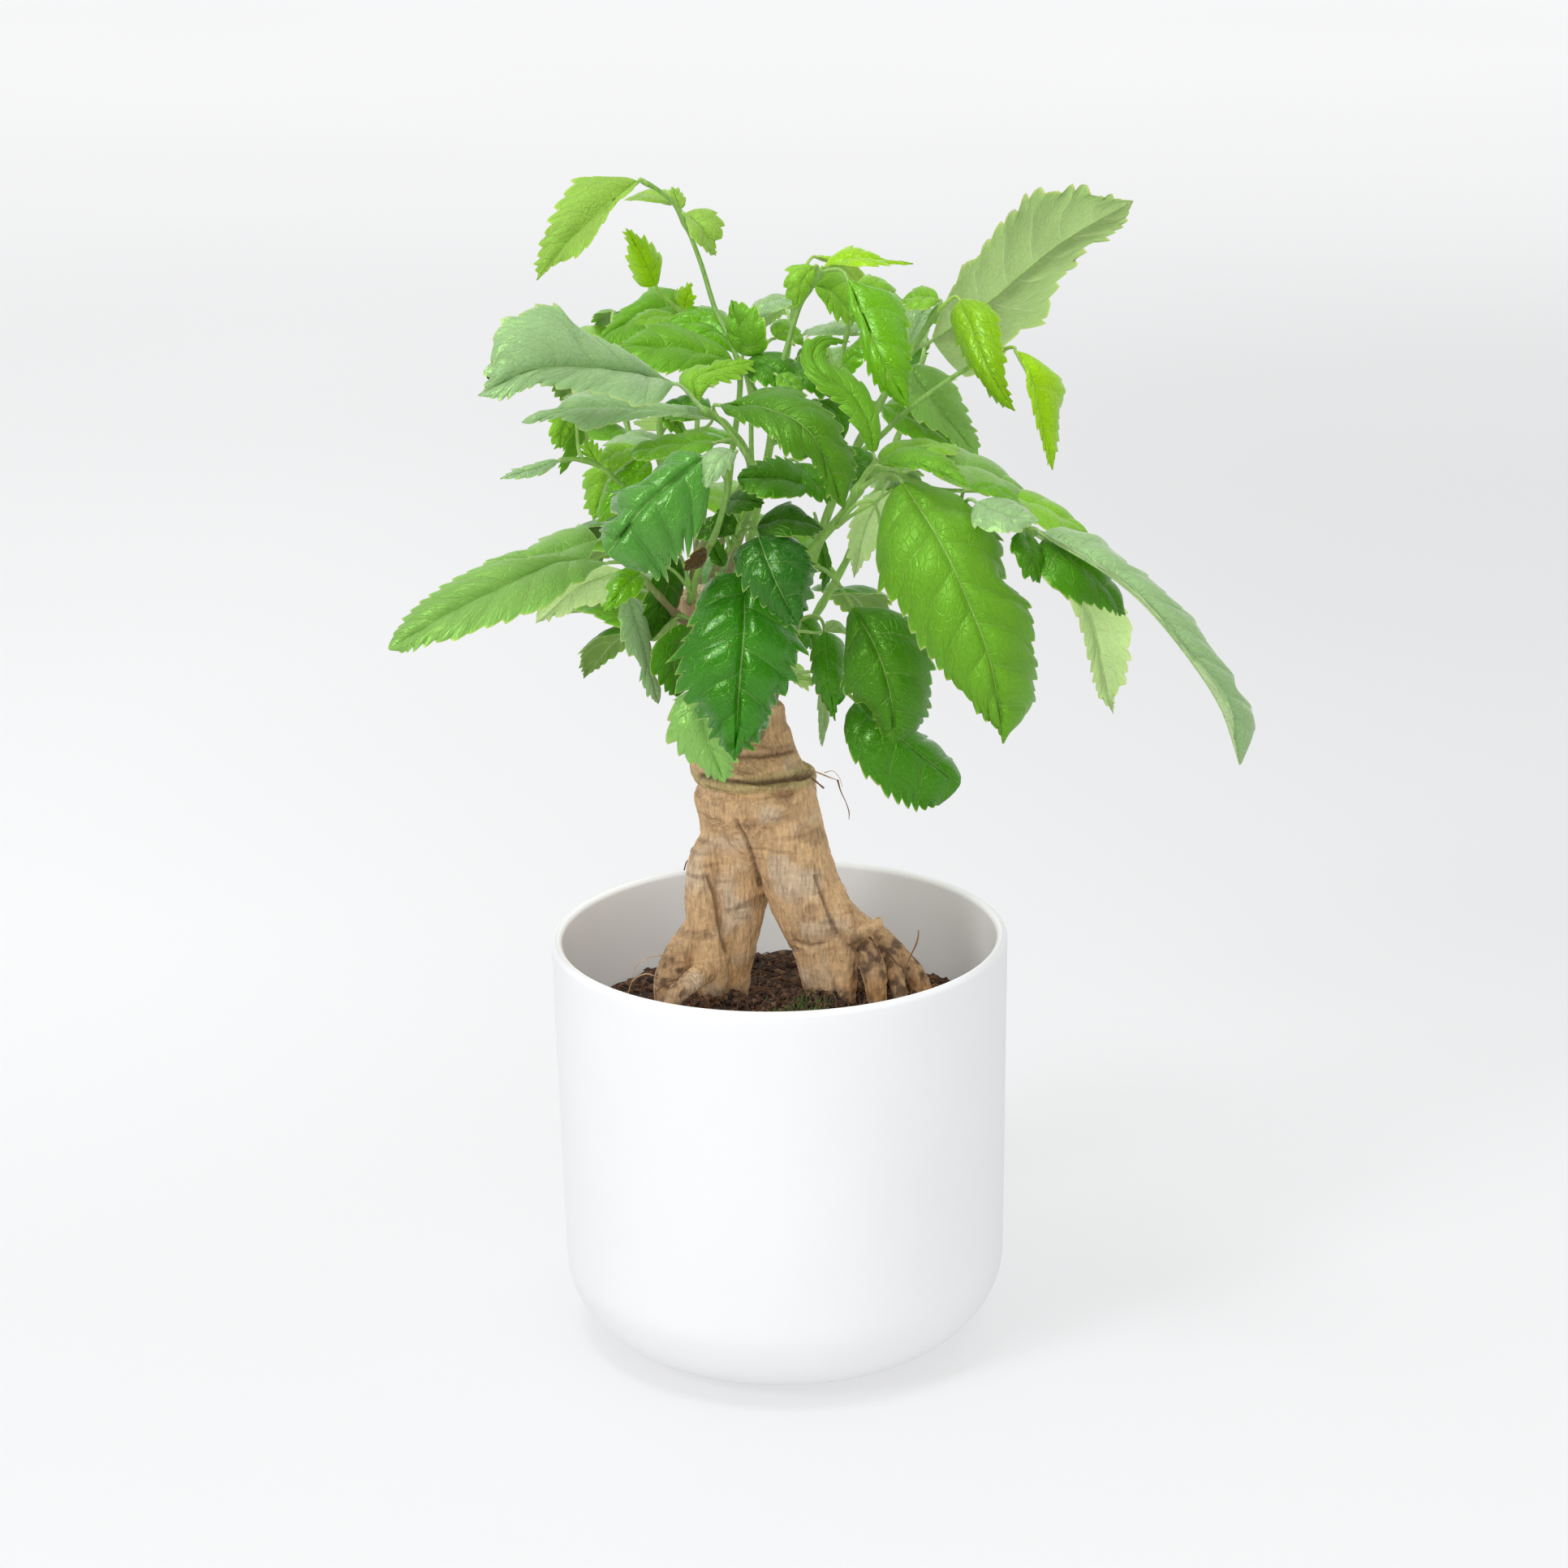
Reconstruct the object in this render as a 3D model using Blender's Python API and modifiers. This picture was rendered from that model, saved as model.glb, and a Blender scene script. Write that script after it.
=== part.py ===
"""China doll plant grown from a swollen stump, in a white ceramic pot. Metres, +Z up, front towards -Y.

The origin is the centre of the pot's flat base. The pot, the soil, the trunk and each leafy
branch are separate solids. Each branch stands in a shallow socket in the trunk, and the trunk's
roots stand in the soil.

Places on the plant are read off the photograph as (across, down, toward): the pixel across and
down the picture, and how many millimetres the place lies in front of the pot's axis. sight()
turns such a reading into a point. Sizes are in millimetres.
"""

import math
import random
from collections import namedtuple

import bmesh
import bpy
from mathutils import Matrix, Vector
from mathutils.bvhtree import BVHTree

MM = 0.001

# Where the photograph was taken from, which gives each reading its line of sight.
PHOTO_SIDE = 1932
FOCAL_PIXELS = 4466
VIEW_DISTANCE = 1178 * MM
VIEW_ELEVATION = math.radians(17.52)
VIEW_ROLL = math.radians(1.01)
VIEW_AIM = Vector((2.4 * MM, 0, 190 * MM))

# The pot: a straight cylinder with a slight draft and a large rounded foot.
POT_RADIUS = 75.0
POT_HEIGHT = 139.0
POT_DRAFT = 1.4
POT_FOOT_ROUND = 28.7
POT_WALL = 3.6
POT_FLOOR = 6.0
POT_LIP_ROUND = 1.7
POT_SIDES = 32

# The soil fills the pot to a little below the rim and is mounded round the trunk.
SOIL_DEPTH_BELOW_RIM = 33.0
SOIL_MOUND = 5.0
SOIL_BUMP = 0.9
SOIL_RINGS = 5

# Clearances: soil to pot and under a stem, round a stem in its socket, round a root in the soil.
GAP = 0.35
SOCKET_GAP = 0.45
ROOT_GAP = 0.6
SOCKET_DEPTH = 2.6
SOCKET_REACH = 5
CLEAR_OF_SOCKET = 7
WELD = 0.01
SLIVER_LIMITS = (0.04, 0.03, 0.02, 0.014, 0.01, 0.007, 0.005, 0.003, 0.002, 0.001)
SLIVER_ROUNDS = 4

# Leaf blades. A tooth's point sticks out past the outline by half as much as its notch cuts in.
BLADE_THICKNESS = 0.9
BLADE_FOOT = 0.03
BLADE_SAMPLES = 20
TIP_HALF_WIDTH = 0.5
TOOTH_DEPTH = 0.11
TOOTH_CROWDING = 0.9
TOOTH_POINT = 0.72
TEETH_BY_WIDTH = ((42, 5), (32, 4), (22, 3))
LEAST_TEETH = 2

# Leaf stalks: thicker on wide leaves, leaving the stem aslant and reaching the blade in its line.
STALK_RADIUS = 0.75
STALK_SWELL = 0.012
STALK_ALONG_STEM = 0.4
STALK_LEAD = 0.4
STALK_FOLLOW = 0.35
LONG_STALK = 40
STALK_MARKS = ((0, 0.85), (0, 0.5, 0.92))
STALK_CORNERS = (150, 90, 30, -30, -90, -150)

STEM_ROUNDNESS = 1
LIMB_ROUNDNESS = 3
TRUNK_VOXEL = 1.7
TRUNK_TRIANGLES = 1050

CERAMIC_WHITE = (0.86, 0.86, 0.87)
SOIL_BROWN = (0.07, 0.045, 0.03)
BARK_TAN = (0.55, 0.40, 0.25)
LEAF_GREENS = {
    "branch_right": (0.11, 0.30, 0.07),
    "branch_upper_right": (0.14, 0.36, 0.08),
    "branch_top": (0.20, 0.44, 0.06),
    "branch_arching": (0.26, 0.50, 0.07),
    "branch_young": (0.22, 0.46, 0.08),
    "branch_left": (0.12, 0.31, 0.09),
    "branch_lower_left": (0.07, 0.27, 0.05),
    "branch_front": (0.05, 0.28, 0.03),
    "branch_back_left": (0.06, 0.22, 0.05),
    "branch_back_right": (0.07, 0.24, 0.05),
    "branch_back_low": (0.05, 0.20, 0.04),
    "branch_back_top": (0.09, 0.28, 0.06),
}

# A leaf blade: spine is its midrib from the foot to the tip, and left and right are places on its
# two edges where it is widest, seen with its upper side up and its tip ahead. crest is where
# along the blade it is widest and blunt how round its tip is. back is how far down the stem from
# the nearest point its stalk starts.
Leaf = namedtuple("Leaf", "spine left right crest blunt back", defaults=(0.4, 0.9, 10))
# A branch: its stems as lists of places, the radius at the foot and at the tip of each, its leaves.
Branch = namedtuple("Branch", "stems radii leaves")

# Limbs of the trunk: each point is a place and a radius in millimetres.
TRUNK_LIMBS = {
    "body": (
        ((938, 1084, 0), 4),
        ((936, 1058, 1), 8.5),
        ((934, 1030, 1), 13.0),
        ((932, 1000, 0), 17.6),
        ((930, 973, 0), 19.8),
        ((929, 960, 0), 16.6),
        ((928, 947, 0), 20.4),
        ((932, 935, 0), 17.2),
        ((937, 920, 0), 13.2),
        ((941, 904, 0), 9.6),
        ((944, 885, 1), 6.6),
        ((948, 866, 2), 4.6),
    ),
    "stump": (
        ((915, 950, -2), 14),
        ((903, 915, -3), 12),
        ((892, 870, -4), 10.6),
        ((882, 820, -5), 10.0),
        ((873, 765, -6), 9.7),
        ((868, 729, -6), 9.5),
    ),
    "right leg": (
        ((952, 985, 2), 13.6),
        ((966, 1020, 3), 12.8),
        ((975, 1050, 4), 12.3),
        ((987, 1088, 5), 12.2),
        ((1000, 1125, 7), 11.4),
        ((1012, 1160, 8), 10.0),
        ((1018, 1200, 9), 8.4),
        ((1024, 1245, 9), 6.5),
        ((1028, 1290, 8), 3.5),
    ),
    "right rib": (
        ((1004, 1062, 4), 4.6),
        ((1022, 1102, 8), 5.2),
        ((1036, 1135, 12), 5.0),
        ((1040, 1165, 14), 4.2),
        ((1042, 1215, 15), 3.4),
        ((1044, 1270, 15), 2.2),
    ),
    "right root": (
        ((1028, 1118, 0), 5.2),
        ((1056, 1142, 0), 4.7),
        ((1083, 1158, 2), 4.3),
        ((1108, 1180, 4), 4.0),
        ((1130, 1208, 6), 3.8),
        ((1142, 1250, 6), 2.4),
    ),
    "right prop root": (
        ((1050, 1134, 6), 4.4),
        ((1066, 1170, 14), 4.0),
        ((1078, 1205, 18), 3.8),
        ((1082, 1255, 18), 2.4),
    ),
    "right side root": (
        ((1036, 1160, 13), 2.6),
        ((1060, 1150, 20), 2.2),
        ((1086, 1136, 18), 1.8),
    ),
    "right thin root": (
        ((1086, 1160, 4), 3.0),
        ((1100, 1192, 12), 2.6),
        ((1108, 1225, 16), 2.4),
        ((1110, 1262, 16), 1.6),
    ),
    "left leg": (
        ((901, 985, 0), 11.4),
        ((903, 1020, 0), 10.4),
        ((904, 1052, 0), 9.8),
        ((905, 1088, 1), 9.4),
        ((907, 1115, 1), 9.0),
        ((907, 1145, 2), 7.6),
        ((906, 1180, 2), 6.0),
        ((908, 1240, 2), 3.0),
    ),
    "left front root": (
        ((882, 1030, 3), 4.6),
        ((869, 1062, 6), 5.2),
        ((865, 1098, 7), 5.6),
        ((869, 1138, 8), 5.8),
        ((875, 1175, 9), 6.4),
        ((879, 1210, 9), 6.0),
        ((882, 1255, 9), 3.0),
    ),
    "left outer root": (
        ((868, 1135, 6), 4.4),
        ((847, 1162, 8), 5.2),
        ((834, 1185, 10), 5.2),
        ((824, 1215, 12), 4.8),
        ((818, 1250, 12), 2.6),
    ),
    "left surface root": (
        ((873, 1192, 12), 3.8),
        ((852, 1210, 24), 3.3),
        ((826, 1232, 31), 2.8),
        ((806, 1266, 32), 1.6),
    ),
    "back leg": (
        ((925, 985, -4), 12),
        ((930, 1030, -16), 9.5),
        ((925, 1080, -26), 7.5),
        ((915, 1135, -33), 6.4),
        ((908, 1190, -36), 4.0),
    ),
}

BRANCHES = {
    "branch_right": Branch(
        stems=(
            ((934, 906, 9), (939, 878, 14), (947, 838, 18), (962, 770, 21), (974, 715, 24),
             (992, 686, 26), (1012, 663, 28), (1040, 631, 30), (1062, 596, 32), (1078, 573, 33)),
            ((1076, 577, 33), (1102, 584, 30), (1140, 600, 28), (1192, 628, 34), (1220, 639, 40),
             (1252, 651, 43), (1278, 656, 45)),
        ),
        radii=((2.7, 1.8), (1.6, 1.1)),
        leaves=(
            Leaf(((1110, 591, 45), (1156, 662, 62), (1192, 738, 70), (1222, 820, 74),
                  (1236, 918, 72)), (1251, 722, 54), (1112, 762, 62), crest=0.38, blunt=0.65),
            Leaf(((1084, 573, 40), (1138, 574, 52), (1195, 599, 58)), (1135, 553, 39),
                 (1133, 596, 63)),
            Leaf(((1082, 568, 22), (1135, 553, 18), (1192, 556, 12)), (1135, 542, 5),
                 (1133, 566, 30), back=6),
            Leaf(((1077, 560, 34), (1068, 518, 31), (1047, 484, 28), (1015, 462, 26),
                  (1001, 440, 22), (1014, 420, 18), (1048, 421, 14)), (1037, 498, 30),
                 (1062, 474, 24), back=3),
            Leaf(((1088, 604, 6), (1066, 648, 0), (1052, 712, -6)), (1043, 664, -2),
                 (1088, 658, -8), back=22),
            Leaf(((1072, 578, 24), (1060, 592, 22), (1049, 612, 20)), (1067, 600, 26),
                 (1051, 585, 18), back=3),
            Leaf(((1076, 576, 20), (1062, 566, 16), (1046, 549, 12)), (1054, 580, 20),
                 (1069, 557, 8), back=3),
            Leaf(((1140, 574, 28), (1185, 574, 24), (1230, 590, 20), (1273, 620, 18)),
                 (1204, 562, 8), (1190, 602, 38), blunt=0.7, back=14),
            Leaf(((1196, 603, 44), (1228, 603, 42), (1264, 630, 46)), (1236, 601, 36),
                 (1224, 612, 48), back=12),
            Leaf(((1204, 618, 50), (1240, 634, 57), (1281, 642, 60)), (1245, 619, 44),
                 (1237, 662, 66), back=12),
            Leaf(((1232, 610, 26), (1285, 628, 28), (1347, 664, 30)), (1292, 620, 16),
                 (1280, 646, 40), back=18),
            Leaf(((1262, 654, 50), (1272, 684, 57), (1281, 719, 58)), (1282, 680, 50),
                 (1251, 687, 60), back=5),
            Leaf(((1290, 660, 44), (1318, 688, 52), (1352, 714, 52), (1387, 759, 48)),
                 (1350, 693, 42), (1304, 727, 60), blunt=0.7, back=2),
            Leaf(((1322, 712, 38), (1347, 770, 36), (1360, 830, 34), (1372, 880, 32)),
                 (1335, 795, 30), (1392, 786, 32), crest=0.45, blunt=0.7, back=2),
            Leaf(((1281, 655, 48), (1345, 690, 58), (1405, 735, 66), (1462, 802, 72),
                  (1508, 874, 76), (1528, 944, 78)), (1464, 760, 58), (1449, 772, 82),
                 crest=0.5, blunt=0.5, back=1),
        ),
    ),
    "branch_upper_right": Branch(
        stems=(
            ((950, 868, 2), (957, 840, 2), (970, 802, 2), (983, 756, 2), (1004, 682, 2),
             (1024, 622, 0), (1050, 562, -2), (1092, 483, -4), (1124, 431, -5), (1160, 374, -4)),
            ((1048, 567, -2), (1082, 540, 2), (1120, 504, 6), (1172, 466, 4), (1200, 450, 2),
             (1236, 430, 2)),
        ),
        radii=((2.6, 1.3), (1.4, 1.0)),
        leaves=(
            Leaf(((1157, 369, -6), (1136, 366, -6), (1110, 370, -8)), (1138, 380, 0),
                 (1136, 354, -12), back=2),
            Leaf(((1116, 440, -16), (1128, 404, -20), (1147, 368, -24)), (1108, 400, -24),
                 (1147, 400, -18), back=8),
            Leaf(((1146, 422, -14), (1219, 372, -24), (1300, 305, -38), (1397, 247, -50)),
                 (1278, 395, -22), (1207, 295, -36), crest=0.5, blunt=0.7, back=6),
            Leaf(((1182, 369, 2), (1196, 402, 10), (1218, 455, 18), (1251, 507, 20)),
                 (1233, 412, 12), (1186, 432, 8), back=2),
            Leaf(((1252, 431, 6), (1269, 462, 12), (1282, 520, 16), (1297, 580, 16)),
                 (1309, 484, 4), (1266, 492, 20), back=1),
            Leaf(((1119, 450, -28), (1156, 502, -20), (1205, 562, -16)), (1181, 484, -26),
                 (1133, 521, -14), blunt=0.7, back=16),
            Leaf(((1088, 499, -24), (1130, 520, -20), (1178, 548, -22)), (1142, 511, -28),
                 (1119, 537, -14), back=14),
            Leaf(((1016, 777, 22), (1020, 828, 30), (1029, 889, 30)), (1042, 814, 22),
                 (1000, 822, 26), blunt=0.8, back=4),
            Leaf(((1050, 747, 30), (1080, 800, 42), (1098, 860, 44), (1100, 916, 40)),
                 (1140, 808, 36), (1041, 843, 38), crest=0.45, blunt=0.5, back=2),
            Leaf(((1054, 862, 18), (1090, 893, 26), (1135, 929, 26), (1184, 967, 22)),
                 (1117, 887, 14), (1062, 951, 30), crest=0.5, blunt=0.45, back=10),
            Leaf(((1004, 636, -8), (1012, 670, -6), (1019, 700, -6), (1013, 730, -8)),
                 (1020, 676, -2), (1005, 680, -6), back=6),
            Leaf(((1010, 838, 8), (1013, 878, 8), (1013, 920, 6)), (1021, 876, 4),
                 (1008, 880, 12), back=8),
            Leaf(((984, 764, -8), (996, 776, -8), (1002, 800, -8)), (1010, 772, -12),
                 (985, 792, -4), back=8),
            Leaf(((1018, 777, 10), (1031, 771, 8), (1046, 779, 6)), (1034, 764, 4),
                 (1030, 780, 12), back=6),
            Leaf(((968, 822, -10), (984, 831, -14), (1004, 843, -18)), (980, 841, -10),
                 (990, 821, -20), back=2),
        ),
    ),
    "branch_top": Branch(
        stems=(
            ((892, 734, -6), (900, 700, 0), (914, 655, 6), (932, 605, 8), (946, 560, 9),
             (957, 477, 9), (972, 420, 8), (985, 378, 7), (1000, 352, 6), (1012, 333, 4)),
            ((948, 548, 9), (985, 530, 2), (1012, 490, -4), (1034, 448, -8), (1046, 400, -10)),
            ((930, 612, 8), (926, 560, 0), (926, 500, -6), (929, 440, -9), (930, 400, -11)),
        ),
        radii=((2.0, 1.0), (1.2, 0.9), (1.2, 0.9)),
        leaves=(
            Leaf(((1004, 328, 8), (988, 346, 12), (981, 382, 12)), (1000, 353, 8), (973, 336, 10),
                 back=1),
            Leaf(((1014, 329, 3), (1055, 320, 6), (1126, 325, 4)), (1052, 306, 0),
                 (1058, 328, 12), back=1),
            Leaf(((1044, 342, 14), (1068, 400, 24), (1092, 452, 30), (1121, 503, 30)),
                 (1113, 408, 20), (1059, 435, 26), blunt=0.7, back=1),
            Leaf(((1003, 352, -6), (1026, 360, -10), (1056, 398, -12)), (1043, 343, -16),
                 (1014, 373, -6), back=4),
            Leaf(((1056, 353, -20), (1085, 357, -22), (1113, 376, -24)), (1091, 345, -28),
                 (1080, 367, -16), back=3),
            Leaf(((1058, 410, -18), (1024, 407, -24), (988, 412, -28)), (1022, 416, -8),
                 (1024, 399, -36), back=8),
            Leaf(((914, 438, 0), (911, 408, 2), (901, 369, 0)), (896, 402, -4), (944, 414, 8),
                 back=14),
            Leaf(((932, 394, -13), (945, 377, -15), (982, 364, -18)), (952, 363, -24),
                 (955, 385, -8), back=4),
            Leaf(((954, 416, -14), (970, 409, -16), (991, 425, -16)), (976, 398, -22),
                 (965, 422, -8), back=8),
            Leaf(((1012, 426, -10), (995, 432, -12), (979, 444, -14)), (999, 442, -6),
                 (993, 424, -18), back=8),
            Leaf(((1037, 451, -2), (1052, 438, 2), (1069, 423, 4)), (1046, 431, -4),
                 (1067, 445, 8), back=4),
            Leaf(((918, 446, 4), (950, 452, 10), (984, 478, 14)), (958, 436, 4), (938, 470, 16),
                 back=14),
            Leaf(((982, 446, 2), (1002, 462, 8), (1032, 490, 10)), (1015, 450, 0),
                 (989, 477, 14), back=12),
            Leaf(((1008, 494, 0), (1032, 512, 4), (1040, 541, 4)), (1053, 508, -4),
                 (1015, 528, 8), back=10),
            Leaf(((958, 462, 16), (972, 470, 18), (989, 483, 20)), (977, 462, 14),
                 (967, 480, 22), back=4),
        ),
    ),
    "branch_arching": Branch(
        stems=(
            ((880, 728, -14), (885, 700, -16), (893, 640, -17), (902, 560, -17), (912, 470, -15),
             (900, 420, -17), (881, 380, -22), (862, 320, -26), (838, 262, -28), (815, 237, -27),
             (791, 223, -25)),
        ),
        radii=((1.6, 0.9),),
        leaves=(
            Leaf(((787, 222, -24), (748, 254, -18), (706, 292, -12), (661, 346, -8)),
                 (737, 284, -6), (695, 242, -20), crest=0.42, blunt=0.75, back=1),
            Leaf(((826, 250, -34), (800, 243, -38), (770, 246, -42)), (800, 250, -28),
                 (798, 231, -46), back=3),
            Leaf(((838, 258, -30), (833, 244, -32), (828, 230, -34)), (822, 237, -32),
                 (841, 239, -34), back=2),
            Leaf(((843, 263, -26), (864, 281, -22), (882, 315, -20)), (886, 270, -26),
                 (854, 290, -14), blunt=0.6, back=2),
            Leaf(((909, 438, -20), (876, 402, -26), (816, 398, -28)), (862, 417, -20),
                 (886, 377, -36), back=3),
            Leaf(((906, 447, -12), (836, 430, -8), (760, 428, -4)), (826, 463, 6),
                 (832, 404, -20), back=3),
        ),
    ),
    "branch_young": Branch(
        stems=(
            ((862, 728, -14), (859, 690, -22), (856, 620, -32), (858, 540, -42), (862, 470, -46),
             (860, 420, -46), (850, 398, -45), (838, 383, -44)),
        ),
        radii=((1.6, 0.9),),
        leaves=(
            Leaf(((809, 353, -42), (795, 322, -38), (771, 281, -34)), (777, 330, -42),
                 (813, 314, -44), blunt=0.8, back=1),
            Leaf(((843, 382, -40), (846, 367, -38), (852, 348, -38)), (835, 367, -42),
                 (857, 368, -38), back=2),
            Leaf(((846, 376, -54), (792, 386, -52), (737, 421, -46)), (800, 410, -42),
                 (796, 356, -62), blunt=0.7, back=6),
            Leaf(((834, 394, -36), (808, 391, -34), (780, 398, -32)), (806, 400, -28),
                 (808, 383, -40), back=4),
        ),
    ),
    "branch_left": Branch(
        stems=(
            ((853, 734, -3), (858, 690, 4), (884, 640, 9), (914, 600, 13), (924, 572, 16),
             (906, 536, 22), (884, 516, 27), (864, 504, 29)),
            ((868, 668, 6), (846, 640, 4), (820, 600, 1), (815, 560, 0), (812, 515, 0)),
            ((846, 640, 4), (812, 622, 12), (782, 606, 22), (762, 594, 26), (738, 574, 28),
             (712, 566, 30), (690, 567, 31)),
        ),
        radii=((2.0, 1.3), (1.2, 0.9), (1.0, 0.8)),
        leaves=(
            Leaf(((832, 472, 30), (776, 458, 40), (712, 452, 50), (650, 458, 58), (588, 488, 62)),
                 (668, 484, 66), (672, 375, 44), crest=0.62, blunt=0.7, back=2),
            Leaf(((860, 499, 24), (855, 470, 22), (878, 456, 18), (930, 445, 11)), (836, 466, 18),
                 (884, 476, 22), crest=0.3, back=2),
            Leaf(((882, 514, 16), (800, 506, 26), (716, 504, 36), (642, 521, 40)), (720, 525, 46),
                 (716, 481, 20), crest=0.55, blunt=0.7, back=8),
            Leaf(((704, 510, 22), (692, 530, 24), (690, 553, 24)), (708, 536, 20),
                 (677, 528, 26), back=3),
            Leaf(((716, 520, 20), (706, 548, 22), (690, 585, 20)), (714, 550, 16),
                 (700, 544, 26), back=3),
            Leaf(((872, 512, 4), (844, 502, 0), (808, 504, -4)), (842, 520, 8), (844, 486, -8),
                 back=14),
            Leaf(((838, 512, -22), (812, 520, -26), (780, 520, -30)), (812, 512, -32),
                 (806, 530, -22), back=4),
            Leaf(((818, 508, -2), (830, 520, 0), (842, 536, 2)), (836, 516, -4), (824, 530, 4),
                 back=2),
            Leaf(((812, 547, -6), (780, 541, -8), (742, 549, -10)), (778, 549, 2),
                 (784, 533, -16), back=5),
            Leaf(((880, 545, 31), (830, 550, 36), (774, 560, 36)), (822, 567, 47),
                 (835, 531, 22), back=10),
            Leaf(((790, 548, 4), (752, 578, 8), (731, 642, 8)), (769, 604, 4), (722, 588, 6),
                 back=12),
            Leaf(((782, 552, 14), (760, 558, 16), (738, 574, 18)), (768, 571, 22),
                 (752, 549, 10), back=8),
            Leaf(((800, 566, 20), (768, 598, 24), (736, 644, 24)), (781, 618, 28),
                 (752, 590, 18), back=16),
            Leaf(((688, 567, 31), (662, 578, 33), (616, 590, 36)), (664, 585, 36),
                 (668, 569, 30), back=1),
            Leaf(((737, 573, 28), (730, 560, 28), (720, 542, 28)), (721, 559, 28),
                 (740, 560, 28), back=4),
        ),
    ),
    "branch_lower_left": Branch(
        stems=(
            ((846, 768, 2), (828, 752, 10), (806, 728, 14), (786, 706, 16), (768, 690, 18)),
            ((850, 742, 6), (862, 700, 24), (884, 650, 40), (896, 600, 46), (890, 572, 48)),
        ),
        radii=((1.9, 1.1), (1.6, 1.2)),
        leaves=(
            Leaf(((748, 693, 24), (690, 692, 32), (620, 722, 42), (550, 757, 50), (478, 801, 52)),
                 (618, 767, 56), (586, 696, 34), crest=0.5, blunt=0.6, back=1),
            Leaf(((738, 664, 14), (690, 680, 20), (592, 701, 28)), (690, 706, 32),
                 (664, 660, 8), back=1),
            Leaf(((768, 702, 8), (712, 724, 4), (660, 768, 0)), (700, 704, 6), (726, 750, 0),
                 back=4),
            Leaf(((771, 728, 12), (788, 778, 18), (800, 826, 18), (811, 868, 16)),
                 (800, 772, 10), (768, 790, 22), blunt=0.7, back=6),
            Leaf(((832, 684, 6), (818, 738, 10), (801, 790, 10)), (838, 738, 2), (799, 730, 14),
                 blunt=0.7, back=14),
            Leaf(((856, 774, 16), (832, 806, 20), (834, 859, 20)), (853, 822, 14),
                 (801, 806, 24), blunt=0.7, back=1),
            Leaf(((834, 762, 10), (818, 774, 7), (802, 790, 6)), (813, 766, 4),
                 (826, 783, 11), back=6),
            Leaf(((871, 562, 50), (832, 590, 60), (790, 628, 66), (747, 684, 64)),
                 (853, 672, 62), (788, 588, 50), crest=0.45, blunt=0.45, back=3),
            Leaf(((790, 706, 44), (770, 722, 50), (744, 754, 54)), (783, 739, 52),
                 (756, 711, 46), back=30),
            Leaf(((906, 556, 52), (886, 566, 58), (870, 602, 62)), (899, 584, 60),
                 (871, 564, 54), blunt=0.6, back=1),
        ),
    ),
    "branch_front": Branch(
        stems=(
            ((873, 738, -1), (878, 712, 3), (890, 690, 14), (908, 660, 26), (930, 610, 36),
             (936, 570, 38)),
            ((900, 678, 26), (893, 650, 22), (890, 620, 20)),
        ),
        radii=((2.0, 1.2), (1.1, 0.9)),
        leaves=(
            Leaf(((918, 703, 38), (917, 770, 50), (911, 850, 54), (905, 938, 50)),
                 (976, 798, 44), (845, 802, 48), blunt=0.75, back=10),
            Leaf(((876, 836, 28), (868, 895, 36), (893, 965, 36)), (906, 896, 36),
                 (827, 892, 34), crest=0.45, blunt=0.65, back=-16),
            Leaf(((934, 660, 48), (952, 708, 58), (983, 772, 58)), (991, 686, 50),
                 (914, 728, 56), blunt=0.7, back=8),
            Leaf(((886, 498, 44), (945, 503, 56), (1000, 535, 64), (1040, 628, 64)),
                 (1000, 488, 50), (957, 553, 66), crest=0.45, blunt=0.6, back=4),
            Leaf(((1003, 602, 36), (958, 590, 46), (908, 589, 48)), (960, 612, 56),
                 (958, 566, 40), blunt=0.7, back=2),
            Leaf(((984, 570, 30), (1002, 592, 36), (1024, 618, 36)), (1014, 581, 28),
                 (989, 603, 42), back=4),
            Leaf(((897, 616, 30), (918, 616, 38), (942, 620, 40)), (918, 602, 32),
                 (916, 632, 44), blunt=0.7, back=6),
            Leaf(((902, 626, 26), (896, 642, 28), (884, 663, 28)), (914, 647, 26),
                 (881, 636, 30), back=3),
            Leaf(((932, 650, 38), (970, 640, 42), (1015, 652, 38)), (968, 621, 32),
                 (972, 659, 50), blunt=0.7, back=10),
            Leaf(((886, 642, 16), (870, 652, 16), (853, 655, 16)), (872, 665, 20),
                 (868, 641, 10), back=3),
            Leaf(((892, 698, 20), (883, 682, 20), (876, 664, 20)), (874, 685, 20),
                 (892, 676, 20), back=2),
        ),
    ),
}

# Branches on the side away from the front, where the photograph shows nothing: a stem as points in
# millimetres, how many leaves, and their size beside the usual one. The leaves stand round the
# stem by the golden angle, and their lengths and slopes vary.
BACK_BRANCHES = {
    "branch_back_left": (
        ((-27, 8, 232), (-30, 22, 244), (-40, 42, 270), (-48, 58, 300), (-54, 70, 324)),
        8,
        1,
    ),
    "branch_back_right": (
        ((-8, 8, 206), (6, 28, 226), (26, 46, 256), (42, 62, 290), (52, 74, 316)),
        8,
        1,
    ),
    "branch_back_low": (
        ((-22, 8, 218), (-22, 24, 219), (-22, 46, 222), (-22, 66, 224), (-22, 80, 224)),
        6,
        1,
    ),
    "branch_back_top": (
        ((-16, 9, 238), (-10, 24, 254), (-1, 34, 290), (6, 39, 324), (10, 41, 350)),
        5,
        0.62,
    ),
}
BACK_STEM_RADII = (2.0, 1.1)
BACK_LEAVES_FROM = 0.35
BACK_LEAF_LENGTH = (54, 80)
BACK_LEAF_SLENDER = 0.4
BACK_LEAF_TAPER = 0.35
BACK_LEAF_ARCH = 0.11
BACK_LEAF_SPREAD = 0.75
BACK_LEAST_BACKWARD = 0.12
BACK_TIPS_WITHIN = (-72, 58)
BACK_STALK = (14, 24)
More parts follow.
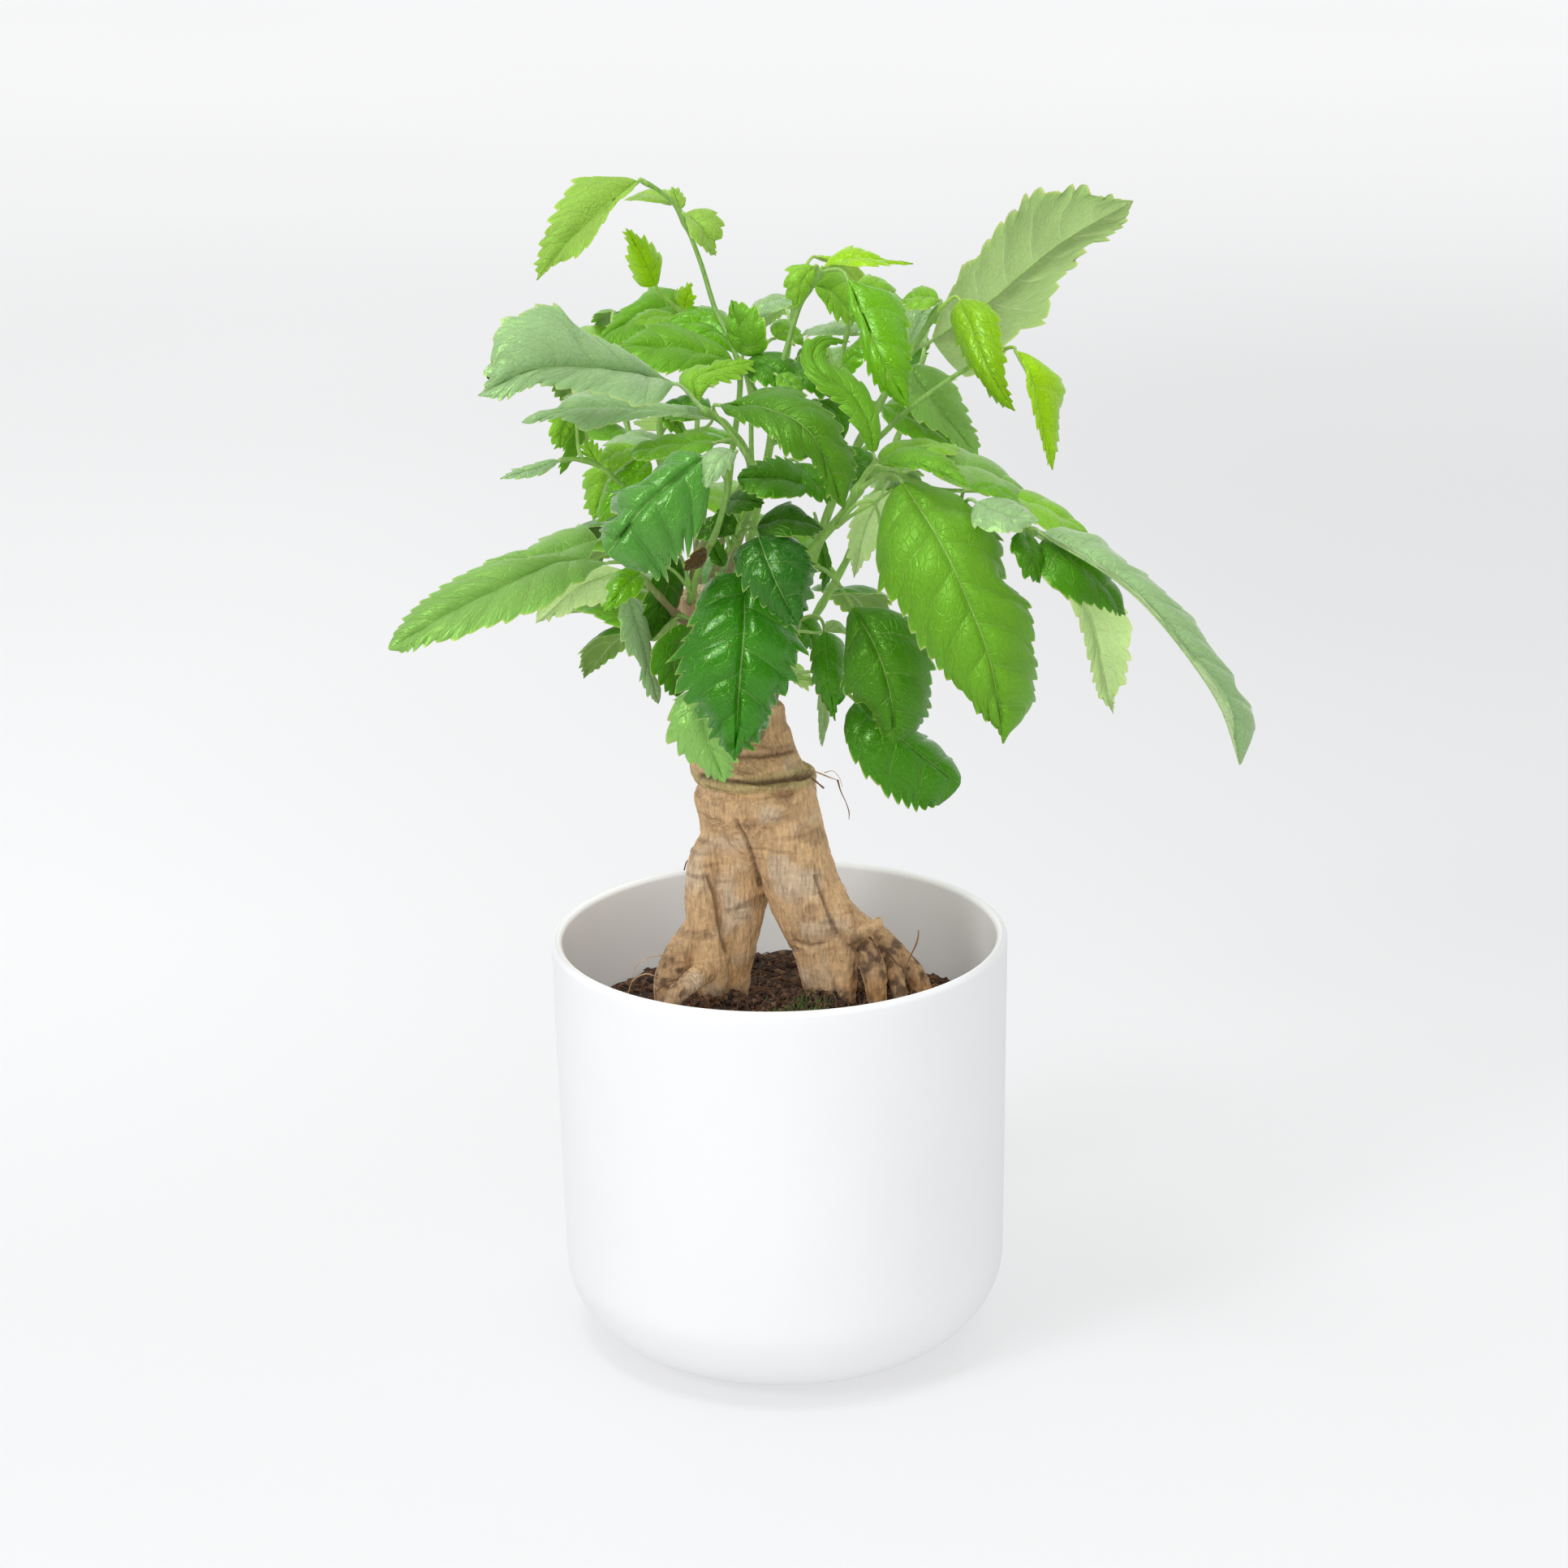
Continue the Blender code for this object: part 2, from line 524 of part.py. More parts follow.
BACK_STALK_RISE = 6
BACK_DROOP = (-34, 8)
GOLDEN_ANGLE = math.radians(137.5)
SEED = 7


def sight(place):
    """The point, in metres, on the line of sight of a reading (across, down, toward)."""
    across, down, toward = place
    right_px = across - PHOTO_SIDE / 2
    up_px = PHOTO_SIDE / 2 - down
    cos_roll, sin_roll = math.cos(VIEW_ROLL), math.sin(VIEW_ROLL)
    x = (right_px * cos_roll + up_px * sin_roll) / FOCAL_PIXELS
    y = (up_px * cos_roll - right_px * sin_roll) / FOCAL_PIXELS
    back = Vector((0, -math.cos(VIEW_ELEVATION), math.sin(VIEW_ELEVATION)))
    eye = VIEW_AIM + back * VIEW_DISTANCE
    right = Vector((1, 0, 0))
    up = right.cross(-back)
    ray = -back + right * x + up * y
    return eye + ray * ((-toward * MM - eye.y) / ray.y)


def clear_scene():
    for obj in list(bpy.data.objects):
        bpy.data.objects.remove(obj)


def new_collection(name):
    made = bpy.data.collections.new(name)
    bpy.context.scene.collection.children.link(made)
    return made


def material(name, colour, roughness):
    made = bpy.data.materials.new(name)
    made.use_nodes = True
    shader = made.node_tree.nodes["Principled BSDF"]
    shader.inputs["Base Color"].default_value = (*colour, 1)
    shader.inputs["Roughness"].default_value = roughness
    shader.inputs["Metallic"].default_value = 0
    return made


def mesh_object(name, mesh, collection, finish=None):
    made = bpy.data.objects.new(name, mesh)
    collection.objects.link(made)
    if finish:
        mesh.materials.clear()
        mesh.materials.append(finish)
    return made


def apply_modifiers(obj):
    """Replaces the object's mesh by what its modifiers make of it."""
    graph = bpy.context.evaluated_depsgraph_get()
    mesh = bpy.data.meshes.new_from_object(obj.evaluated_get(graph))
    obj.modifiers.clear()
    obj.data = mesh


def tube(name, points, radii, collection, resolution):
    """A closed tube through the points, as a mesh, with a radius at each point."""
    curve = bpy.data.curves.new(name, "CURVE")
    curve.dimensions = "3D"
    curve.bevel_depth = 1
    curve.bevel_resolution = resolution
    curve.use_fill_caps = True
    spline = curve.splines.new("POLY")
    spline.points.add(len(points) - 1)
    for spline_point, point, radius in zip(spline.points, points, radii):
        spline_point.co = (*point, 1)
        spline_point.radius = radius
    guide = bpy.data.objects.new(name + " guide", curve)
    collection.objects.link(guide)
    graph = bpy.context.evaluated_depsgraph_get()
    mesh = bpy.data.meshes.new_from_object(guide.evaluated_get(graph))
    bpy.data.objects.remove(guide)
    cleaned = bmesh.new()
    cleaned.from_mesh(mesh)
    bmesh.ops.remove_doubles(cleaned, verts=cleaned.verts, dist=WELD * MM)
    bmesh.ops.recalc_face_normals(cleaned, faces=cleaned.faces)
    cleaned.to_mesh(mesh)
    cleaned.free()
    return mesh_object(name, mesh, collection)


def spun(name, profile, sides, collection, finish):
    """A body turned about Z from a profile of (radius, height) in millimetres, both ends on Z."""
    mesh = bpy.data.meshes.new(name)
    mesh.from_pydata(
        [(r * MM, 0, z * MM) for r, z in profile],
        [(i, i + 1) for i in range(len(profile) - 1)],
        [],
    )
    obj = mesh_object(name, mesh, collection, finish)
    screw = obj.modifiers.new("Turn", "SCREW")
    screw.steps = sides
    screw.render_steps = sides
    screw.use_merge_vertices = True
    screw.merge_threshold = WELD * MM
    screw.use_smooth_shade = True
    apply_modifiers(obj)
    return obj


def arc(centre, radius, start, end, steps):
    """Points round a centre, from one angle to another in degrees."""
    return [
        (centre[0] + radius * math.cos(angle), centre[1] + radius * math.sin(angle))
        for angle in (math.radians(start + (end - start) * i / steps) for i in range(steps + 1))
    ]


def inner_radius(height):
    """The pot's inside radius at a height above its rounded foot, in millimetres."""
    return POT_RADIUS - POT_WALL - POT_DRAFT * (1 - height / POT_HEIGHT)


def inner_foot_profile(clearance, steps):
    """The inside of the pot from the axis out and up round its foot, this far inside the wall."""
    foot_round = POT_FOOT_ROUND - POT_WALL
    top = POT_FLOOR + foot_round
    centre = (inner_radius(top) - foot_round, top)
    return [(0, POT_FLOOR + clearance)] + arc(centre, foot_round - clearance, -90, 0, steps)


def build_pot(collection):
    foot_centre = (POT_RADIUS - POT_DRAFT - POT_FOOT_ROUND, POT_FOOT_ROUND)
    lip = (POT_RADIUS - POT_LIP_ROUND, POT_HEIGHT - POT_LIP_ROUND)
    inner_lip = (POT_RADIUS - POT_WALL + POT_LIP_ROUND, POT_HEIGHT - POT_LIP_ROUND)
    outside = [(0, 0)] + arc(foot_centre, POT_FOOT_ROUND, -90, 0, 5)
    rim = arc(lip, POT_LIP_ROUND, 0, 90, 2) + arc(inner_lip, POT_LIP_ROUND, 90, 180, 2)
    inside = inner_foot_profile(0, 3)[::-1]
    profile = (outside + rim + inside)[::-1]
    white = material("white ceramic", CERAMIC_WHITE, 0.5)
    pot = spun("pot", profile, POT_SIDES, collection, white)
    shade_round(pot, 40)


def soil_height(x, y):
    """The soil's top in millimetres above the pot's base: a low mound with a fine roll on it."""
    edge = inner_radius(POT_HEIGHT - SOIL_DEPTH_BELOW_RIM)
    share = min(1, math.hypot(x, y) / edge)
    roll = math.sin(0.31 * x + 1.3) * math.cos(0.27 * y - 0.4) + 0.6 * math.sin(0.17 * (x + y))
    return POT_HEIGHT - SOIL_DEPTH_BELOW_RIM + SOIL_MOUND * (1 - share**2) + SOIL_BUMP * roll


def build_soil(collection, trunk):
    edge = inner_radius(POT_HEIGHT - SOIL_DEPTH_BELOW_RIM) - GAP
    rings = [edge * i / SOIL_RINGS for i in range(SOIL_RINGS, -1, -1)]
    marker = POT_HEIGHT
    profile = inner_foot_profile(GAP, 3) + [(r, marker) for r in rings]
    brown = material("potting soil", SOIL_BROWN, 0.95)
    soil = spun("soil", profile[::-1], POT_SIDES, collection, brown)
    for vertex in soil.data.vertices:
        if vertex.co.z > (marker - 1) * MM:
            vertex.co.z = soil_height(vertex.co.x / MM, vertex.co.y / MM) * MM
    cutter = mesh_object("root holes", trunk.data.copy(), collection)
    swell = cutter.modifiers.new("Clearance", "DISPLACE")
    swell.mid_level = 0
    swell.strength = ROOT_GAP * MM
    apply_modifiers(cutter)
    hole = soil.modifiers.new("Root holes", "BOOLEAN")
    hole.operation = "DIFFERENCE"
    hole.object = cutter
    apply_modifiers(soil)
    bpy.data.objects.remove(cutter)
    drop_slivers(soil.data)
    shade_round(soil, 60)


def build_trunk(collection):
    limbs = []
    for name, limb in TRUNK_LIMBS.items():
        points = [sight(place) for place, _ in limb]
        radii = [radius * MM for _, radius in limb]
        limbs.append(tube("limb " + name, points, radii, collection, LIMB_ROUNDNESS))
    whole = bmesh.new()
    for limb in limbs:
        whole.from_mesh(limb.data)
        bpy.data.objects.remove(limb)
    mesh = bpy.data.meshes.new("trunk")
    whole.to_mesh(mesh)
    whole.free()
    trunk = mesh_object("trunk", mesh, collection, material("tan bark", BARK_TAN, 0.85))
    grown = trunk.modifiers.new("Grown together", "REMESH")
    grown.mode = "VOXEL"
    grown.voxel_size = TRUNK_VOXEL * MM
    soft = trunk.modifiers.new("Soften", "SMOOTH")
    soft.factor = 0.5
    soft.iterations = 3
    apply_modifiers(trunk)
    fewer = trunk.modifiers.new("Fewer faces", "DECIMATE")
    trunk.data.calc_loop_triangles()
    fewer.ratio = TRUNK_TRIANGLES / len(trunk.data.loop_triangles)
    apply_modifiers(trunk)
    return trunk


def shade_round(obj, sharp_above):
    """Shades a round piece smooth, with edges sharper than the angle in degrees left crisp."""
    obj.data.shade_smooth()
    obj.data.set_sharp_from_angle(angle=math.radians(sharp_above))


def smooth_path(points, per_span):
    """Points along a Catmull-Rom curve through the given ones."""
    ends = [points[0] * 2 - points[1], *points, points[-1] * 2 - points[-2]]
    found = []
    for a, b, c, d in zip(ends, ends[1:], ends[2:], ends[3:]):
        for step in range(per_span):
            t = step / per_span
            found.append(
                0.5 * (2 * b + (c - a) * t + (2 * a - 5 * b + 4 * c - d) * t**2
                       + (3 * b - a - 3 * c + d) * t**3)
            )
    return found + [points[-1]]


def nearest_on(path, point):
    """Index and distance of the path's point that is nearest."""
    gaps = [(p - point).length for p in path]
    best = min(range(len(path)), key=gaps.__getitem__)
    return best, gaps[best]


def stalk_start(paths, foot, back):
    """Where a leaf stalk leaves the nearest stem, some way back from its nearest point, and the
    stem's direction there."""
    path = min(paths, key=lambda p: nearest_on(p, foot)[1])
    lengths = [0]
    for a, b in zip(path, path[1:]):
        lengths.append(lengths[-1] + (b - a).length)
    wanted = max(lengths[nearest_on(path, foot)[0]] - back * MM, CLEAR_OF_SOCKET * MM)
    index = min(range(len(path) - 1), key=lambda i: abs(lengths[i] - wanted))
    return path[index], (path[index + 1] - path[index]).normalized()


def across_to(direction, wanted):
    """The wanted direction made square to another."""
    return (wanted - direction * wanted.dot(direction)).normalized()


def half_width(share, leaf):
    """Half the blade's width at a share of its length, where 1 is the widest."""
    swell = leaf.blunt * leaf.crest / (1 - leaf.crest)
    return (share / leaf.crest) ** swell * (max(0, 1 - share) / (1 - leaf.crest)) ** leaf.blunt


class Blade:
    """The run of a leaf blade: its midrib and the directions and lengths of its two halves."""

    def __init__(self, leaf, spine, left, right):
        self.leaf = leaf
        path = smooth_path(spine, 8)
        lengths = [0]
        for a, b in zip(path, path[1:]):
            lengths.append(lengths[-1] + (b - a).length)
        self.length = lengths[-1]
        self.points = []
        for i in range(BLADE_SAMPLES + 1):
            wanted = self.length * i / BLADE_SAMPLES
            k = min(max(j for j, at in enumerate(lengths) if at <= wanted), len(path) - 2)
            part = (wanted - lengths[k]) / (lengths[k + 1] - lengths[k])
            self.points.append(path[k].lerp(path[k + 1], part))
        self.ahead = []
        for i in range(BLADE_SAMPLES + 1):
            before, after = self.points[max(0, i - 1)], self.points[min(BLADE_SAMPLES, i + 1)]
            self.ahead.append((after - before).normalized())
        self.left = self.carry(left)
        self.right = self.carry(right)

    def carry(self, edge):
        """The way from the midrib to one edge at each sample, turned along with the midrib."""
        start = round(self.leaf.crest * BLADE_SAMPLES)
        arm = edge - self.points[start]
        arm -= self.ahead[start] * arm.dot(self.ahead[start])
        arms = {start: arm}
        for step, last in ((1, BLADE_SAMPLES), (-1, 0)):
            for i in range(start + step, last + step, step):
                turn = self.ahead[i - step].rotation_difference(self.ahead[i])
                arms[i] = turn @ arms[i - step]
        return [arms[i] for i in range(BLADE_SAMPLES + 1)]

    def between(self, values, share):
        place = min(max(share, 0), 1) * BLADE_SAMPLES
        i = min(int(place), BLADE_SAMPLES - 1)
        return values[i].lerp(values[i + 1], place - i)

    def section(self, share, notch=1):
        """Left edge, midrib and right edge at a share of the length, as pairs of top and bottom."""
        centre = self.between(self.points, share)
        ahead = self.between(self.ahead, share).normalized()
        left, right = self.between(self.left, share), self.between(self.right, share)
        spread = half_width(share, self.leaf) * notch
        lift = BLADE_THICKNESS * MM / 2
        found = []
        for arm, across in ((left, -left), (None, right - left), (right, right)):
            up = across.cross(ahead).normalized() * lift
            edge = centre
            if arm:
                edge = centre + arm.normalized() * max(arm.length * spread, TIP_HALF_WIDTH * MM)
            found.append((edge + up, edge - up))
        return found

    def width(self):
        return (self.left[0].length + self.right[0].length) / MM

    def frame(self):
        """The blade's way ahead, to the right and up at its foot."""
        ahead = self.ahead[0]
        side = across_to(ahead, self.right[0] - self.left[0])
        return ahead, side, side.cross(ahead)


def teeth_of(width):
    """How many teeth each side of a blade has in this solid, by its width in millimetres."""
    for least, count in TEETH_BY_WIDTH:
        if width >= least:
            return count
    return LEAST_TEETH


def stalk_rings(start, stem_direction, blade):
    """Rings of six corners along a leaf stalk, from inside the stem to just before the blade."""
    foot = blade.points[0]
    ahead, side, up = blade.frame()
    span = (foot - start).length
    leaving = stem_direction.lerp((foot - start).normalized(), 1 - STALK_ALONG_STEM)
    lead = start + leaving * span * STALK_LEAD
    follow = foot - ahead * span * STALK_FOLLOW
    radius = (STALK_RADIUS + blade.width() * STALK_SWELL) * MM
    rings = []
    for t in STALK_MARKS[span > LONG_STALK * MM]:
        centre = (start * (1 - t) ** 3 + lead * 3 * t * (1 - t) ** 2
                  + follow * 3 * t**2 * (1 - t) + foot * t**3)
        along = (lead - start) * (1 - t) ** 2 + (follow - lead) * 2 * t * (1 - t)
        along = (along + (foot - follow) * t**2).normalized()
        top = across_to(along, up)
        out = along.cross(top)
        rings.append([
            centre + radius * (out * math.cos(math.radians(a)) + top * math.sin(math.radians(a)))
            for a in STALK_CORNERS
        ])
    return rings


def leaf_mesh(name, blade, start, stem_direction):
    """One closed body: a stalk of six sides that opens out into a toothed blade."""
    made = bmesh.new()
    teeth = teeth_of(blade.width())
    shares = [(i / teeth) ** TOOTH_CROWDING for i in range(teeth + 1)]
    marks = [BLADE_FOOT + (1 - BLADE_FOOT) * share for share in shares]
    left, mid, right = [], [], []

    def add(parts, *columns):
        for column, (top, bottom) in zip(columns, parts):
            column.append((made.verts.new(top), made.verts.new(bottom)))

    for i, mark in enumerate(marks):
        inner = 1 if i in (0, teeth) else 1 - TOOTH_DEPTH
        add(blade.section(mark, inner), left, mid, right)
        if i < teeth:
            crest = mark + (marks[i + 1] - mark) * (0.5 if i == 0 else TOOTH_POINT)
            outer = 1 if i == 0 else 1 + TOOTH_DEPTH / 2
            parts = blade.section(crest, outer)
            add((parts[0], parts[2]), left, right)
    rings = [[made.verts.new(c) for c in ring] for ring in stalk_rings(start, stem_direction, blade)]
    rings.append([left[0][0], mid[0][0], right[0][0], right[0][1], mid[0][1], left[0][1]])
    for a, b in zip(rings, rings[1:]):
        for k in range(6):
            n = (k + 1) % 6
            made.faces.new((a[k], a[n], b[n], b[k]))
    made.faces.new(rings[0])
    for edge in (left, right):
        for i in range(teeth):
            for face in (0, 1):
                m0, m1 = mid[i][face], mid[i + 1][face]
                e0, e1, e2 = (edge[2 * i + j][face] for j in range(3))
                made.faces.new((m0, e1, e0))
                made.faces.new((m0, m1, e1))
                made.faces.new((m1, e2, e1))
        for a, b in zip(edge, edge[1:]):
            made.faces.new((a[0], b[0], b[1]))
            made.faces.new((a[0], b[1], a[1]))
        made.faces.new((mid[-1][0], edge[-1][0], edge[-1][1], mid[-1][1]))
    bmesh.ops.recalc_face_normals(made, faces=made.faces)
    mesh = bpy.data.meshes.new(name)
    made.to_mesh(mesh)
    made.free()
    return mesh


def socket(trunk, path, radius, pieces):
    """Seats a stem in the trunk: returns the path cut to start in the socket, and adds the cutter."""
    surface = BVHTree.FromObject(trunk, bpy.context.evaluated_depsgraph_get())
    inward = (path[0] - path[1]).normalized()
    hit, _, _, _ = surface.ray_cast(path[1], inward)
    foot = hit + inward * SOCKET_DEPTH * MM
    bottom = foot + inward * GAP * MM
    ends = [bottom, hit - inward * SOCKET_REACH * MM]
    cutter = tube("socket", ends, [(radius + SOCKET_GAP) * MM] * 2, pieces, STEM_ROUNDNESS)
    cutter.hide_render = True
    cutter.display_type = "WIRE"
    return [foot, *path[1:]], cutter


def without_slivers(mesh, limit):
    """The mesh with points closer than the limit welded, the flat fins that this leaves taken out,
    and the longest edge turned in every triangle thinner than the limit."""
    made = bmesh.new()
    made.from_mesh(mesh)
    bmesh.ops.triangulate(made, faces=made.faces)
    bmesh.ops.remove_doubles(made, verts=made.verts, dist=limit)
    for _ in range(SLIVER_ROUNDS):
        for face in list(made.faces):
            if face.is_valid:
                longest = max(face.edges, key=lambda edge: edge.calc_length())
                if 2 * face.calc_area() < limit * longest.calc_length():
                    bmesh.utils.edge_rotate(longest, False)
        by_corners = {}
        for face in made.faces:
            by_corners.setdefault(frozenset(face.verts), []).append(face)
        fins = [face for faces in by_corners.values() if len(faces) > 1 for face in faces]
        bmesh.ops.delete(made, geom=fins, context="FACES")
    return made


def drop_slivers(mesh):
    """Cleans a united mesh with the widest limit that leaves it closed."""
    for limit in SLIVER_LIMITS:
        made = without_slivers(mesh, limit * MM)
        closed = all(edge.is_manifold for edge in made.edges)
        if closed:
            made.to_mesh(mesh)
        made.free()
        if closed:
            return


def join(name, parts, collection, finish):
    """Unites the parts into one mesh object and removes them. The EXACT solver leaves a few edges
    open on the fullest branches."""
    first, rest = parts[0], parts[1:]
    group = new_collection(name + " pieces")
    for part in rest:
        for owner in list(part.users_collection):
            owner.objects.unlink(part)
        group.objects.link(part)
    bond = first.modifiers.new("Grown together", "BOOLEAN")
    bond.operation = "UNION"
    bond.operand_type = "COLLECTION"
    bond.collection = group
    bond.solver = "MANIFOLD"
    apply_modifiers(first)
    drop_slivers(first.data)
    mesh_object(name, first.data, collection, finish)
    for part in parts:
        bpy.data.objects.remove(part)
    bpy.data.collections.remove(group)


def stem_radius(radii, index, count):
    return (radii[0] + (radii[1] - radii[0]) * index / (count - 1)) * MM


def build_branch(name, stems, radii, blades, trunk, collection):
    """Builds a branch of stems and leaves, each leaf as its Blade. Returns its socket's cutter."""
    pieces = new_collection(name + " parts")
    first_stem, cutter = socket(trunk, stems[0], radii[0][0], pieces)
    stems = [first_stem, *stems[1:]]
    paths = [smooth_path(stem, 4) for stem in stems]
    parts = []
    for i, (stem, pair) in enumerate(zip(stems, radii)):
        sizes = [stem_radius(pair, k, len(stem)) for k in range(len(stem))]
        parts.append(tube(f"{name} stem {i}", stem, sizes, pieces, STEM_ROUNDNESS))
    for i, blade in enumerate(blades):
        start, stem_direction = stalk_start(paths, blade.points[0], blade.leaf.back)
        mesh = leaf_mesh(f"{name} leaf {i}", blade, start, stem_direction)
        parts.append(mesh_object(mesh.name, mesh, pieces))
    join(name, parts, collection, leaf_material(name))
    return cutter


def read_blade(leaf):
    """The blade of a leaf whose places are readings off the photograph."""
    return Blade(leaf, [sight(place) for place in leaf.spine], sight(leaf.left), sight(leaf.right))


def back_blades(stem, count, size, draw):
    """Blades for a branch that the photograph doesn't show."""
    path = smooth_path(stem, 6)
    found = []
    for i in range(count):
        share = BACK_LEAVES_FROM + (1 - BACK_LEAVES_FROM) * i / (count - 1)
        on_stem = path[int(share * (len(path) - 1))]
        outward = Vector((on_stem.x, on_stem.y, 0)).normalized()
        turned = Matrix.Rotation(GOLDEN_ANGLE * i, 3, "Z") @ outward
        heading = outward + turned * BACK_LEAF_SPREAD
        heading.y = max(heading.y, BACK_LEAST_BACKWARD)
        heading.normalize()
        slope = math.radians(draw.uniform(*BACK_DROOP))
        length = draw.uniform(*BACK_LEAF_LENGTH) * size * (1 - BACK_LEAF_TAPER * i / count) * MM
        stalk = draw.uniform(*BACK_STALK) * size * MM
        least, most = [(x * MM - on_stem.x) / (length + stalk) for x in BACK_TIPS_WITHIN]
        heading.x = min(max(heading.x, least), most)
        heading.y = math.sqrt(1 - heading.x**2)
        foot = on_stem + heading * stalk + Vector((0, 0, BACK_STALK_RISE * size * MM))
        along = heading * math.cos(slope) + Vector((0, 0, math.sin(slope)))
        side = along.cross(Vector((0, 0, 1))).normalized()
        up = side.cross(along)
        middle = foot + along * length / 2 + up * length * BACK_LEAF_ARCH
        tip = foot + along * length
        half = length * BACK_LEAF_SLENDER / 2
        plain = Leaf(None, None, None)
        found.append(Blade(plain, [foot, middle, tip], middle - side * half, middle + side * half))
    return found


def leaf_material(name):
    """A green for one branch: young and top branches are yellower, those at the back darker."""
    return material(name + " green", LEAF_GREENS[name], 0.4)


def build_foliage(trunk, collection):
    cutters = []
    for name, branch in BRANCHES.items():
        stems = [[sight(place) for place in stem] for stem in branch.stems]
        blades = [read_blade(leaf) for leaf in branch.leaves]
        cutters.append(build_branch(name, stems, branch.radii, blades, trunk, collection))
    draw = random.Random(SEED)
    for name, (stem, count, size) in BACK_BRANCHES.items():
        points = [Vector(p) * MM for p in stem]
        blades = back_blades(points, count, size, draw)
        cutters.append(
            build_branch(name, [points], [BACK_STEM_RADII], blades, trunk, collection)
        )
    return cutters


def cut_sockets(trunk, cutters):
    for cutter in cutters:
        hole = trunk.modifiers.new("Socket", "BOOLEAN")
        hole.operation = "DIFFERENCE"
        hole.object = cutter
        apply_modifiers(trunk)
        bpy.data.objects.remove(cutter)
    drop_slivers(trunk.data)
    shade_round(trunk, 60)


def main():
    clear_scene()
    plant = new_collection("Potted china doll plant")
    build_pot(plant)
    trunk = build_trunk(plant)
    build_soil(plant, trunk)
    cut_sockets(trunk, build_foliage(trunk, plant))


main()
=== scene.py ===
"""The looks of a potted china doll plant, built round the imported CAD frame. Metres, +Z up.

Each CAD node is replaced by one finer piece of the same form: leaf blades with toothed margins,
sunken veins and pillows between them, ridged bark, crumbly soil and a smooth pot. Rootlets, moss
and a dry leaf are added. Sizes are in millimetres. Places read off the photograph are (across,
down, toward), as in the CAD source: the pixel across and down the picture, and how many
millimetres the place lies in front of the pot's axis.
"""

import math
import random
from collections import namedtuple

import bpy
import numpy as np
from mathutils import Matrix, Vector, noise


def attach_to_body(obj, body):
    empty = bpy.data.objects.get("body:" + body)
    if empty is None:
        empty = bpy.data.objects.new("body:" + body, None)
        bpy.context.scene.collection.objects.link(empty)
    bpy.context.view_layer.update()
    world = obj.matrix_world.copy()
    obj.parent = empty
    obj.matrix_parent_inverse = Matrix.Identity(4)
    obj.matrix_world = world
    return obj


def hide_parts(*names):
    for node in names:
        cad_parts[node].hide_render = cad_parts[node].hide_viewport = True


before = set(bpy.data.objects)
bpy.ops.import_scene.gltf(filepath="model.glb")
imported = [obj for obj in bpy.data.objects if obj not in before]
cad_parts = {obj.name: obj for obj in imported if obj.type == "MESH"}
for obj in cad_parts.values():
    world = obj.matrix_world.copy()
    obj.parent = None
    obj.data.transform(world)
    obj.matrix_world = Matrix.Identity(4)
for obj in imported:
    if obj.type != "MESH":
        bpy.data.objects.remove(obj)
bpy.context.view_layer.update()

MM = 0.001

# Where the photograph was taken from.
PHOTO_SIDE = 1932
FOCAL_PIXELS = 4466
SENSOR = 36
VIEW_DISTANCE = 1178 * MM
VIEW_ELEVATION = math.radians(17.52)
VIEW_ROLL = math.radians(1.01)
COS_ROLL, SIN_ROLL = math.cos(VIEW_ROLL), math.sin(VIEW_ROLL)
VIEW_AIM = np.array((2.4, 0, 190)) * MM
VIEW_BACK = np.array((0, -math.cos(VIEW_ELEVATION), math.sin(VIEW_ELEVATION)))
VIEW_RIGHT = np.array((1.0, 0, 0))
VIEW_UP = np.cross(VIEW_RIGHT, -VIEW_BACK)
VIEW_EYE = VIEW_AIM + VIEW_BACK * VIEW_DISTANCE

# The pot. Its parts round the axis start at AXIS_RADIUS, so that they hold only quads.
POT_RADIUS = 75.0
POT_HEIGHT = 139.0
POT_DRAFT = 1.4
POT_FOOT_ROUND = 28.7
POT_WALL = 3.6
POT_FLOOR = 6.0
POT_LIP_ROUND = 1.7
POT_SIDES = 192
AXIS_RADIUS = 0.4
# Into how many runs the pot's base, foot, sides, lip and inner foot are cut, and the soil's foot.
BASE_STEPS = 6
FOOT_STEPS = 28
OUTER_SIDE_STEPS = 24
INNER_SIDE_STEPS = 16
LIP_STEPS = 8
INNER_FOOT_STEPS = 20
SOIL_FOOT_STEPS = 12

# The soil: its form, and the crumbs, fibres and moss on it. Tints are factors of a colour, and
# CLEAR is how far from the soil's edge a thing keeps.
SOIL_LEVEL = POT_HEIGHT - 33.0
SOIL_MOUND = 5.0
SOIL_TOP = SOIL_LEVEL + SOIL_MOUND
SOIL_BUMP = 0.9
SOIL_GAP = 0.35
SOIL_RINGS = 64
SOIL_SIDES = 220
SOIL_GRAIN = 1.3
CRUMBS = 1500
CRUMB_SIZE = (0.5, 1.9)
CRUMB_TINTS = (0.6, 1.3)
MOUND_CRUMBS = 190
MOUND_TINTS = (0.5, 1.3)
MOUND_LIFT = 1.8
CRUMBS_CLEAR = 3
LUMP_VARIES = (0.6, 1.25)
LUMP_TILT = 0.6
LUMP_FLATNESS = 0.7
FIBRES = 330
MOUND_FIBRES = 45
FIBRE_LENGTH = (3, 12)
FIBRE_BEND = 1.2
FIBRE_REST = 0.5
FIBRE_LIFT = 2.2
FIBRE_PLACES = 6
FIBRE_RADII = (0.28, 0.12)
FIBRE_SIDES = 4
FIBRES_CLEAR = 1
MOSS_TUFTS = 420
MOSS_RADII = (0.3, 0.26, 0.12)
MOSS_TINTS = (0.5, 1.6)
MOSS_CLEAR = 2
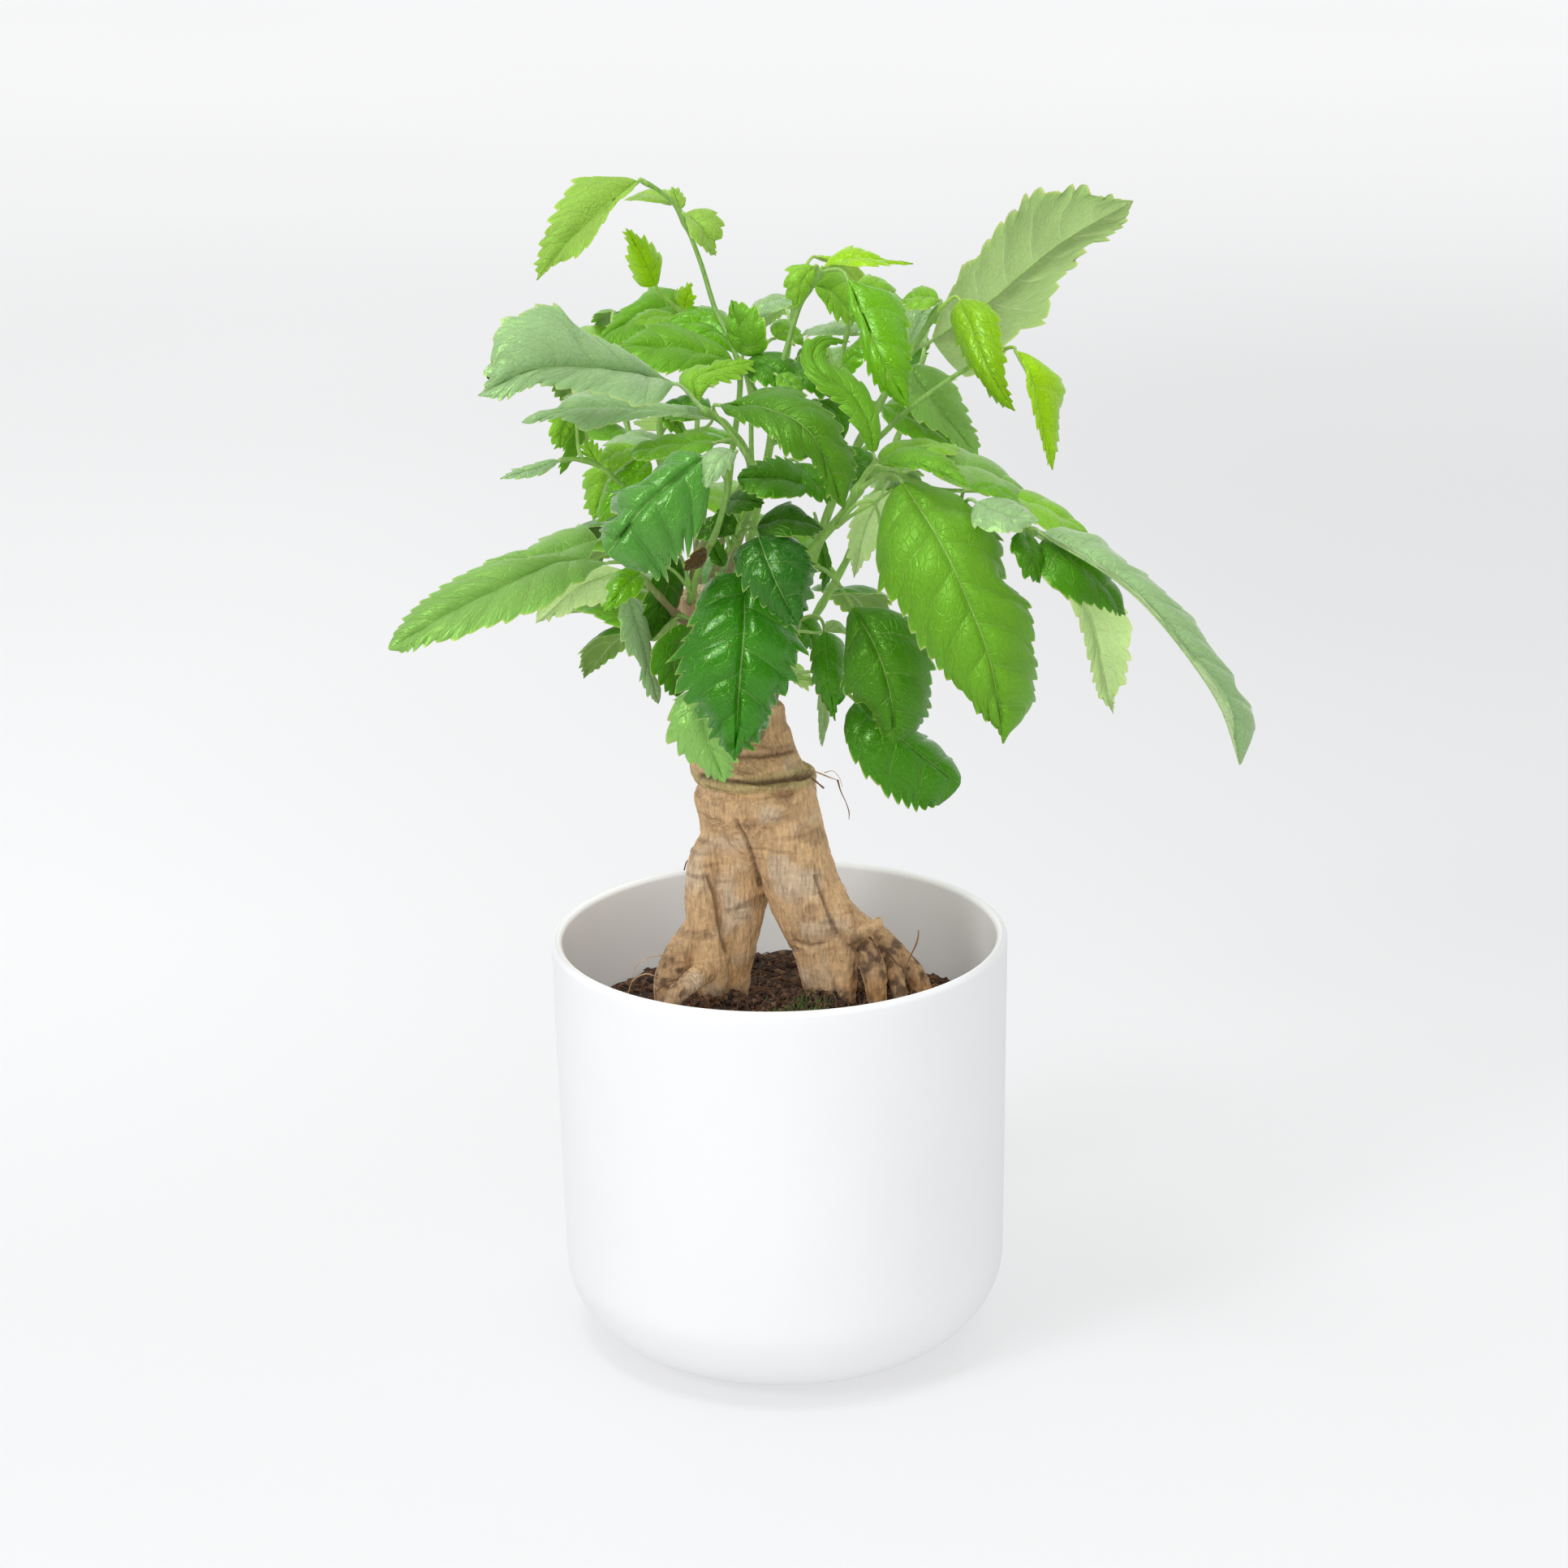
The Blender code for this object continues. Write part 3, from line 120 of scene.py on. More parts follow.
# Soil heaped against the roots: a place, and its spread and height in millimetres.
SOIL_MOUNDS = (
    ((1012, 1215, 16), 15, 13), ((1092, 1195, 9), 15, 15), ((1140, 1192, 2), 12, 11),
    ((950, 1212, 8), 13, 8), ((885, 1215, 12), 14, 11), ((838, 1215, 16), 12, 9.5),
    ((800, 1212, 12), 9, 6),
)
# Patches of moss: a place and its spread in millimetres.
MOSS_PATCHES = (((980, 1212, 16), 6.5), ((965, 1222, 24), 5), ((1000, 1204, 22), 4))

# The trunk: how fine it is remeshed, and how high its bark stands in millimetres. Waves is how many
# waves of each unevenness fit a millimetre, in one number or for the three directions.
TRUNK_VOXEL = 0.62
TRUNK_SMOOTHING = 11
LIMB_SIDES = 24
BARK_RIDGE = 0.34
RIDGE_WAVES = (0.62, 0.62, 0.11)
BARK_LUMP = 0.55
LUMP_WAVES = 0.13
BARK_GRAIN = 0.09
GRAIN_WAVES = 1.1
BARK_WRINKLE = 0.3
WRINKLE_WAVES = (0.07, 0.07, 0.42)
WRINKLED = (0.28, 0.55)
# Between which cosines of its slope bark counts as facing the photograph's place.
FACING = (0.05, 0.4)

# How many points a curve gets for each run between two given places.
LIMB_STEPS = 4
SPINE_STEPS = 8
STEM_STEPS = 10
STALK_START_STEPS = 4
THREAD_STEPS = 6

# Leaf blades. Shares run from the foot of a blade to its tip, and columns from the midrib to the
# margin. A pair of shares is where something begins and where it is complete.
BLADE_SAMPLES = 60
BLADE_MARKS = np.linspace(0, 1, BLADE_SAMPLES + 1)
BLADE_FOOT = 0.012
BLADE_TIP = 0.994
BLADE_THICKNESS = 0.42
TIP_HALF_WIDTH = 0.16
TIP_PINCH = 0.5
TIP_PINCHED = (0.7, 0.97)
FOOT_EASE = 0.12
TIP_EASE = 0.14
SIDES_TURN = (0.05, 0.5)
LEAST_REACH = 0.02
WIDEST_REACH = 1.7
EDGE_ON = 3
WIDE_LEAF = 60
NARROW_LEAF = 24
FINE_COLUMNS = (0, 0.03, 0.08, 0.15, 0.24, 0.34, 0.45, 0.56, 0.67, 0.78, 0.87, 0.94, 1)
PLAIN_COLUMNS = (0, 0.06, 0.18, 0.36, 0.56, 0.76, 0.9, 1)
# The teeth of the margins.
LEAST_TEETH = 5
TOOTH_STEP = 2.7
TOOTH_STEP_GROWTH = 0.028
TOOTH_ROWS = (0, 0.42, 0.74, 0.93, 1)
TOOTH_SIZE = 0.7
TOOTH_SIZE_GROWTH = 0.022
TOOTH_VARIES = (0.4, 1.7)
TEETH_GROW = (0.1, 0.22)
TEETH_FADE = (0.9, 0.985)
TOOTH_LEAN = 0.7
TOOTHED_FROM = 0.78
# The veins, the pillows between them, the quilting and the waves of the margins.
VEIN_ADVANCE = 0.19
VEIN_BEND = 1.25
VEIN_STEP = 12.5
VEIN_COUNTS = (3, 8)
VEIN_OFFSET = (0.2, 0.45)
CROWN = 0.13
MIDRIB_SINK = 1.2
MIDRIB_WIDTH = 1.5
PILLOW_FULLNESS = 0.75
PILLOWS_RISE = (0.02, 0.16)
PILLOWS_SINK = (0.72, 1)
PILLOWS_LOST = 0.7
QUILT_ROWS = 3
QUILT_WIDTH = 5.2
QUILT_FULLNESS = 0.6
WAVE_TURNS = (2.6, 5.3)
WAVE_SHARE = 0.6
ROLL_TURNS = 1.3
ROLL_SLANT = 2.2
ROLL_SHARE = 0.5

# Leaf stalks and stems.
STALK_RADIUS = 0.52
STALK_SWELL = 0.008
STALK_ALONG_STEM = 0.4
STALK_LEAD = 0.4
STALK_FOLLOW = 0.35
STALK_SAMPLES = 12
STALK_SIDES = 8
STALK_FOOT_SWELL = 0.5
STALK_FOOT_LENGTH = 2.5
STALK_TAPER = 0.2
LOOSE_STALK_RADII = (0.75, 0.4)
MIDRIB_SAMPLES = 24
MIDRIB_SLENDER = 0.62
MIDRIB_TAPER = 0.9
MIDRIB_BELOW = 0.75
MIDRIB_TIP_RADIUS = 0.12
CLEAR_OF_SOCKET = 7
STEM_SLENDER = 0.72
STEM_SIDES = 14
STEM_NODE_SWELL = 0.3
STEM_NODE_LENGTH = 2.2
WOODY_LENGTH = 42
WOOD_FADES = (0.25, 1)
END_SHARE = 0.06

# A leaf blade: spine is its midrib from the foot to the tip, and left and right are places on its
# two edges where it is widest, seen with its upper side up and its tip ahead. crest is where
# along the blade it is widest and blunt how round its tip is. back is how far down the stem from
# the nearest point its stalk starts.
Leaf = namedtuple("Leaf", "spine left right crest blunt back", defaults=(0.4, 0.9, 10))
# A branch: its stems as lists of places, the radius at the foot and at the tip of each, its leaves.
Branch = namedtuple("Branch", "stems radii leaves")

# How a leaf looks: the colours of its two sides, how glossy it is, how far the pillows between its
# veins and the small quilting on them rise, how far its margins wave, in millimetres, and how long
# its teeth are beside the usual ones. A letter stands for each look.
Look = namedtuple("Look", "upper under gloss pillow quilt wave teeth", defaults=(1,))
LOOKS = {
    # Dark ones in the middle of the crown: glossy, polished, quilted, dark, deep and the core's. The core's
    # own dark green is darkened further by painted shade.
    "G": Look((0.022, 0.185, 0.001), (0.20, 0.36, 0.07), 0.95, 2.4, 0.25, 0.8, 2.0),
    "H": Look((0.040, 0.200, 0.001), (0.18, 0.32, 0.06), 0.85, 1.6, 0.2, 0.7),
    "Q": Look((0.010, 0.110, 0.004), (0.14, 0.28, 0.07), 0.9, 1.4, 0.8, 0.6, 1.4),
    "D": Look((0.044, 0.180, 0.002), (0.17, 0.31, 0.06), 0.65, 1.6, 0.2, 0.8),
    "I": Look((0.058, 0.185, 0.003), (0.24, 0.40, 0.10), 0.55, 1.6, 0.2, 0.9),
    "K": Look((0.022, 0.105, 0.001), (0.08, 0.18, 0.02), 0.55, 1.1, 0.2, 0.7),
    # Green ones: glazed, netted, middle, light, bright and fresh.
    "Z": Look((0.070, 0.260, 0.030), (0.24, 0.40, 0.12), 1, 2.8, 0.4, 1.5, 3.0),
    "N": Look((0.250, 0.480, 0.120), (0.24, 0.40, 0.12), 0.8, 1.2, 0.6, 0.7, 1.4),
    "M": Look((0.122, 0.320, 0.012), (0.30, 0.46, 0.14), 0.5, 1.7, 0.2, 0.9),
    "L": Look((0.210, 0.445, 0.028), (0.38, 0.56, 0.17), 0.55, 1.5, 0.15, 0.9, 1.3),
    "B": Look((0.128, 0.370, 0.001), (0.30, 0.52, 0.10), 0.9, 1.7, 0.3, 0.9),
    "F": Look((0.215, 0.425, 0.001), (0.40, 0.60, 0.08), 0.85, 1.3, 0.5, 0.7),
    # Young ones, the arching ones, cool, pale, sheer and silvery ones, and the dry leaf. The cool ones'
    # bluish grey is partly a painted sheen, and the silvery ones' grey-green is a painted sheen.
    "Y": Look((0.305, 0.560, 0.001), (0.44, 0.64, 0.10), 0.8, 1.2, 0.3, 0.7),
    "A": Look((0.260, 0.430, 0.060), (0.34, 0.53, 0.12), 0.4, 0.7, 0.05, 0.8),
    "C": Look((0.210, 0.400, 0.085), (0.35, 0.52, 0.20), 0.6, 1.3, 0.1, 0.9),
    "P": Look((0.260, 0.390, 0.140), (0.31, 0.43, 0.165), 0.35, 1.2, 0.12, 1.0),
    "E": Look((0.300, 0.520, 0.110), (0.56, 0.74, 0.32), 0.35, 1.0, 0.12, 1.0),
    "S": Look((0.285, 0.435, 0.205), (0.46, 0.60, 0.32), 0.8, 1.4, 0.1, 1.1),
    "W": Look((0.085, 0.022, 0.014), (0.150, 0.050, 0.020), 0.5, 0.4, 0.9, 1.6),
}
# The look of each leaf of a branch, in the order of its list of leaves.
LEAF_LOOKS = {
    "branch_right": "MMLMEDDCMSLDDES",
    "branch_upper_right": "LSPFYCMHDHDPDPL",
    "branch_top": "LYBLLSMSLMBDDDM",
    "branch_arching": "AAAABM",
    "branch_young": "YYML",
    "branch_left": "SLSLMDLMSMLLBSL",
    "branch_lower_left": "CCESKDMZBS",
    "branch_front": "GNQIDDKKKKKW",
    "branch_back_left": "MDCMSDLM",
    "branch_back_right": "DMLSMCDM",
    "branch_back_low": "MDSMDC",
    "branch_back_top": "LBCLY",
}
YOUNG_BRANCHES = ("branch_top", "branch_arching", "branch_young")
STALK_GREEN = (0.235, 0.430, 0.075)
STEM_GREEN = (0.200, 0.380, 0.065)
STEM_BROWN = (0.200, 0.165, 0.075)
# The veins of a leaf's two sides, their margins and the specks on them.
VEIN_COLOURS = {"upper": (0.36, 0.50, 0.16), "under": (0.50, 0.62, 0.30)}
MARGIN_COLOUR = (0.48, 0.58, 0.13)
SPECK_COLOUR = (0.25, 0.17, 0.05)
SCENE_SEED = 11
SOIL_SEED = 23

BARK_TAN = (0.620, 0.400, 0.205)
BARK_GREY = (0.600, 0.470, 0.330)
BARK_BROWN = (0.400, 0.245, 0.120)
BARK_GREEN = (0.360, 0.320, 0.120)
BARK_ORANGE = (0.600, 0.300, 0.090)
# Painted shade for the bark's creases, furrows and wrinkles.
BARK_PAINTED_SHADE = (0.100, 0.052, 0.024)
BARK_SCAR = (0.330, 0.190, 0.105)
CUT_WOOD = (0.640, 0.520, 0.330)
ROOTLET_BROWN = (0.210, 0.105, 0.055)
ROOT_HAIR = (0.520, 0.330, 0.190)
MOSS_GREEN = (0.075, 0.130, 0.020)
SOIL_BROWN = (0.075, 0.038, 0.021)
SOIL_DARK = (0.022, 0.012, 0.008)
CRUMB_COLOURS = ((0.09, 0.04, 0.02), (0.035, 0.018, 0.01), (0.20, 0.11, 0.055), (0.11, 0.045, 0.022))
FIBRE_COLOUR = (0.20, 0.10, 0.05)
# The glaze outside and inside the pot; the inside's lighter colour is painted light on the inner wall.
GLAZE_OUTSIDE = (0.835, 0.835, 0.845)
GLAZE_INSIDE_PAINTED_LIGHTER = (0.97, 0.97, 0.975)

# Where the colours of the trunk change: the brown neck, the green band between the collar folds and
# the cut wood, by height in millimetres, the orange patches and the soil's stains, by height above
# the soil, and the dark roots on both sides, by where they begin across and down the photograph.
NECK_FROM = 198
BAND = (192, 198)
CUT_FROM = 252
ORANGE_WITHIN = (8, 24)
SOILED_TO = 6
DARK_ROOTS = (((1036, 1056), (1132, 1168)), ((856, 836), (1150, 1185)))

# The studio: a sky that is brightest behind the plant, two windows, two soft fills that cast no
# shadow and show in no reflection, and a panel that shows only as a shine on leaves. A lamp is its
# place, power, width and colour, and its part in the light.
SKY_COLOUR = (0.985, 0.99, 1.0)
SKY_STRENGTH = 0.7
SKY_LEANING = (-0.1, 0.75, 0.05)
LAMPS = {
    "left window": ((-1.35, -1.1, 1.25), 9, 0.5, (0.99, 0.995, 1.0), "all"),
    "top window": ((-0.4, -0.5, 2.3), 12, 0.6, (0.97, 0.985, 1.0), "all"),
    "front fill": ((0.2, -1.9, 0.75), 15, 1.6, (1.0, 1.0, 1.0), "soft"),
    "overhead fill": ((0.3, -0.5, 2.1), 8, 1.6, (1.0, 1.0, 1.0), "soft"),
    "left panel": ((-0.95, -1.25, 1.5), 26, 1.1, (0.93, 0.97, 1.0), "shine"),
}
# The floor: half its side, in metres, its two tints, and the glow in front of the plant, far behind
# it and, a little way behind it, to its left and right. The places where one glow gives way to
# another are in metres behind the axis or across.
FLOOR_SIDE = 40
FLOOR_GAP = 0.15
FLOOR_TINTS = ((0.345, 0.345, 0.347), (0.355, 0.355, 0.357))
GLOW_NEAR, GLOW_FAR = (0.472, 0.474, 0.477), (0.65, 0.652, 0.655)
GLOW_LEFT, GLOW_RIGHT = (0.545, 0.547, 0.55), (0.425, 0.427, 0.43)
GLOW_GROWS = (0.2, 4)
GLOW_SIDES = (-0.4, 0.4)
GLOW_SIDES_FROM = (0, 0.45)
GLOW_SIDES_TO = (0.9, 2.5)

# Creases of the trunk: their run in the photograph, their depth in millimetres and half their
# width in pixels.
TRUNK_CREASES = {
    "upper collar fold": (((864, 926), (900, 931), (935, 932), (968, 928), (996, 920)), 1.1, 3.6),
    "lower collar fold": (((862, 957), (900, 963), (935, 964), (970, 961), (1004, 953)), 1.4, 4),
    "crotch": (((908, 1012), (917, 1030), (926, 1052), (937, 1092)), 1.1, 3.2),
    "left groove": (((872, 1080), (880, 1100), (885, 1130), (890, 1155), (896, 1172)), 1, 3.2),
    "right side groove": (((1005, 1080), (1014, 1106), (1030, 1150)), 1, 3),
    "right crack": (((978, 1160), (998, 1166), (1015, 1163)), 0.7, 3),
}
# Round scars on the trunk: the place in the photograph, the radius in pixels and the height of
# the ring in millimetres.
TRUNK_SCARS = (((965, 980), 15, 0.5), ((925, 1015), 12, 0.4), ((1000, 1120), 9, 0.35), ((884, 1012), 9, 0.3))

# Limbs of the trunk: each point is a place and a radius in millimetres.
TRUNK_LIMBS = {
    "body": (
        (938, 1084, 0, 4), (936, 1058, 1, 8.5), (934, 1030, 1, 13.0), (932, 1000, 0, 17.6),
        (930, 973, 0, 19.8), (929, 960, 0, 16.6), (928, 947, 0, 20.4), (932, 935, 0, 17.2),
        (937, 920, 0, 13.2), (941, 904, 0, 9.6), (944, 885, 1, 6.6), (948, 866, 2, 4.6),
    ),
    "stump": (
        (915, 950, -2, 14), (903, 915, -3, 12), (892, 870, -4, 10.6), (882, 820, -5, 10.0),
        (873, 765, -6, 9.7), (868, 729, -6, 9.5),
    ),
    "right leg": (
        (952, 985, 2, 13.6), (966, 1020, 3, 12.8), (975, 1050, 4, 12.3), (987, 1088, 5, 12.2),
        (1000, 1125, 7, 11.4), (1012, 1160, 8, 10.0), (1018, 1200, 9, 8.4), (1024, 1245, 9, 6.5),
        (1028, 1290, 8, 3.5),
    ),
    "right rib": (
        (1004, 1062, 4, 4.6), (1022, 1102, 8, 5.2), (1036, 1135, 12, 5.0), (1040, 1165, 14, 4.2),
        (1042, 1215, 15, 3.4), (1044, 1270, 15, 2.2),
    ),
    "right root": (
        (1028, 1118, 0, 5.2), (1056, 1142, 0, 4.7), (1083, 1158, 2, 4.3), (1108, 1180, 4, 4.0),
        (1130, 1208, 6, 3.8), (1142, 1250, 6, 2.4),
    ),
    "right prop root": (
        (1050, 1134, 6, 4.4), (1066, 1170, 14, 4.0), (1078, 1205, 18, 3.8), (1082, 1255, 18, 2.4),
    ),
    "right side root": (
        (1036, 1160, 13, 2.6), (1060, 1150, 20, 2.2), (1086, 1136, 18, 1.8),
    ),
    "right thin root": (
        (1086, 1160, 4, 3.0), (1100, 1192, 12, 2.6), (1108, 1225, 16, 2.4), (1110, 1262, 16, 1.6),
    ),
    "left leg": (
        (901, 985, 0, 11.4), (903, 1020, 0, 10.4), (904, 1052, 0, 9.8), (905, 1088, 1, 9.4),
        (907, 1115, 1, 9.0), (907, 1145, 2, 7.6), (906, 1180, 2, 6.0), (908, 1240, 2, 3.0),
    ),
    "left front root": (
        (882, 1030, 3, 4.6), (869, 1062, 6, 5.2), (865, 1098, 7, 5.6), (869, 1138, 8, 5.8),
        (875, 1175, 9, 6.4), (879, 1210, 9, 6.0), (882, 1255, 9, 3.0),
    ),
    "left outer root": (
        (868, 1135, 6, 4.4), (847, 1162, 8, 5.2), (834, 1185, 10, 5.2), (824, 1215, 12, 4.8),
        (818, 1250, 12, 2.6),
    ),
    "left surface root": (
        (873, 1192, 12, 3.8), (852, 1210, 24, 3.3), (826, 1232, 31, 2.8), (806, 1266, 32, 1.6),
    ),
    "back leg": (
        (925, 985, -4, 12), (930, 1030, -16, 9.5), (925, 1080, -26, 7.5), (915, 1135, -33, 6.4),
        (908, 1190, -36, 4.0),
    ),
}

# The leafy branches that the photograph shows. LEAF_LOOKS has the looks of their leaves in the same
# order.
BRANCHES = {
    "branch_right": Branch(
        stems=(
            ((934, 906, 9), (939, 878, 14), (947, 838, 18), (962, 770, 21), (974, 715, 24),
             (992, 686, 26), (1012, 663, 28), (1040, 631, 30), (1062, 596, 32), (1078, 573, 33)),
            ((1076, 577, 33), (1102, 584, 30), (1140, 600, 28), (1192, 628, 34), (1220, 639, 40),
             (1252, 651, 43), (1278, 656, 45)),
        ),
        radii=((2.7, 1.8), (1.6, 1.1)),
        leaves=(
            Leaf(((1110, 591, 45), (1156, 662, 62), (1192, 738, 70), (1222, 820, 74),
                 (1236, 918, 72)), (1251, 722, 54), (1112, 762, 62), crest=0.38, blunt=0.65),
            Leaf(((1084, 573, 40), (1138, 574, 52), (1195, 599, 58)), (1135, 553, 39),
                 (1133, 596, 63)),
            Leaf(((1082, 568, 22), (1135, 553, 18), (1192, 556, 12)), (1135, 542, 5),
                 (1133, 566, 30), back=6),
            Leaf(((1077, 560, 34), (1068, 518, 31), (1047, 484, 28), (1015, 462, 26),
                 (1001, 440, 22), (1014, 420, 18), (1048, 421, 14)), (1037, 498, 30),
                 (1062, 474, 24), back=3),
            Leaf(((1088, 604, 6), (1066, 648, 0), (1052, 712, -6)), (1043, 664, -2),
                 (1088, 658, -8), back=22),
            Leaf(((1072, 578, 24), (1060, 592, 22), (1049, 612, 20)), (1067, 600, 26),
                 (1051, 585, 18), back=3),
            Leaf(((1076, 576, 20), (1062, 566, 16), (1046, 549, 12)), (1054, 580, 20),
                 (1069, 557, 8), back=3),
            Leaf(((1140, 574, 28), (1185, 574, 24), (1230, 590, 20), (1273, 620, 18)),
                 (1204, 562, 8), (1190, 602, 38), blunt=0.7, back=14),
            Leaf(((1196, 603, 44), (1228, 603, 42), (1264, 630, 46)), (1236, 601, 36),
                 (1224, 612, 48), back=12),
            Leaf(((1204, 618, 50), (1240, 634, 57), (1281, 642, 60)), (1245, 619, 44),
                 (1237, 662, 66), back=12),
            Leaf(((1232, 610, 26), (1285, 628, 28), (1347, 664, 30)), (1292, 620, 16),
                 (1280, 646, 40), back=18),
            Leaf(((1262, 654, 50), (1272, 684, 57), (1281, 719, 58)), (1282, 680, 50),
                 (1251, 687, 60), back=5),
            Leaf(((1290, 660, 44), (1318, 688, 52), (1352, 714, 52), (1387, 759, 48)),
                 (1350, 693, 42), (1304, 727, 60), blunt=0.7, back=2),
            Leaf(((1322, 712, 38), (1347, 770, 36), (1360, 830, 34), (1372, 880, 32)),
                 (1335, 795, 30), (1392, 786, 32), crest=0.45, blunt=0.7, back=2),
            Leaf(((1281, 655, 48), (1345, 690, 58), (1405, 735, 66), (1462, 802, 72),
                 (1508, 874, 76), (1528, 944, 78)), (1464, 760, 58), (1449, 772, 82), crest=0.5,
                 blunt=0.5, back=1),
        ),
    ),
    "branch_upper_right": Branch(
        stems=(
            ((950, 868, 2), (957, 840, 2), (970, 802, 2), (983, 756, 2), (1004, 682, 2),
             (1024, 622, 0), (1050, 562, -2), (1092, 483, -4), (1124, 431, -5), (1160, 374, -4)),
            ((1048, 567, -2), (1082, 540, 2), (1120, 504, 6), (1172, 466, 4), (1200, 450, 2),
             (1236, 430, 2)),
        ),
        radii=((2.6, 1.3), (1.4, 1.0)),
        leaves=(
            Leaf(((1157, 369, -6), (1136, 366, -6), (1110, 370, -8)), (1138, 380, 0),
                 (1136, 354, -12), back=2),
            Leaf(((1116, 440, -16), (1128, 404, -20), (1147, 368, -24)), (1108, 400, -24),
                 (1147, 400, -18), back=8),
            Leaf(((1146, 422, -14), (1219, 372, -24), (1300, 305, -38), (1397, 247, -50)),
                 (1278, 395, -22), (1207, 295, -36), crest=0.5, blunt=0.7, back=6),
            Leaf(((1182, 369, 2), (1196, 402, 10), (1218, 455, 18), (1251, 507, 20)),
                 (1233, 412, 12), (1186, 432, 8), back=2),
            Leaf(((1252, 431, 6), (1269, 462, 12), (1282, 520, 16), (1297, 580, 16)),
                 (1309, 484, 4), (1266, 492, 20), back=1),
            Leaf(((1119, 450, -28), (1156, 502, -20), (1205, 562, -16)), (1181, 484, -26),
                 (1133, 521, -14), blunt=0.7, back=16),
            Leaf(((1088, 499, -24), (1130, 520, -20), (1178, 548, -22)), (1142, 511, -28),
                 (1119, 537, -14), back=14),
            Leaf(((1016, 777, 22), (1020, 828, 30), (1029, 889, 30)), (1042, 814, 22),
                 (1000, 822, 26), blunt=0.8, back=4),
            Leaf(((1050, 747, 30), (1080, 800, 42), (1098, 860, 44), (1100, 916, 40)),
                 (1140, 808, 36), (1041, 843, 38), crest=0.45, blunt=0.5, back=2),
            Leaf(((1054, 862, 18), (1090, 893, 26), (1135, 929, 26), (1184, 967, 22)),
                 (1117, 887, 14), (1062, 951, 30), crest=0.5, blunt=0.45),
            Leaf(((1004, 636, -8), (1012, 670, -6), (1019, 700, -6), (1013, 730, -8)),
                 (1020, 676, -2), (1005, 680, -6), back=6),
            Leaf(((1010, 838, 8), (1013, 878, 8), (1013, 920, 6)), (1021, 876, 4), (1008, 880, 12),
                 back=8),
            Leaf(((984, 764, -8), (996, 776, -8), (1002, 800, -8)), (1010, 772, -12),
                 (985, 792, -4), back=8),
            Leaf(((1018, 777, 10), (1031, 771, 8), (1046, 779, 6)), (1034, 764, 4), (1030, 780, 12),
                 back=6),
            Leaf(((968, 822, -10), (984, 831, -14), (1004, 843, -18)), (980, 841, -10),
                 (990, 821, -20), back=2),
        ),
    ),
    "branch_top": Branch(
        stems=(
            ((892, 734, -6), (900, 700, 0), (914, 655, 6), (932, 605, 8), (946, 560, 9),
             (957, 477, 9), (972, 420, 8), (985, 378, 7), (1000, 352, 6), (1012, 333, 4)),
            ((948, 548, 9), (985, 530, 2), (1012, 490, -4), (1034, 448, -8), (1046, 400, -10)),
            ((930, 612, 8), (926, 560, 0), (926, 500, -6), (929, 440, -9), (930, 400, -11)),
        ),
        radii=((2.0, 1.0), (1.2, 0.9), (1.2, 0.9)),
        leaves=(
            Leaf(((1004, 328, 8), (988, 346, 12), (981, 382, 12)), (1000, 353, 8), (973, 336, 10),
                 back=1),
            Leaf(((1014, 329, 3), (1055, 320, 6), (1126, 325, 4)), (1052, 306, 0), (1058, 328, 12),
                 back=1),
            Leaf(((1044, 342, 14), (1068, 400, 24), (1092, 452, 30), (1121, 503, 30)),
                 (1113, 408, 20), (1059, 435, 26), blunt=0.7, back=1),
            Leaf(((1003, 352, -6), (1026, 360, -10), (1056, 398, -12)), (1043, 343, -16),
                 (1014, 373, -6), back=4),
            Leaf(((1056, 353, -20), (1085, 357, -22), (1113, 376, -24)), (1091, 345, -28),
                 (1080, 367, -16), back=3),
            Leaf(((1058, 410, -18), (1024, 407, -24), (988, 412, -28)), (1022, 416, -8),
                 (1024, 399, -36), back=8),
            Leaf(((914, 438, 0), (911, 408, 2), (901, 369, 0)), (896, 402, -4), (944, 414, 8),
                 back=14),
            Leaf(((932, 394, -13), (945, 377, -15), (982, 364, -18)), (952, 363, -24),
                 (955, 385, -8), back=4),
            Leaf(((954, 416, -14), (970, 409, -16), (991, 425, -16)), (976, 398, -22),
                 (965, 422, -8), back=8),
            Leaf(((1012, 426, -10), (995, 432, -12), (979, 444, -14)), (999, 442, -6),
                 (993, 424, -18), back=8),
            Leaf(((1037, 451, -2), (1052, 438, 2), (1069, 423, 4)), (1046, 431, -4), (1067, 445, 8),
                 back=4),
            Leaf(((918, 446, 4), (950, 452, 10), (984, 478, 14)), (958, 436, 4), (938, 470, 16),
                 back=14),
            Leaf(((982, 446, 2), (1002, 462, 8), (1032, 490, 10)), (1015, 450, 0), (989, 477, 14),
                 back=12),
            Leaf(((1008, 494, 0), (1032, 512, 4), (1040, 541, 4)), (1053, 508, -4), (1015, 528, 8)),
            Leaf(((958, 462, 16), (972, 470, 18), (989, 483, 20)), (977, 462, 14), (967, 480, 22),
                 back=4),
        ),
    ),
    "branch_arching": Branch(
        stems=(
            ((880, 728, -14), (885, 700, -16), (893, 640, -17), (902, 560, -17), (912, 470, -15),
             (900, 420, -17), (881, 380, -22), (862, 320, -26), (838, 262, -28), (815, 237, -27),
             (791, 223, -25)),
        ),
        radii=((1.6, 0.9),),
        leaves=(
            Leaf(((787, 222, -24), (748, 254, -18), (706, 292, -12), (661, 346, -8)),
                 (737, 284, -6), (695, 242, -20), crest=0.42, blunt=0.75, back=1),
            Leaf(((826, 250, -34), (800, 243, -38), (770, 246, -42)), (800, 250, -28),
                 (798, 231, -46), back=3),
            Leaf(((838, 258, -30), (833, 244, -32), (828, 230, -34)), (822, 237, -32),
                 (841, 239, -34), back=2),
            Leaf(((843, 263, -26), (864, 281, -22), (882, 315, -20)), (886, 270, -26),
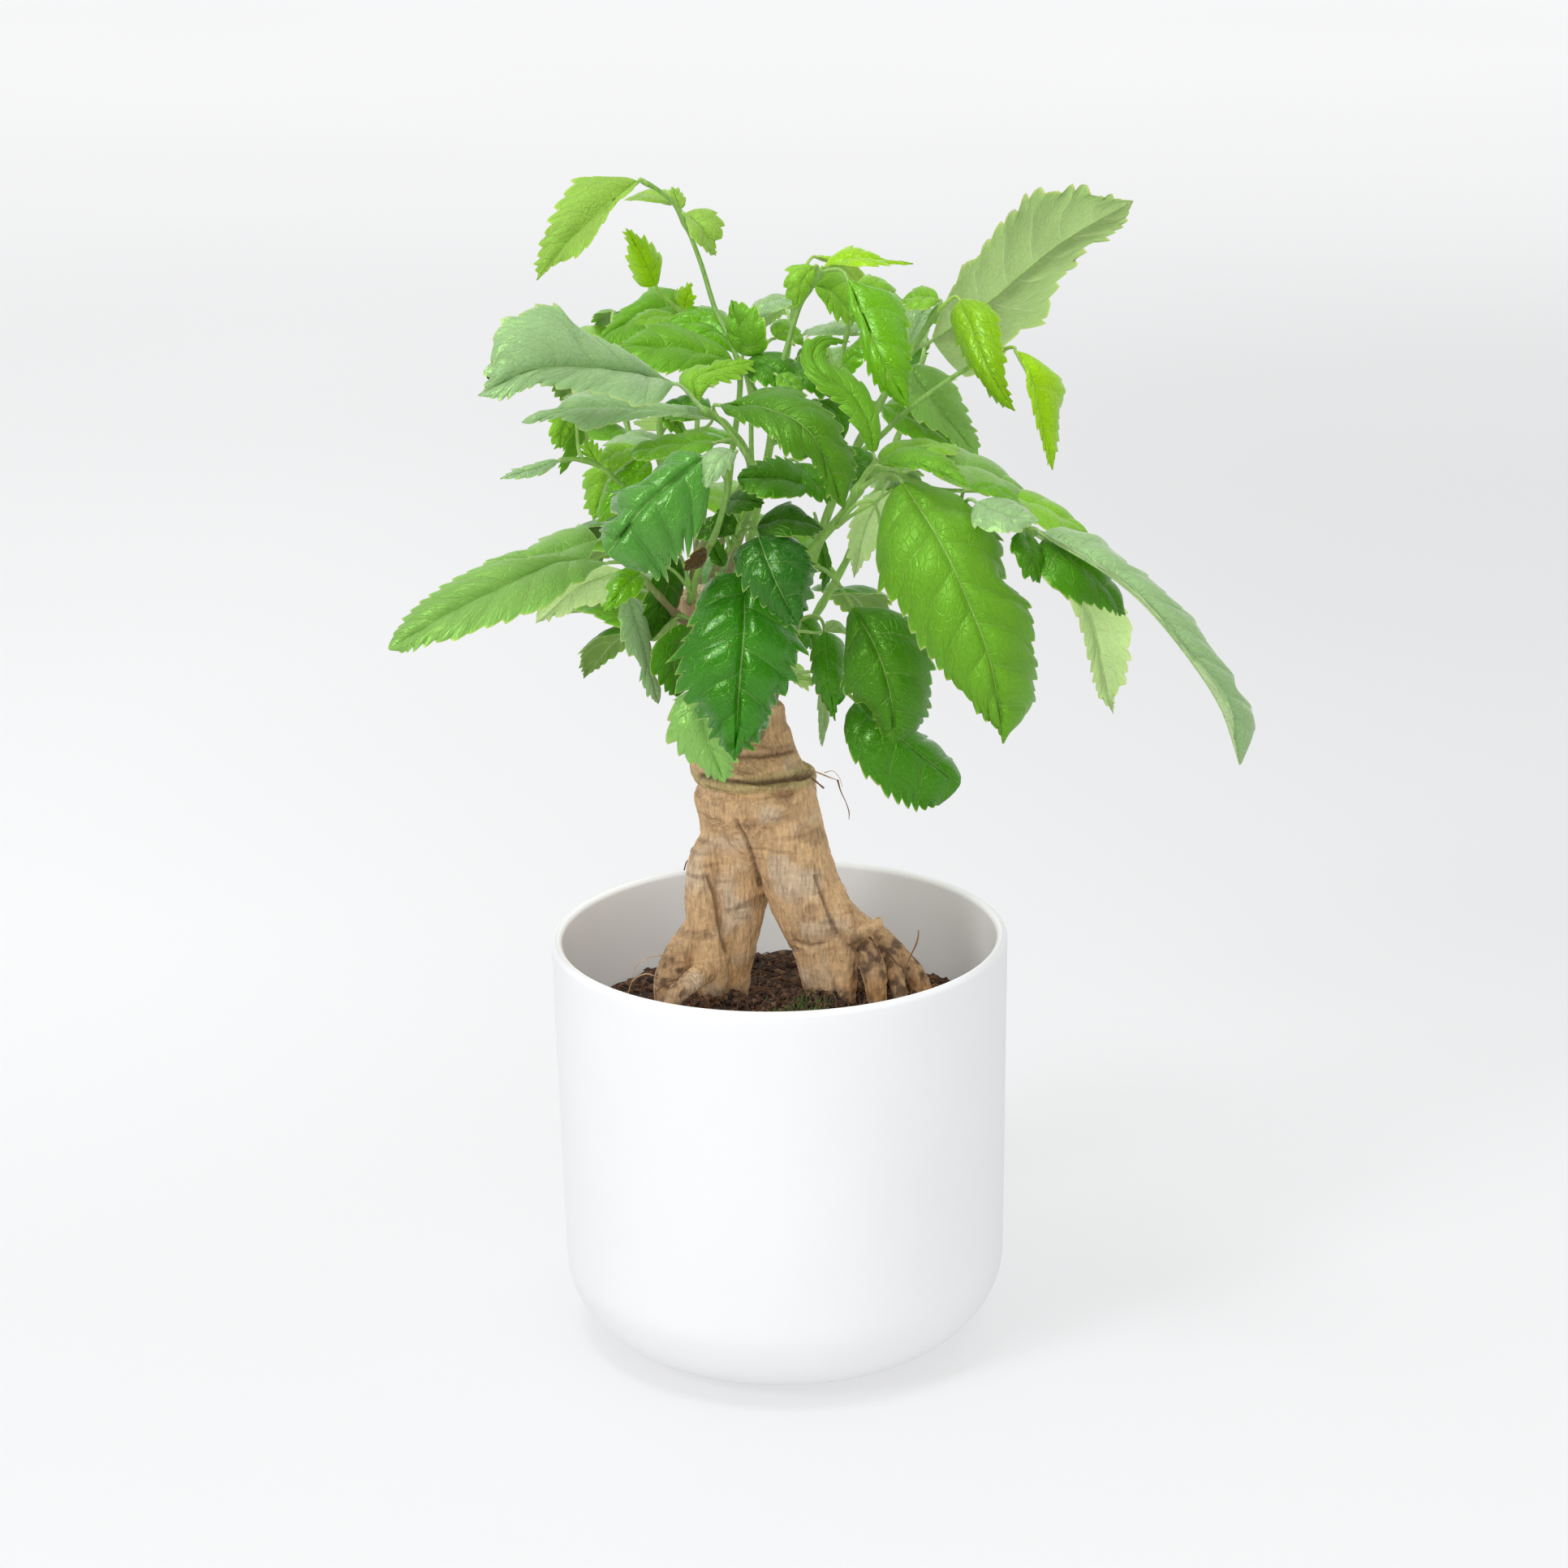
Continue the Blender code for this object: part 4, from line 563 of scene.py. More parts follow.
                 (854, 290, -14), blunt=0.6, back=2),
            Leaf(((909, 438, -20), (876, 402, -26), (816, 398, -28)), (862, 417, -20),
                 (886, 377, -36), back=3),
            Leaf(((906, 447, -12), (836, 430, -8), (760, 428, -4)), (826, 463, 6), (832, 404, -20),
                 back=3),
        ),
    ),
    "branch_young": Branch(
        stems=(
            ((862, 728, -14), (859, 690, -22), (856, 620, -32), (858, 540, -42), (862, 470, -46),
             (860, 420, -46), (850, 398, -45), (838, 383, -44)),
        ),
        radii=((1.6, 0.9),),
        leaves=(
            Leaf(((809, 353, -42), (795, 322, -38), (771, 281, -34)), (777, 330, -42),
                 (813, 314, -44), blunt=0.8, back=1),
            Leaf(((843, 382, -40), (846, 367, -38), (852, 348, -38)), (835, 367, -42),
                 (857, 368, -38), back=2),
            Leaf(((846, 376, -54), (792, 386, -52), (737, 421, -46)), (800, 410, -42),
                 (796, 356, -62), blunt=0.7, back=6),
            Leaf(((834, 394, -36), (808, 391, -34), (780, 398, -32)), (806, 400, -28),
                 (808, 383, -40), back=4),
        ),
    ),
    "branch_left": Branch(
        stems=(
            ((853, 734, -3), (858, 690, 4), (884, 640, 9), (914, 600, 13), (924, 572, 16),
             (906, 536, 22), (884, 516, 27), (864, 504, 29)),
            ((868, 668, 6), (846, 640, 4), (820, 600, 1), (815, 560, 0), (812, 515, 0)),
            ((846, 640, 4), (812, 622, 12), (782, 606, 22), (762, 594, 26), (738, 574, 28),
             (712, 566, 30), (690, 567, 31)),
        ),
        radii=((2.0, 1.3), (1.2, 0.9), (1.0, 0.8)),
        leaves=(
            Leaf(((832, 472, 30), (776, 458, 40), (712, 452, 50), (650, 458, 58), (588, 488, 62)),
                 (668, 484, 66), (672, 375, 44), crest=0.62, blunt=0.7, back=2),
            Leaf(((860, 499, 24), (855, 470, 22), (878, 456, 18), (930, 445, 11)), (836, 466, 18),
                 (884, 476, 22), crest=0.3, back=2),
            Leaf(((882, 514, 16), (800, 506, 26), (716, 504, 36), (642, 521, 40)), (720, 525, 46),
                 (716, 481, 20), crest=0.55, blunt=0.7, back=8),
            Leaf(((704, 510, 22), (692, 530, 24), (690, 553, 24)), (708, 536, 20), (677, 528, 26),
                 back=3),
            Leaf(((716, 520, 20), (706, 548, 22), (690, 585, 20)), (714, 550, 16), (700, 544, 26),
                 back=3),
            Leaf(((872, 512, 4), (844, 502, 0), (808, 504, -4)), (842, 520, 8), (844, 486, -8),
                 back=14),
            Leaf(((838, 512, -22), (812, 520, -26), (780, 520, -30)), (812, 512, -32),
                 (806, 530, -22), back=4),
            Leaf(((818, 508, -2), (830, 520, 0), (842, 536, 2)), (836, 516, -4), (824, 530, 4),
                 back=2),
            Leaf(((812, 547, -6), (780, 541, -8), (742, 549, -10)), (778, 549, 2), (784, 533, -16),
                 back=5),
            Leaf(((880, 545, 31), (830, 550, 36), (774, 560, 36)), (822, 567, 47), (835, 531, 22)),
            Leaf(((790, 548, 4), (752, 578, 8), (731, 642, 8)), (769, 604, 4), (722, 588, 6),
                 back=12),
            Leaf(((782, 552, 14), (760, 558, 16), (738, 574, 18)), (768, 571, 22), (752, 549, 10),
                 back=8),
            Leaf(((800, 566, 20), (768, 598, 24), (736, 644, 24)), (781, 618, 28), (752, 590, 18),
                 back=16),
            Leaf(((688, 567, 31), (662, 578, 33), (616, 590, 36)), (664, 585, 36), (668, 569, 30),
                 back=1),
            Leaf(((737, 573, 28), (730, 560, 28), (720, 542, 28)), (721, 559, 28), (740, 560, 28),
                 back=4),
        ),
    ),
    "branch_lower_left": Branch(
        stems=(
            ((846, 768, 2), (828, 752, 10), (806, 728, 14), (786, 706, 16), (768, 690, 18)),
            ((850, 742, 6), (862, 700, 24), (884, 650, 40), (896, 600, 46), (890, 572, 48)),
        ),
        radii=((1.9, 1.1), (1.6, 1.2)),
        leaves=(
            Leaf(((748, 693, 24), (690, 692, 32), (620, 722, 42), (550, 757, 50), (478, 801, 52)),
                 (618, 767, 56), (586, 696, 34), crest=0.5, blunt=0.6, back=1),
            Leaf(((738, 664, 14), (690, 680, 20), (592, 701, 28)), (690, 706, 32), (664, 660, 8),
                 back=1),
            Leaf(((768, 702, 8), (712, 724, 4), (660, 768, 0)), (700, 704, 6), (726, 750, 0),
                 back=4),
            Leaf(((771, 728, 12), (788, 778, 18), (800, 826, 18), (811, 868, 16)), (800, 772, 10),
                 (768, 790, 22), blunt=0.7, back=6),
            Leaf(((832, 684, 6), (818, 738, 10), (801, 790, 10)), (838, 738, 2), (799, 730, 14),
                 blunt=0.7, back=14),
            Leaf(((856, 774, 16), (832, 806, 20), (834, 859, 20)), (853, 822, 14), (801, 806, 24),
                 blunt=0.7, back=1),
            Leaf(((834, 762, 10), (818, 774, 7), (802, 790, 6)), (813, 766, 4), (826, 783, 11),
                 back=6),
            Leaf(((871, 562, 50), (832, 590, 60), (790, 628, 66), (747, 684, 64)), (853, 672, 62),
                 (788, 588, 50), crest=0.45, blunt=0.45, back=3),
            Leaf(((790, 706, 44), (770, 722, 50), (744, 754, 54)), (783, 739, 52), (756, 711, 46),
                 back=30),
            Leaf(((906, 556, 52), (886, 566, 58), (870, 602, 62)), (899, 584, 60), (871, 564, 54),
                 blunt=0.6, back=1),
        ),
    ),
    "branch_front": Branch(
        stems=(
            ((873, 738, -1), (878, 712, 3), (890, 690, 14), (908, 660, 26), (930, 610, 36),
             (936, 570, 38)),
            ((900, 678, 26), (893, 650, 22), (890, 620, 20)),
        ),
        radii=((2.0, 1.2), (1.1, 0.9)),
        leaves=(
            Leaf(((918, 703, 38), (917, 770, 50), (911, 850, 54), (905, 938, 50)), (976, 798, 44),
                 (845, 802, 48), blunt=0.75),
            Leaf(((876, 836, 28), (868, 895, 36), (893, 965, 36)), (906, 896, 36), (827, 892, 34),
                 crest=0.45, blunt=0.65, back=-16),
            Leaf(((934, 660, 48), (952, 708, 58), (983, 772, 58)), (991, 686, 50), (914, 728, 56),
                 blunt=0.7, back=8),
            Leaf(((886, 498, 44), (945, 503, 56), (1000, 535, 64), (1040, 628, 64)),
                 (1000, 488, 50), (957, 553, 66), crest=0.45, blunt=0.6, back=4),
            Leaf(((1003, 602, 36), (958, 590, 46), (908, 589, 48)), (960, 612, 56), (958, 566, 40),
                 blunt=0.7, back=2),
            Leaf(((984, 570, 30), (1002, 592, 36), (1024, 618, 36)), (1014, 581, 28),
                 (989, 603, 42), back=4),
            Leaf(((897, 616, 30), (918, 616, 38), (942, 620, 40)), (918, 602, 32), (916, 632, 44),
                 blunt=0.7, back=6),
            Leaf(((902, 626, 26), (896, 642, 28), (884, 663, 28)), (914, 647, 26), (881, 636, 30),
                 back=3),
            Leaf(((932, 650, 38), (970, 640, 42), (1015, 652, 38)), (968, 621, 32), (972, 659, 50),
                 blunt=0.7),
            Leaf(((886, 642, 16), (870, 652, 16), (853, 655, 16)), (872, 665, 20), (868, 641, 10),
                 back=3),
            Leaf(((892, 698, 20), (883, 682, 20), (876, 664, 20)), (874, 685, 20), (892, 676, 20),
                 back=2),
        ),
    ),
}

# What the photograph shows beside the CAD: a dry curled leaf, two loose stalks and a thread under
# them, and rootlets with their thickness in millimetres.
DRY_LEAF = Leaf(((871, 679, 36), (858, 688, 38), (843, 703, 38)), (863, 698, 34), (851, 685, 41),
                blunt=0.7, back=-30)
LOOSE_STALKS = (
    ((1030, 650, 31), (1048, 636, 33), (1075, 620, 35), (1100, 603, 36)),
    ((1034, 646, 31), (1048, 628, 36), (1062, 618, 38), (1075, 619, 38), (1082, 632, 36),
     (1084, 646, 34)),
    ((1024, 700, 4), (1036, 724, 6), (1046, 742, 9)),
)
ROOTLETS = (
    (((996, 948, 4), (1008, 952, 6), (1020, 957, 8), (1031, 961, 8)), 0.26),
    (((1016, 952, 7), (1026, 950, 9), (1034, 958, 9), (1038, 970, 9)), 0.16),
    (((996, 956, 4), (1004, 962, 7), (1009, 966, 8), (1015, 971, 8)), 0.6),
    (((1004, 962, 7), (1001, 968, 8), (1006, 973, 9)), 0.2),
    (((1032, 961, 8), (1036, 975, 9), (1042, 988, 9), (1046, 1000, 8), (1046, 1010, 8)), 0.3),
    (((868, 1046, 2), (858, 1049, 4), (853, 1056, 5), (846, 1062, 5), (843, 1072, 5)), 0.4),
    (((858, 1049, 4), (863, 1055, 6), (857, 1062, 7), (852, 1072, 7)), 0.3),
    (((861, 1044, 3), (855, 1047, 4), (852, 1052, 4)), 0.9),
    (((822, 1176, 14), (800, 1180, 17), (784, 1190, 18), (778, 1210, 18)), 0.25),
    (((815, 1206, 18), (796, 1200, 21), (780, 1208, 22), (774, 1224, 22)), 0.22),
    (((1112, 1200, 14), (1122, 1178, 14), (1130, 1160, 14), (1132, 1146, 14)), 0.35),
    (((1066, 1150, 17), (1078, 1162, 20), (1084, 1178, 20), (1082, 1192, 19)), 0.5),
    (((1094, 1172, 12), (1104, 1186, 16), (1116, 1196, 18), (1120, 1212, 18)), 0.45),
    (((1052, 1168, 18), (1058, 1182, 22), (1055, 1200, 23), (1060, 1216, 22)), 0.55),
    (((848, 1196, 16), (836, 1206, 22), (822, 1210, 26), (808, 1222, 27)), 0.4),
)
ROOT_HAIR_THICKNESS = 0.3
ROOTLET_KNOTS = (0.6, 1.5)
ROOTLET_TIP = 0.45
ROOTLET_SIDES = 8
ROOTLET_TINTS = (0.8, 1.3)

# The margins of the leaves that show best, as they run in the photograph between the foot and the
# tip: the left and the right one of each leaf, by its branch and its place in the branch's list.
MARGINS = {
    ("branch_front", 0): (
        ((930, 732), (950, 748), (972, 766), (986, 795), (972, 812), (974, 834), (958, 848),
         (950, 862), (946, 884), (930, 898), (918, 908), (912, 926)),
        ((900, 694), (885, 705), (872, 716), (862, 735), (857, 755), (856, 777), (844, 787),
         (846, 797), (839, 806), (843, 818), (840, 832), (849, 840), (851, 858), (861, 860),
         (863, 872), (871, 872), (877, 886), (885, 902), (895, 922)),
    ),
    ("branch_front", 1): (
        ((892, 858), (902, 890), (904, 925), (899, 950)),
        ((850, 850), (833, 862), (831, 875), (826, 890), (828, 905), (836, 915), (842, 928),
         (856, 938), (870, 948), (882, 957)),
    ),
    ("branch_front", 2): (
        ((955, 655), (978, 662), (991, 674), (997, 692), (998, 710), (994, 728), (990, 745),
         (986, 760)),
        ((920, 662), (905, 675), (903, 690), (912, 705), (922, 719), (936, 736), (950, 750),
         (966, 762)),
    ),
    ("branch_front", 3): (
        ((905, 497), (925, 492), (945, 482), (962, 479), (980, 481), (990, 491), (1008, 498),
         (1020, 509), (1033, 524), (1035, 540), (1048, 552), (1050, 572), (1048, 592), (1043, 610)),
        ((895, 512), (910, 516), (925, 521), (945, 530), (957, 540), (965, 553), (980, 561),
         (1000, 562), (1008, 575), (1016, 590), (1023, 607), (1032, 620)),
    ),
    ("branch_front", 4): (
        ((985, 612), (965, 613), (945, 614), (930, 608), (918, 603), (911, 597)),
        ((990, 588), (978, 572), (960, 566), (940, 570), (925, 577), (912, 582)),
    ),
    ("branch_upper_right", 2): (
        ((1160, 450), (1175, 467), (1200, 463), (1225, 441), (1242, 420), (1256, 406), (1270, 400),
         (1289, 391), (1290, 378), (1293, 364), (1300, 350), (1306, 340), (1319, 330), (1326, 314),
         (1340, 300), (1358, 293), (1376, 280), (1388, 265)),
        ((1160, 380), (1180, 345), (1189, 323), (1205, 320), (1212, 303), (1225, 290), (1235, 280),
         (1242, 267), (1256, 260), (1262, 248), (1276, 239), (1291, 237), (1311, 238), (1331, 234),
         (1344, 240), (1353, 245), (1375, 246)),
    ),
    ("branch_upper_right", 3): (
        ((1200, 367), (1215, 372), (1225, 385), (1230, 400), (1232, 420), (1236, 440), (1236, 460),
         (1238, 478), (1243, 492)),
        ((1172, 378), (1171, 395), (1178, 415), (1190, 440), (1205, 462), (1220, 482), (1238, 500)),
    ),
    ("branch_upper_right", 4): (
        ((1270, 440), (1290, 455), (1305, 465), (1311, 480), (1309, 492), (1303, 510), (1302, 530),
         (1299, 555)),
        ((1264, 448), (1265, 462), (1264, 475), (1272, 500), (1280, 530), (1288, 555)),
    ),
    ("branch_upper_right", 5): (
        ((1135, 448), (1155, 455), (1168, 468), (1180, 480), (1184, 492), (1189, 508), (1195, 525),
         (1202, 536), (1206, 562)),
        ((1112, 470), (1115, 495), (1125, 510), (1145, 525), (1165, 535), (1180, 550)),
    ),
    ("branch_upper_right", 7): (
        ((1030, 783), (1041, 793), (1042, 815), (1040, 840), (1038, 858), (1030, 866), (1028, 878)),
        ((1006, 788), (1001, 800), (1001, 825), (1006, 845), (1014, 860), (1022, 872)),
    ),
    ("branch_upper_right", 8): (
        ((1075, 750), (1100, 753), (1122, 762), (1130, 784), (1141, 801), (1146, 825), (1146, 850),
         (1142, 870), (1135, 888), (1129, 901), (1112, 912)),
        ((1043, 762), (1042, 790), (1040, 815), (1042, 845), (1055, 858), (1071, 869), (1084, 888),
         (1088, 905), (1095, 914)),
    ),
    ("branch_upper_right", 9): (
        ((1090, 874), (1125, 902), (1145, 913), (1162, 929), (1176, 944), (1183, 955)),
        ((1042, 880), (1040, 900), (1046, 920), (1058, 938), (1070, 955), (1085, 968), (1107, 982),
         (1134, 993), (1157, 992), (1172, 981)),
    ),
    ("branch_right", 0): (
        ((1140, 600), (1165, 608), (1186, 619), (1201, 632), (1220, 643), (1224, 658), (1232, 672),
         (1231, 686), (1232, 700), (1231, 713), (1245, 726), (1259, 738), (1264, 752), (1269, 770),
         (1268, 790), (1274, 812), (1273, 835), (1271, 862), (1261, 882), (1248, 895), (1240, 908),
         (1236, 922)),
        ((1096, 606), (1088, 625), (1082, 650), (1079, 670), (1078, 690), (1083, 702), (1086, 722),
         (1096, 727), (1105, 738), (1117, 746), (1122, 765), (1129, 780), (1141, 798), (1156, 816),
         (1175, 838), (1195, 856), (1210, 870), (1216, 882), (1231, 896), (1236, 922)),
    ),
    ("branch_right", 1): (
        ((1100, 562), (1120, 553), (1140, 555), (1160, 562), (1175, 575), (1185, 588)),
        ((1110, 574), (1140, 580), (1165, 585), (1180, 591)),
    ),
    ("branch_right", 12): (
        ((1310, 668), (1332, 684), (1352, 697), (1364, 713), (1374, 731), (1382, 748)),
        ((1279, 672), (1279, 692), (1285, 712), (1293, 723), (1304, 725), (1315, 737), (1330, 740),
         (1346, 743), (1362, 748), (1376, 753)),
    ),
    ("branch_right", 13): (
        ((1315, 738), (1326, 755), (1335, 775), (1340, 800), (1346, 820), (1351, 845), (1355, 858),
         (1364, 866)),
        ((1350, 725), (1378, 745), (1389, 760), (1394, 780), (1390, 795), (1388, 815), (1384, 835),
         (1377, 848), (1370, 861)),
    ),
    ("branch_right", 14): (
        ((1310, 650), (1335, 660), (1360, 665), (1371, 681), (1386, 697), (1406, 706), (1425, 725),
         (1445, 744), (1466, 761), (1481, 785), (1500, 809), (1518, 830), (1521, 849), (1536, 865),
         (1542, 882), (1544, 900), (1535, 925)),
        ((1310, 668), (1335, 685), (1355, 697), (1380, 718), (1405, 738), (1425, 760), (1440, 778),
         (1460, 800), (1485, 830), (1505, 860), (1518, 885), (1521, 908), (1519, 928)),
    ),
    ("branch_top", 1): (
        ((1025, 318), (1040, 308), (1055, 306), (1070, 310), (1082, 318), (1095, 322), (1110, 324)),
        ((1030, 326), (1060, 328), (1080, 328), (1100, 325)),
    ),
    ("branch_top", 2): (
        ((1060, 350), (1080, 358), (1100, 362), (1109, 371), (1115, 386), (1116, 402), (1118, 424),
         (1118, 448), (1118, 470), (1119, 486)),
        ((1045, 362), (1050, 385), (1060, 400), (1064, 425), (1070, 450), (1080, 470), (1095, 485),
         (1108, 496)),
    ),
    ("branch_arching", 0): (
        ((780, 235), (762, 248), (752, 260), (745, 272), (740, 280), (733, 293), (722, 304),
         (705, 316), (690, 322), (678, 328), (668, 338), (661, 347)),
        ((770, 218), (745, 218), (722, 218), (712, 223), (705, 230), (700, 237), (695, 245),
         (691, 252), (688, 260), (685, 268), (681, 276), (676, 283), (673, 292), (669, 305),
         (668, 318), (665, 328), (661, 347)),
    ),
    ("branch_arching", 3): (
        ((855, 258), (870, 257), (880, 262), (886, 272), (888, 282), (884, 292), (880, 298),
         (880, 305)),
        ((846, 275), (850, 288), (858, 298), (870, 308)),
    ),
    ("branch_arching", 4): (
        ((880, 425), (850, 410), (830, 402)),
        ((905, 410), (895, 386), (880, 380), (858, 379), (844, 385), (830, 393)),
    ),
    ("branch_arching", 5): (
        ((880, 450), (850, 455), (820, 460), (800, 455), (780, 440)),
        ((890, 430), (865, 415), (840, 405), (820, 400), (800, 405), (788, 415), (775, 422)),
    ),
    ("branch_young", 0): (
        ((797, 357), (788, 352), (782, 345), (780, 335), (776, 325), (775, 315), (777, 300)),
        ((812, 350), (811, 340), (813, 328), (815, 320), (810, 312), (801, 303), (790, 295),
         (780, 288)),
    ),
    ("branch_young", 1): (
        ((837, 375), (832, 365), (838, 357), (845, 355)),
        ((853, 376), (855, 366), (850, 357)),
    ),
    ("branch_young", 2): (
        ((830, 395), (800, 412), (775, 420), (755, 424)),
        ((835, 359), (820, 355), (802, 355), (792, 362), (789, 369), (782, 373), (772, 382),
         (762, 389), (755, 400), (745, 411)),
    ),
    ("branch_left", 0): (
        ((815, 495), (795, 500), (775, 497), (755, 488), (725, 480), (700, 476), (680, 472),
         (660, 472), (645, 481), (625, 488), (605, 490)),
        ((815, 464), (800, 450), (780, 438), (755, 425), (735, 417), (715, 408), (700, 396),
         (692, 382), (684, 378), (672, 378), (660, 377), (650, 384), (640, 390), (627, 393),
         (618, 400), (612, 411), (608, 425), (608, 440), (606, 455), (604, 470), (598, 480)),
    ),
    ("branch_left", 1): (
        ((845, 485), (836, 470), (845, 457), (858, 452), (872, 455), (880, 447), (900, 446),
         (915, 444)),
        ((870, 480), (882, 470), (895, 470), (908, 462), (922, 455)),
    ),
    ("branch_left", 2): (
        ((850, 512), (800, 513), (770, 518), (745, 525), (725, 530), (712, 524), (700, 516),
         (688, 513), (670, 515), (655, 523)),
        ((860, 505), (830, 500), (800, 498), (760, 492), (730, 482), (715, 484), (703, 490),
         (693, 496), (692, 503), (684, 506), (665, 508), (650, 514)),
    ),
    ("branch_left", 9): (
        ((878, 555), (860, 560), (840, 558), (820, 565), (800, 567), (785, 565)),
        ((872, 532), (860, 530), (840, 537), (820, 540), (800, 545), (785, 551)),
    ),
    ("branch_left", 10): (
        ((782, 560), (775, 575), (768, 592), (758, 604), (746, 625)),
        ((762, 549), (746, 558), (738, 571), (727, 579), (720, 590), (722, 600), (724, 612),
         (727, 625)),
    ),
    ("branch_lower_left", 0): (
        ((738, 700), (727, 706), (720, 717), (706, 717), (700, 723), (688, 735), (672, 744),
         (660, 753), (640, 757), (620, 765), (595, 772), (572, 782), (556, 787), (535, 788),
         (515, 796), (497, 803)),
        ((720, 688), (680, 686), (650, 690), (612, 692), (594, 698), (570, 709), (552, 721),
         (540, 731), (523, 741), (506, 760), (490, 777), (480, 792)),
    ),
    ("branch_lower_left", 1): (
        ((725, 690), (700, 704), (660, 706), (620, 704)),
        ((733, 648), (718, 640), (706, 652), (690, 655), (672, 665), (655, 679), (632, 681),
         (612, 690)),
    ),
    ("branch_lower_left", 2): (
        ((748, 697), (720, 705), (700, 714), (676, 738), (663, 752)),
        ((760, 735), (745, 742), (730, 746), (712, 745), (696, 757), (682, 757), (670, 763)),
    ),
    ("branch_lower_left", 3): (
        ((785, 740), (795, 760), (799, 785), (802, 810), (804, 830), (812, 845), (813, 858)),
        ((763, 745), (762, 760), (767, 775), (770, 790), (778, 804), (788, 815), (791, 828),
         (791, 840), (798, 852)),
    ),
    ("branch_lower_left", 5): (
        ((859, 790), (862, 812), (854, 842)),
        ((838, 768), (820, 779), (808, 792), (802, 808), (804, 819), (810, 831), (818, 843),
         (826, 853)),
    ),
    ("branch_lower_left", 7): (
        ((872, 576), (867, 592), (871, 612), (869, 628), (866, 640), (855, 642), (853, 656),
         (842, 661), (838, 673), (824, 686), (810, 700), (792, 703), (774, 704), (763, 698),
         (752, 690)),
        ((850, 560), (835, 562), (820, 571), (807, 587), (793, 598), (776, 601), (766, 612),
         (768, 623), (770, 636), (756, 645), (742, 655), (744, 668)),
    ),
    ("branch_lower_left", 8): (
        ((796, 716), (788, 728), (770, 740)),
        ((772, 702), (758, 705), (752, 716), (751, 728), (749, 740)),
    ),
    ("branch_lower_left", 9): (
        ((907, 564), (898, 575), (888, 586), (878, 590), (875, 599)),
        ((890, 556), (871, 558), (865, 567), (868, 580), (868, 592)),
    ),
}

# Branches on the side away from the front, where the photograph shows nothing: a stem as points in
# millimetres, how many leaves, and their size beside the usual one. The leaves stand round the
# stem by the golden angle, and their lengths and slopes vary.
BACK_BRANCHES = {
    "branch_back_left": (
        ((-27, 8, 232), (-30, 22, 244), (-40, 42, 270), (-48, 58, 300), (-54, 70, 324)), 8, 1),
    "branch_back_right": (
        ((-8, 8, 206), (6, 28, 226), (26, 46, 256), (42, 62, 290), (52, 74, 316)), 8, 1),
    "branch_back_low": (
        ((-22, 8, 218), (-22, 24, 219), (-22, 46, 222), (-22, 66, 224), (-22, 80, 224)), 6, 1),
    "branch_back_top": (
        ((-16, 9, 238), (-10, 24, 254), (-1, 34, 290), (6, 39, 324), (10, 41, 350)), 5, 0.62),
}
BACK_STEM_RADII = (2.0, 1.1)
BACK_LEAVES_FROM = 0.35
BACK_LEAF_LENGTH = (54, 80)
BACK_LEAF_SLENDER = 0.4
BACK_LEAF_TAPER = 0.35
BACK_LEAF_ARCH = 0.11
BACK_LEAF_SPREAD = 0.75
BACK_LEAST_BACKWARD = 0.12
BACK_TIPS_WITHIN = (-72, 58)
BACK_STALK = (14, 24)
BACK_STALK_RISE = 6
BACK_DROOP = (-34, 8)
BACK_SEED = 7
GOLDEN_ANGLE = math.radians(137.5)


def sight(places):
    """The points, in metres, on the lines of sight of readings (across, down, toward)."""
    across, down, toward = np.array(places, float).T
    right_px = across - PHOTO_SIDE / 2
    up_px = PHOTO_SIDE / 2 - down
    x = (right_px * COS_ROLL + up_px * SIN_ROLL) / FOCAL_PIXELS
    y = (up_px * COS_ROLL - right_px * SIN_ROLL) / FOCAL_PIXELS
    rays = np.multiply.outer(x, VIEW_RIGHT) + np.multiply.outer(y, VIEW_UP) - VIEW_BACK
    return VIEW_EYE + rays * ((-toward * MM - VIEW_EYE[1]) / rays[..., 1])[..., None]


def pixels_of(points):
    """Where points show in the photograph, as pixels across and down."""
    seen = points - VIEW_EYE
    depth = -(seen @ VIEW_BACK)
    x, y = seen @ VIEW_RIGHT / depth, seen @ VIEW_UP / depth
    across = PHOTO_SIDE / 2 + (x * COS_ROLL - y * SIN_ROLL) * FOCAL_PIXELS
    down = PHOTO_SIDE / 2 - (x * SIN_ROLL + y * COS_ROLL) * FOCAL_PIXELS
    return np.stack((across, down), axis=-1)


def inner_radius(height):
    """The pot's inside radius at a height above its rounded foot, in millimetres."""
    return POT_RADIUS - POT_WALL - POT_DRAFT * (1 - height / POT_HEIGHT)


# The rounding inside the pot's foot and its centre, the soil's radius at its top, and the centres,
# spreads and heights of its heaps in millimetres.
INNER_ROUND = POT_FOOT_ROUND - POT_WALL
INNER_FOOT = (inner_radius(POT_FLOOR + INNER_ROUND) - INNER_ROUND, POT_FLOOR + INNER_ROUND)
SOIL_RADIUS = inner_radius(SOIL_LEVEL)
SOIL_EDGE = SOIL_RADIUS - SOIL_GAP
HEAPS = [(sight([place])[0] / MM, spread, rise) for place, spread, rise in SOIL_MOUNDS]


def unit(vectors):
    return vectors / np.maximum(np.linalg.norm(vectors, axis=-1, keepdims=True), 1e-12)


def smoothstep(low, high, values):
    share = np.clip((values - low) / (high - low), 0, 1)
    return share * share * (3 - 2 * share)


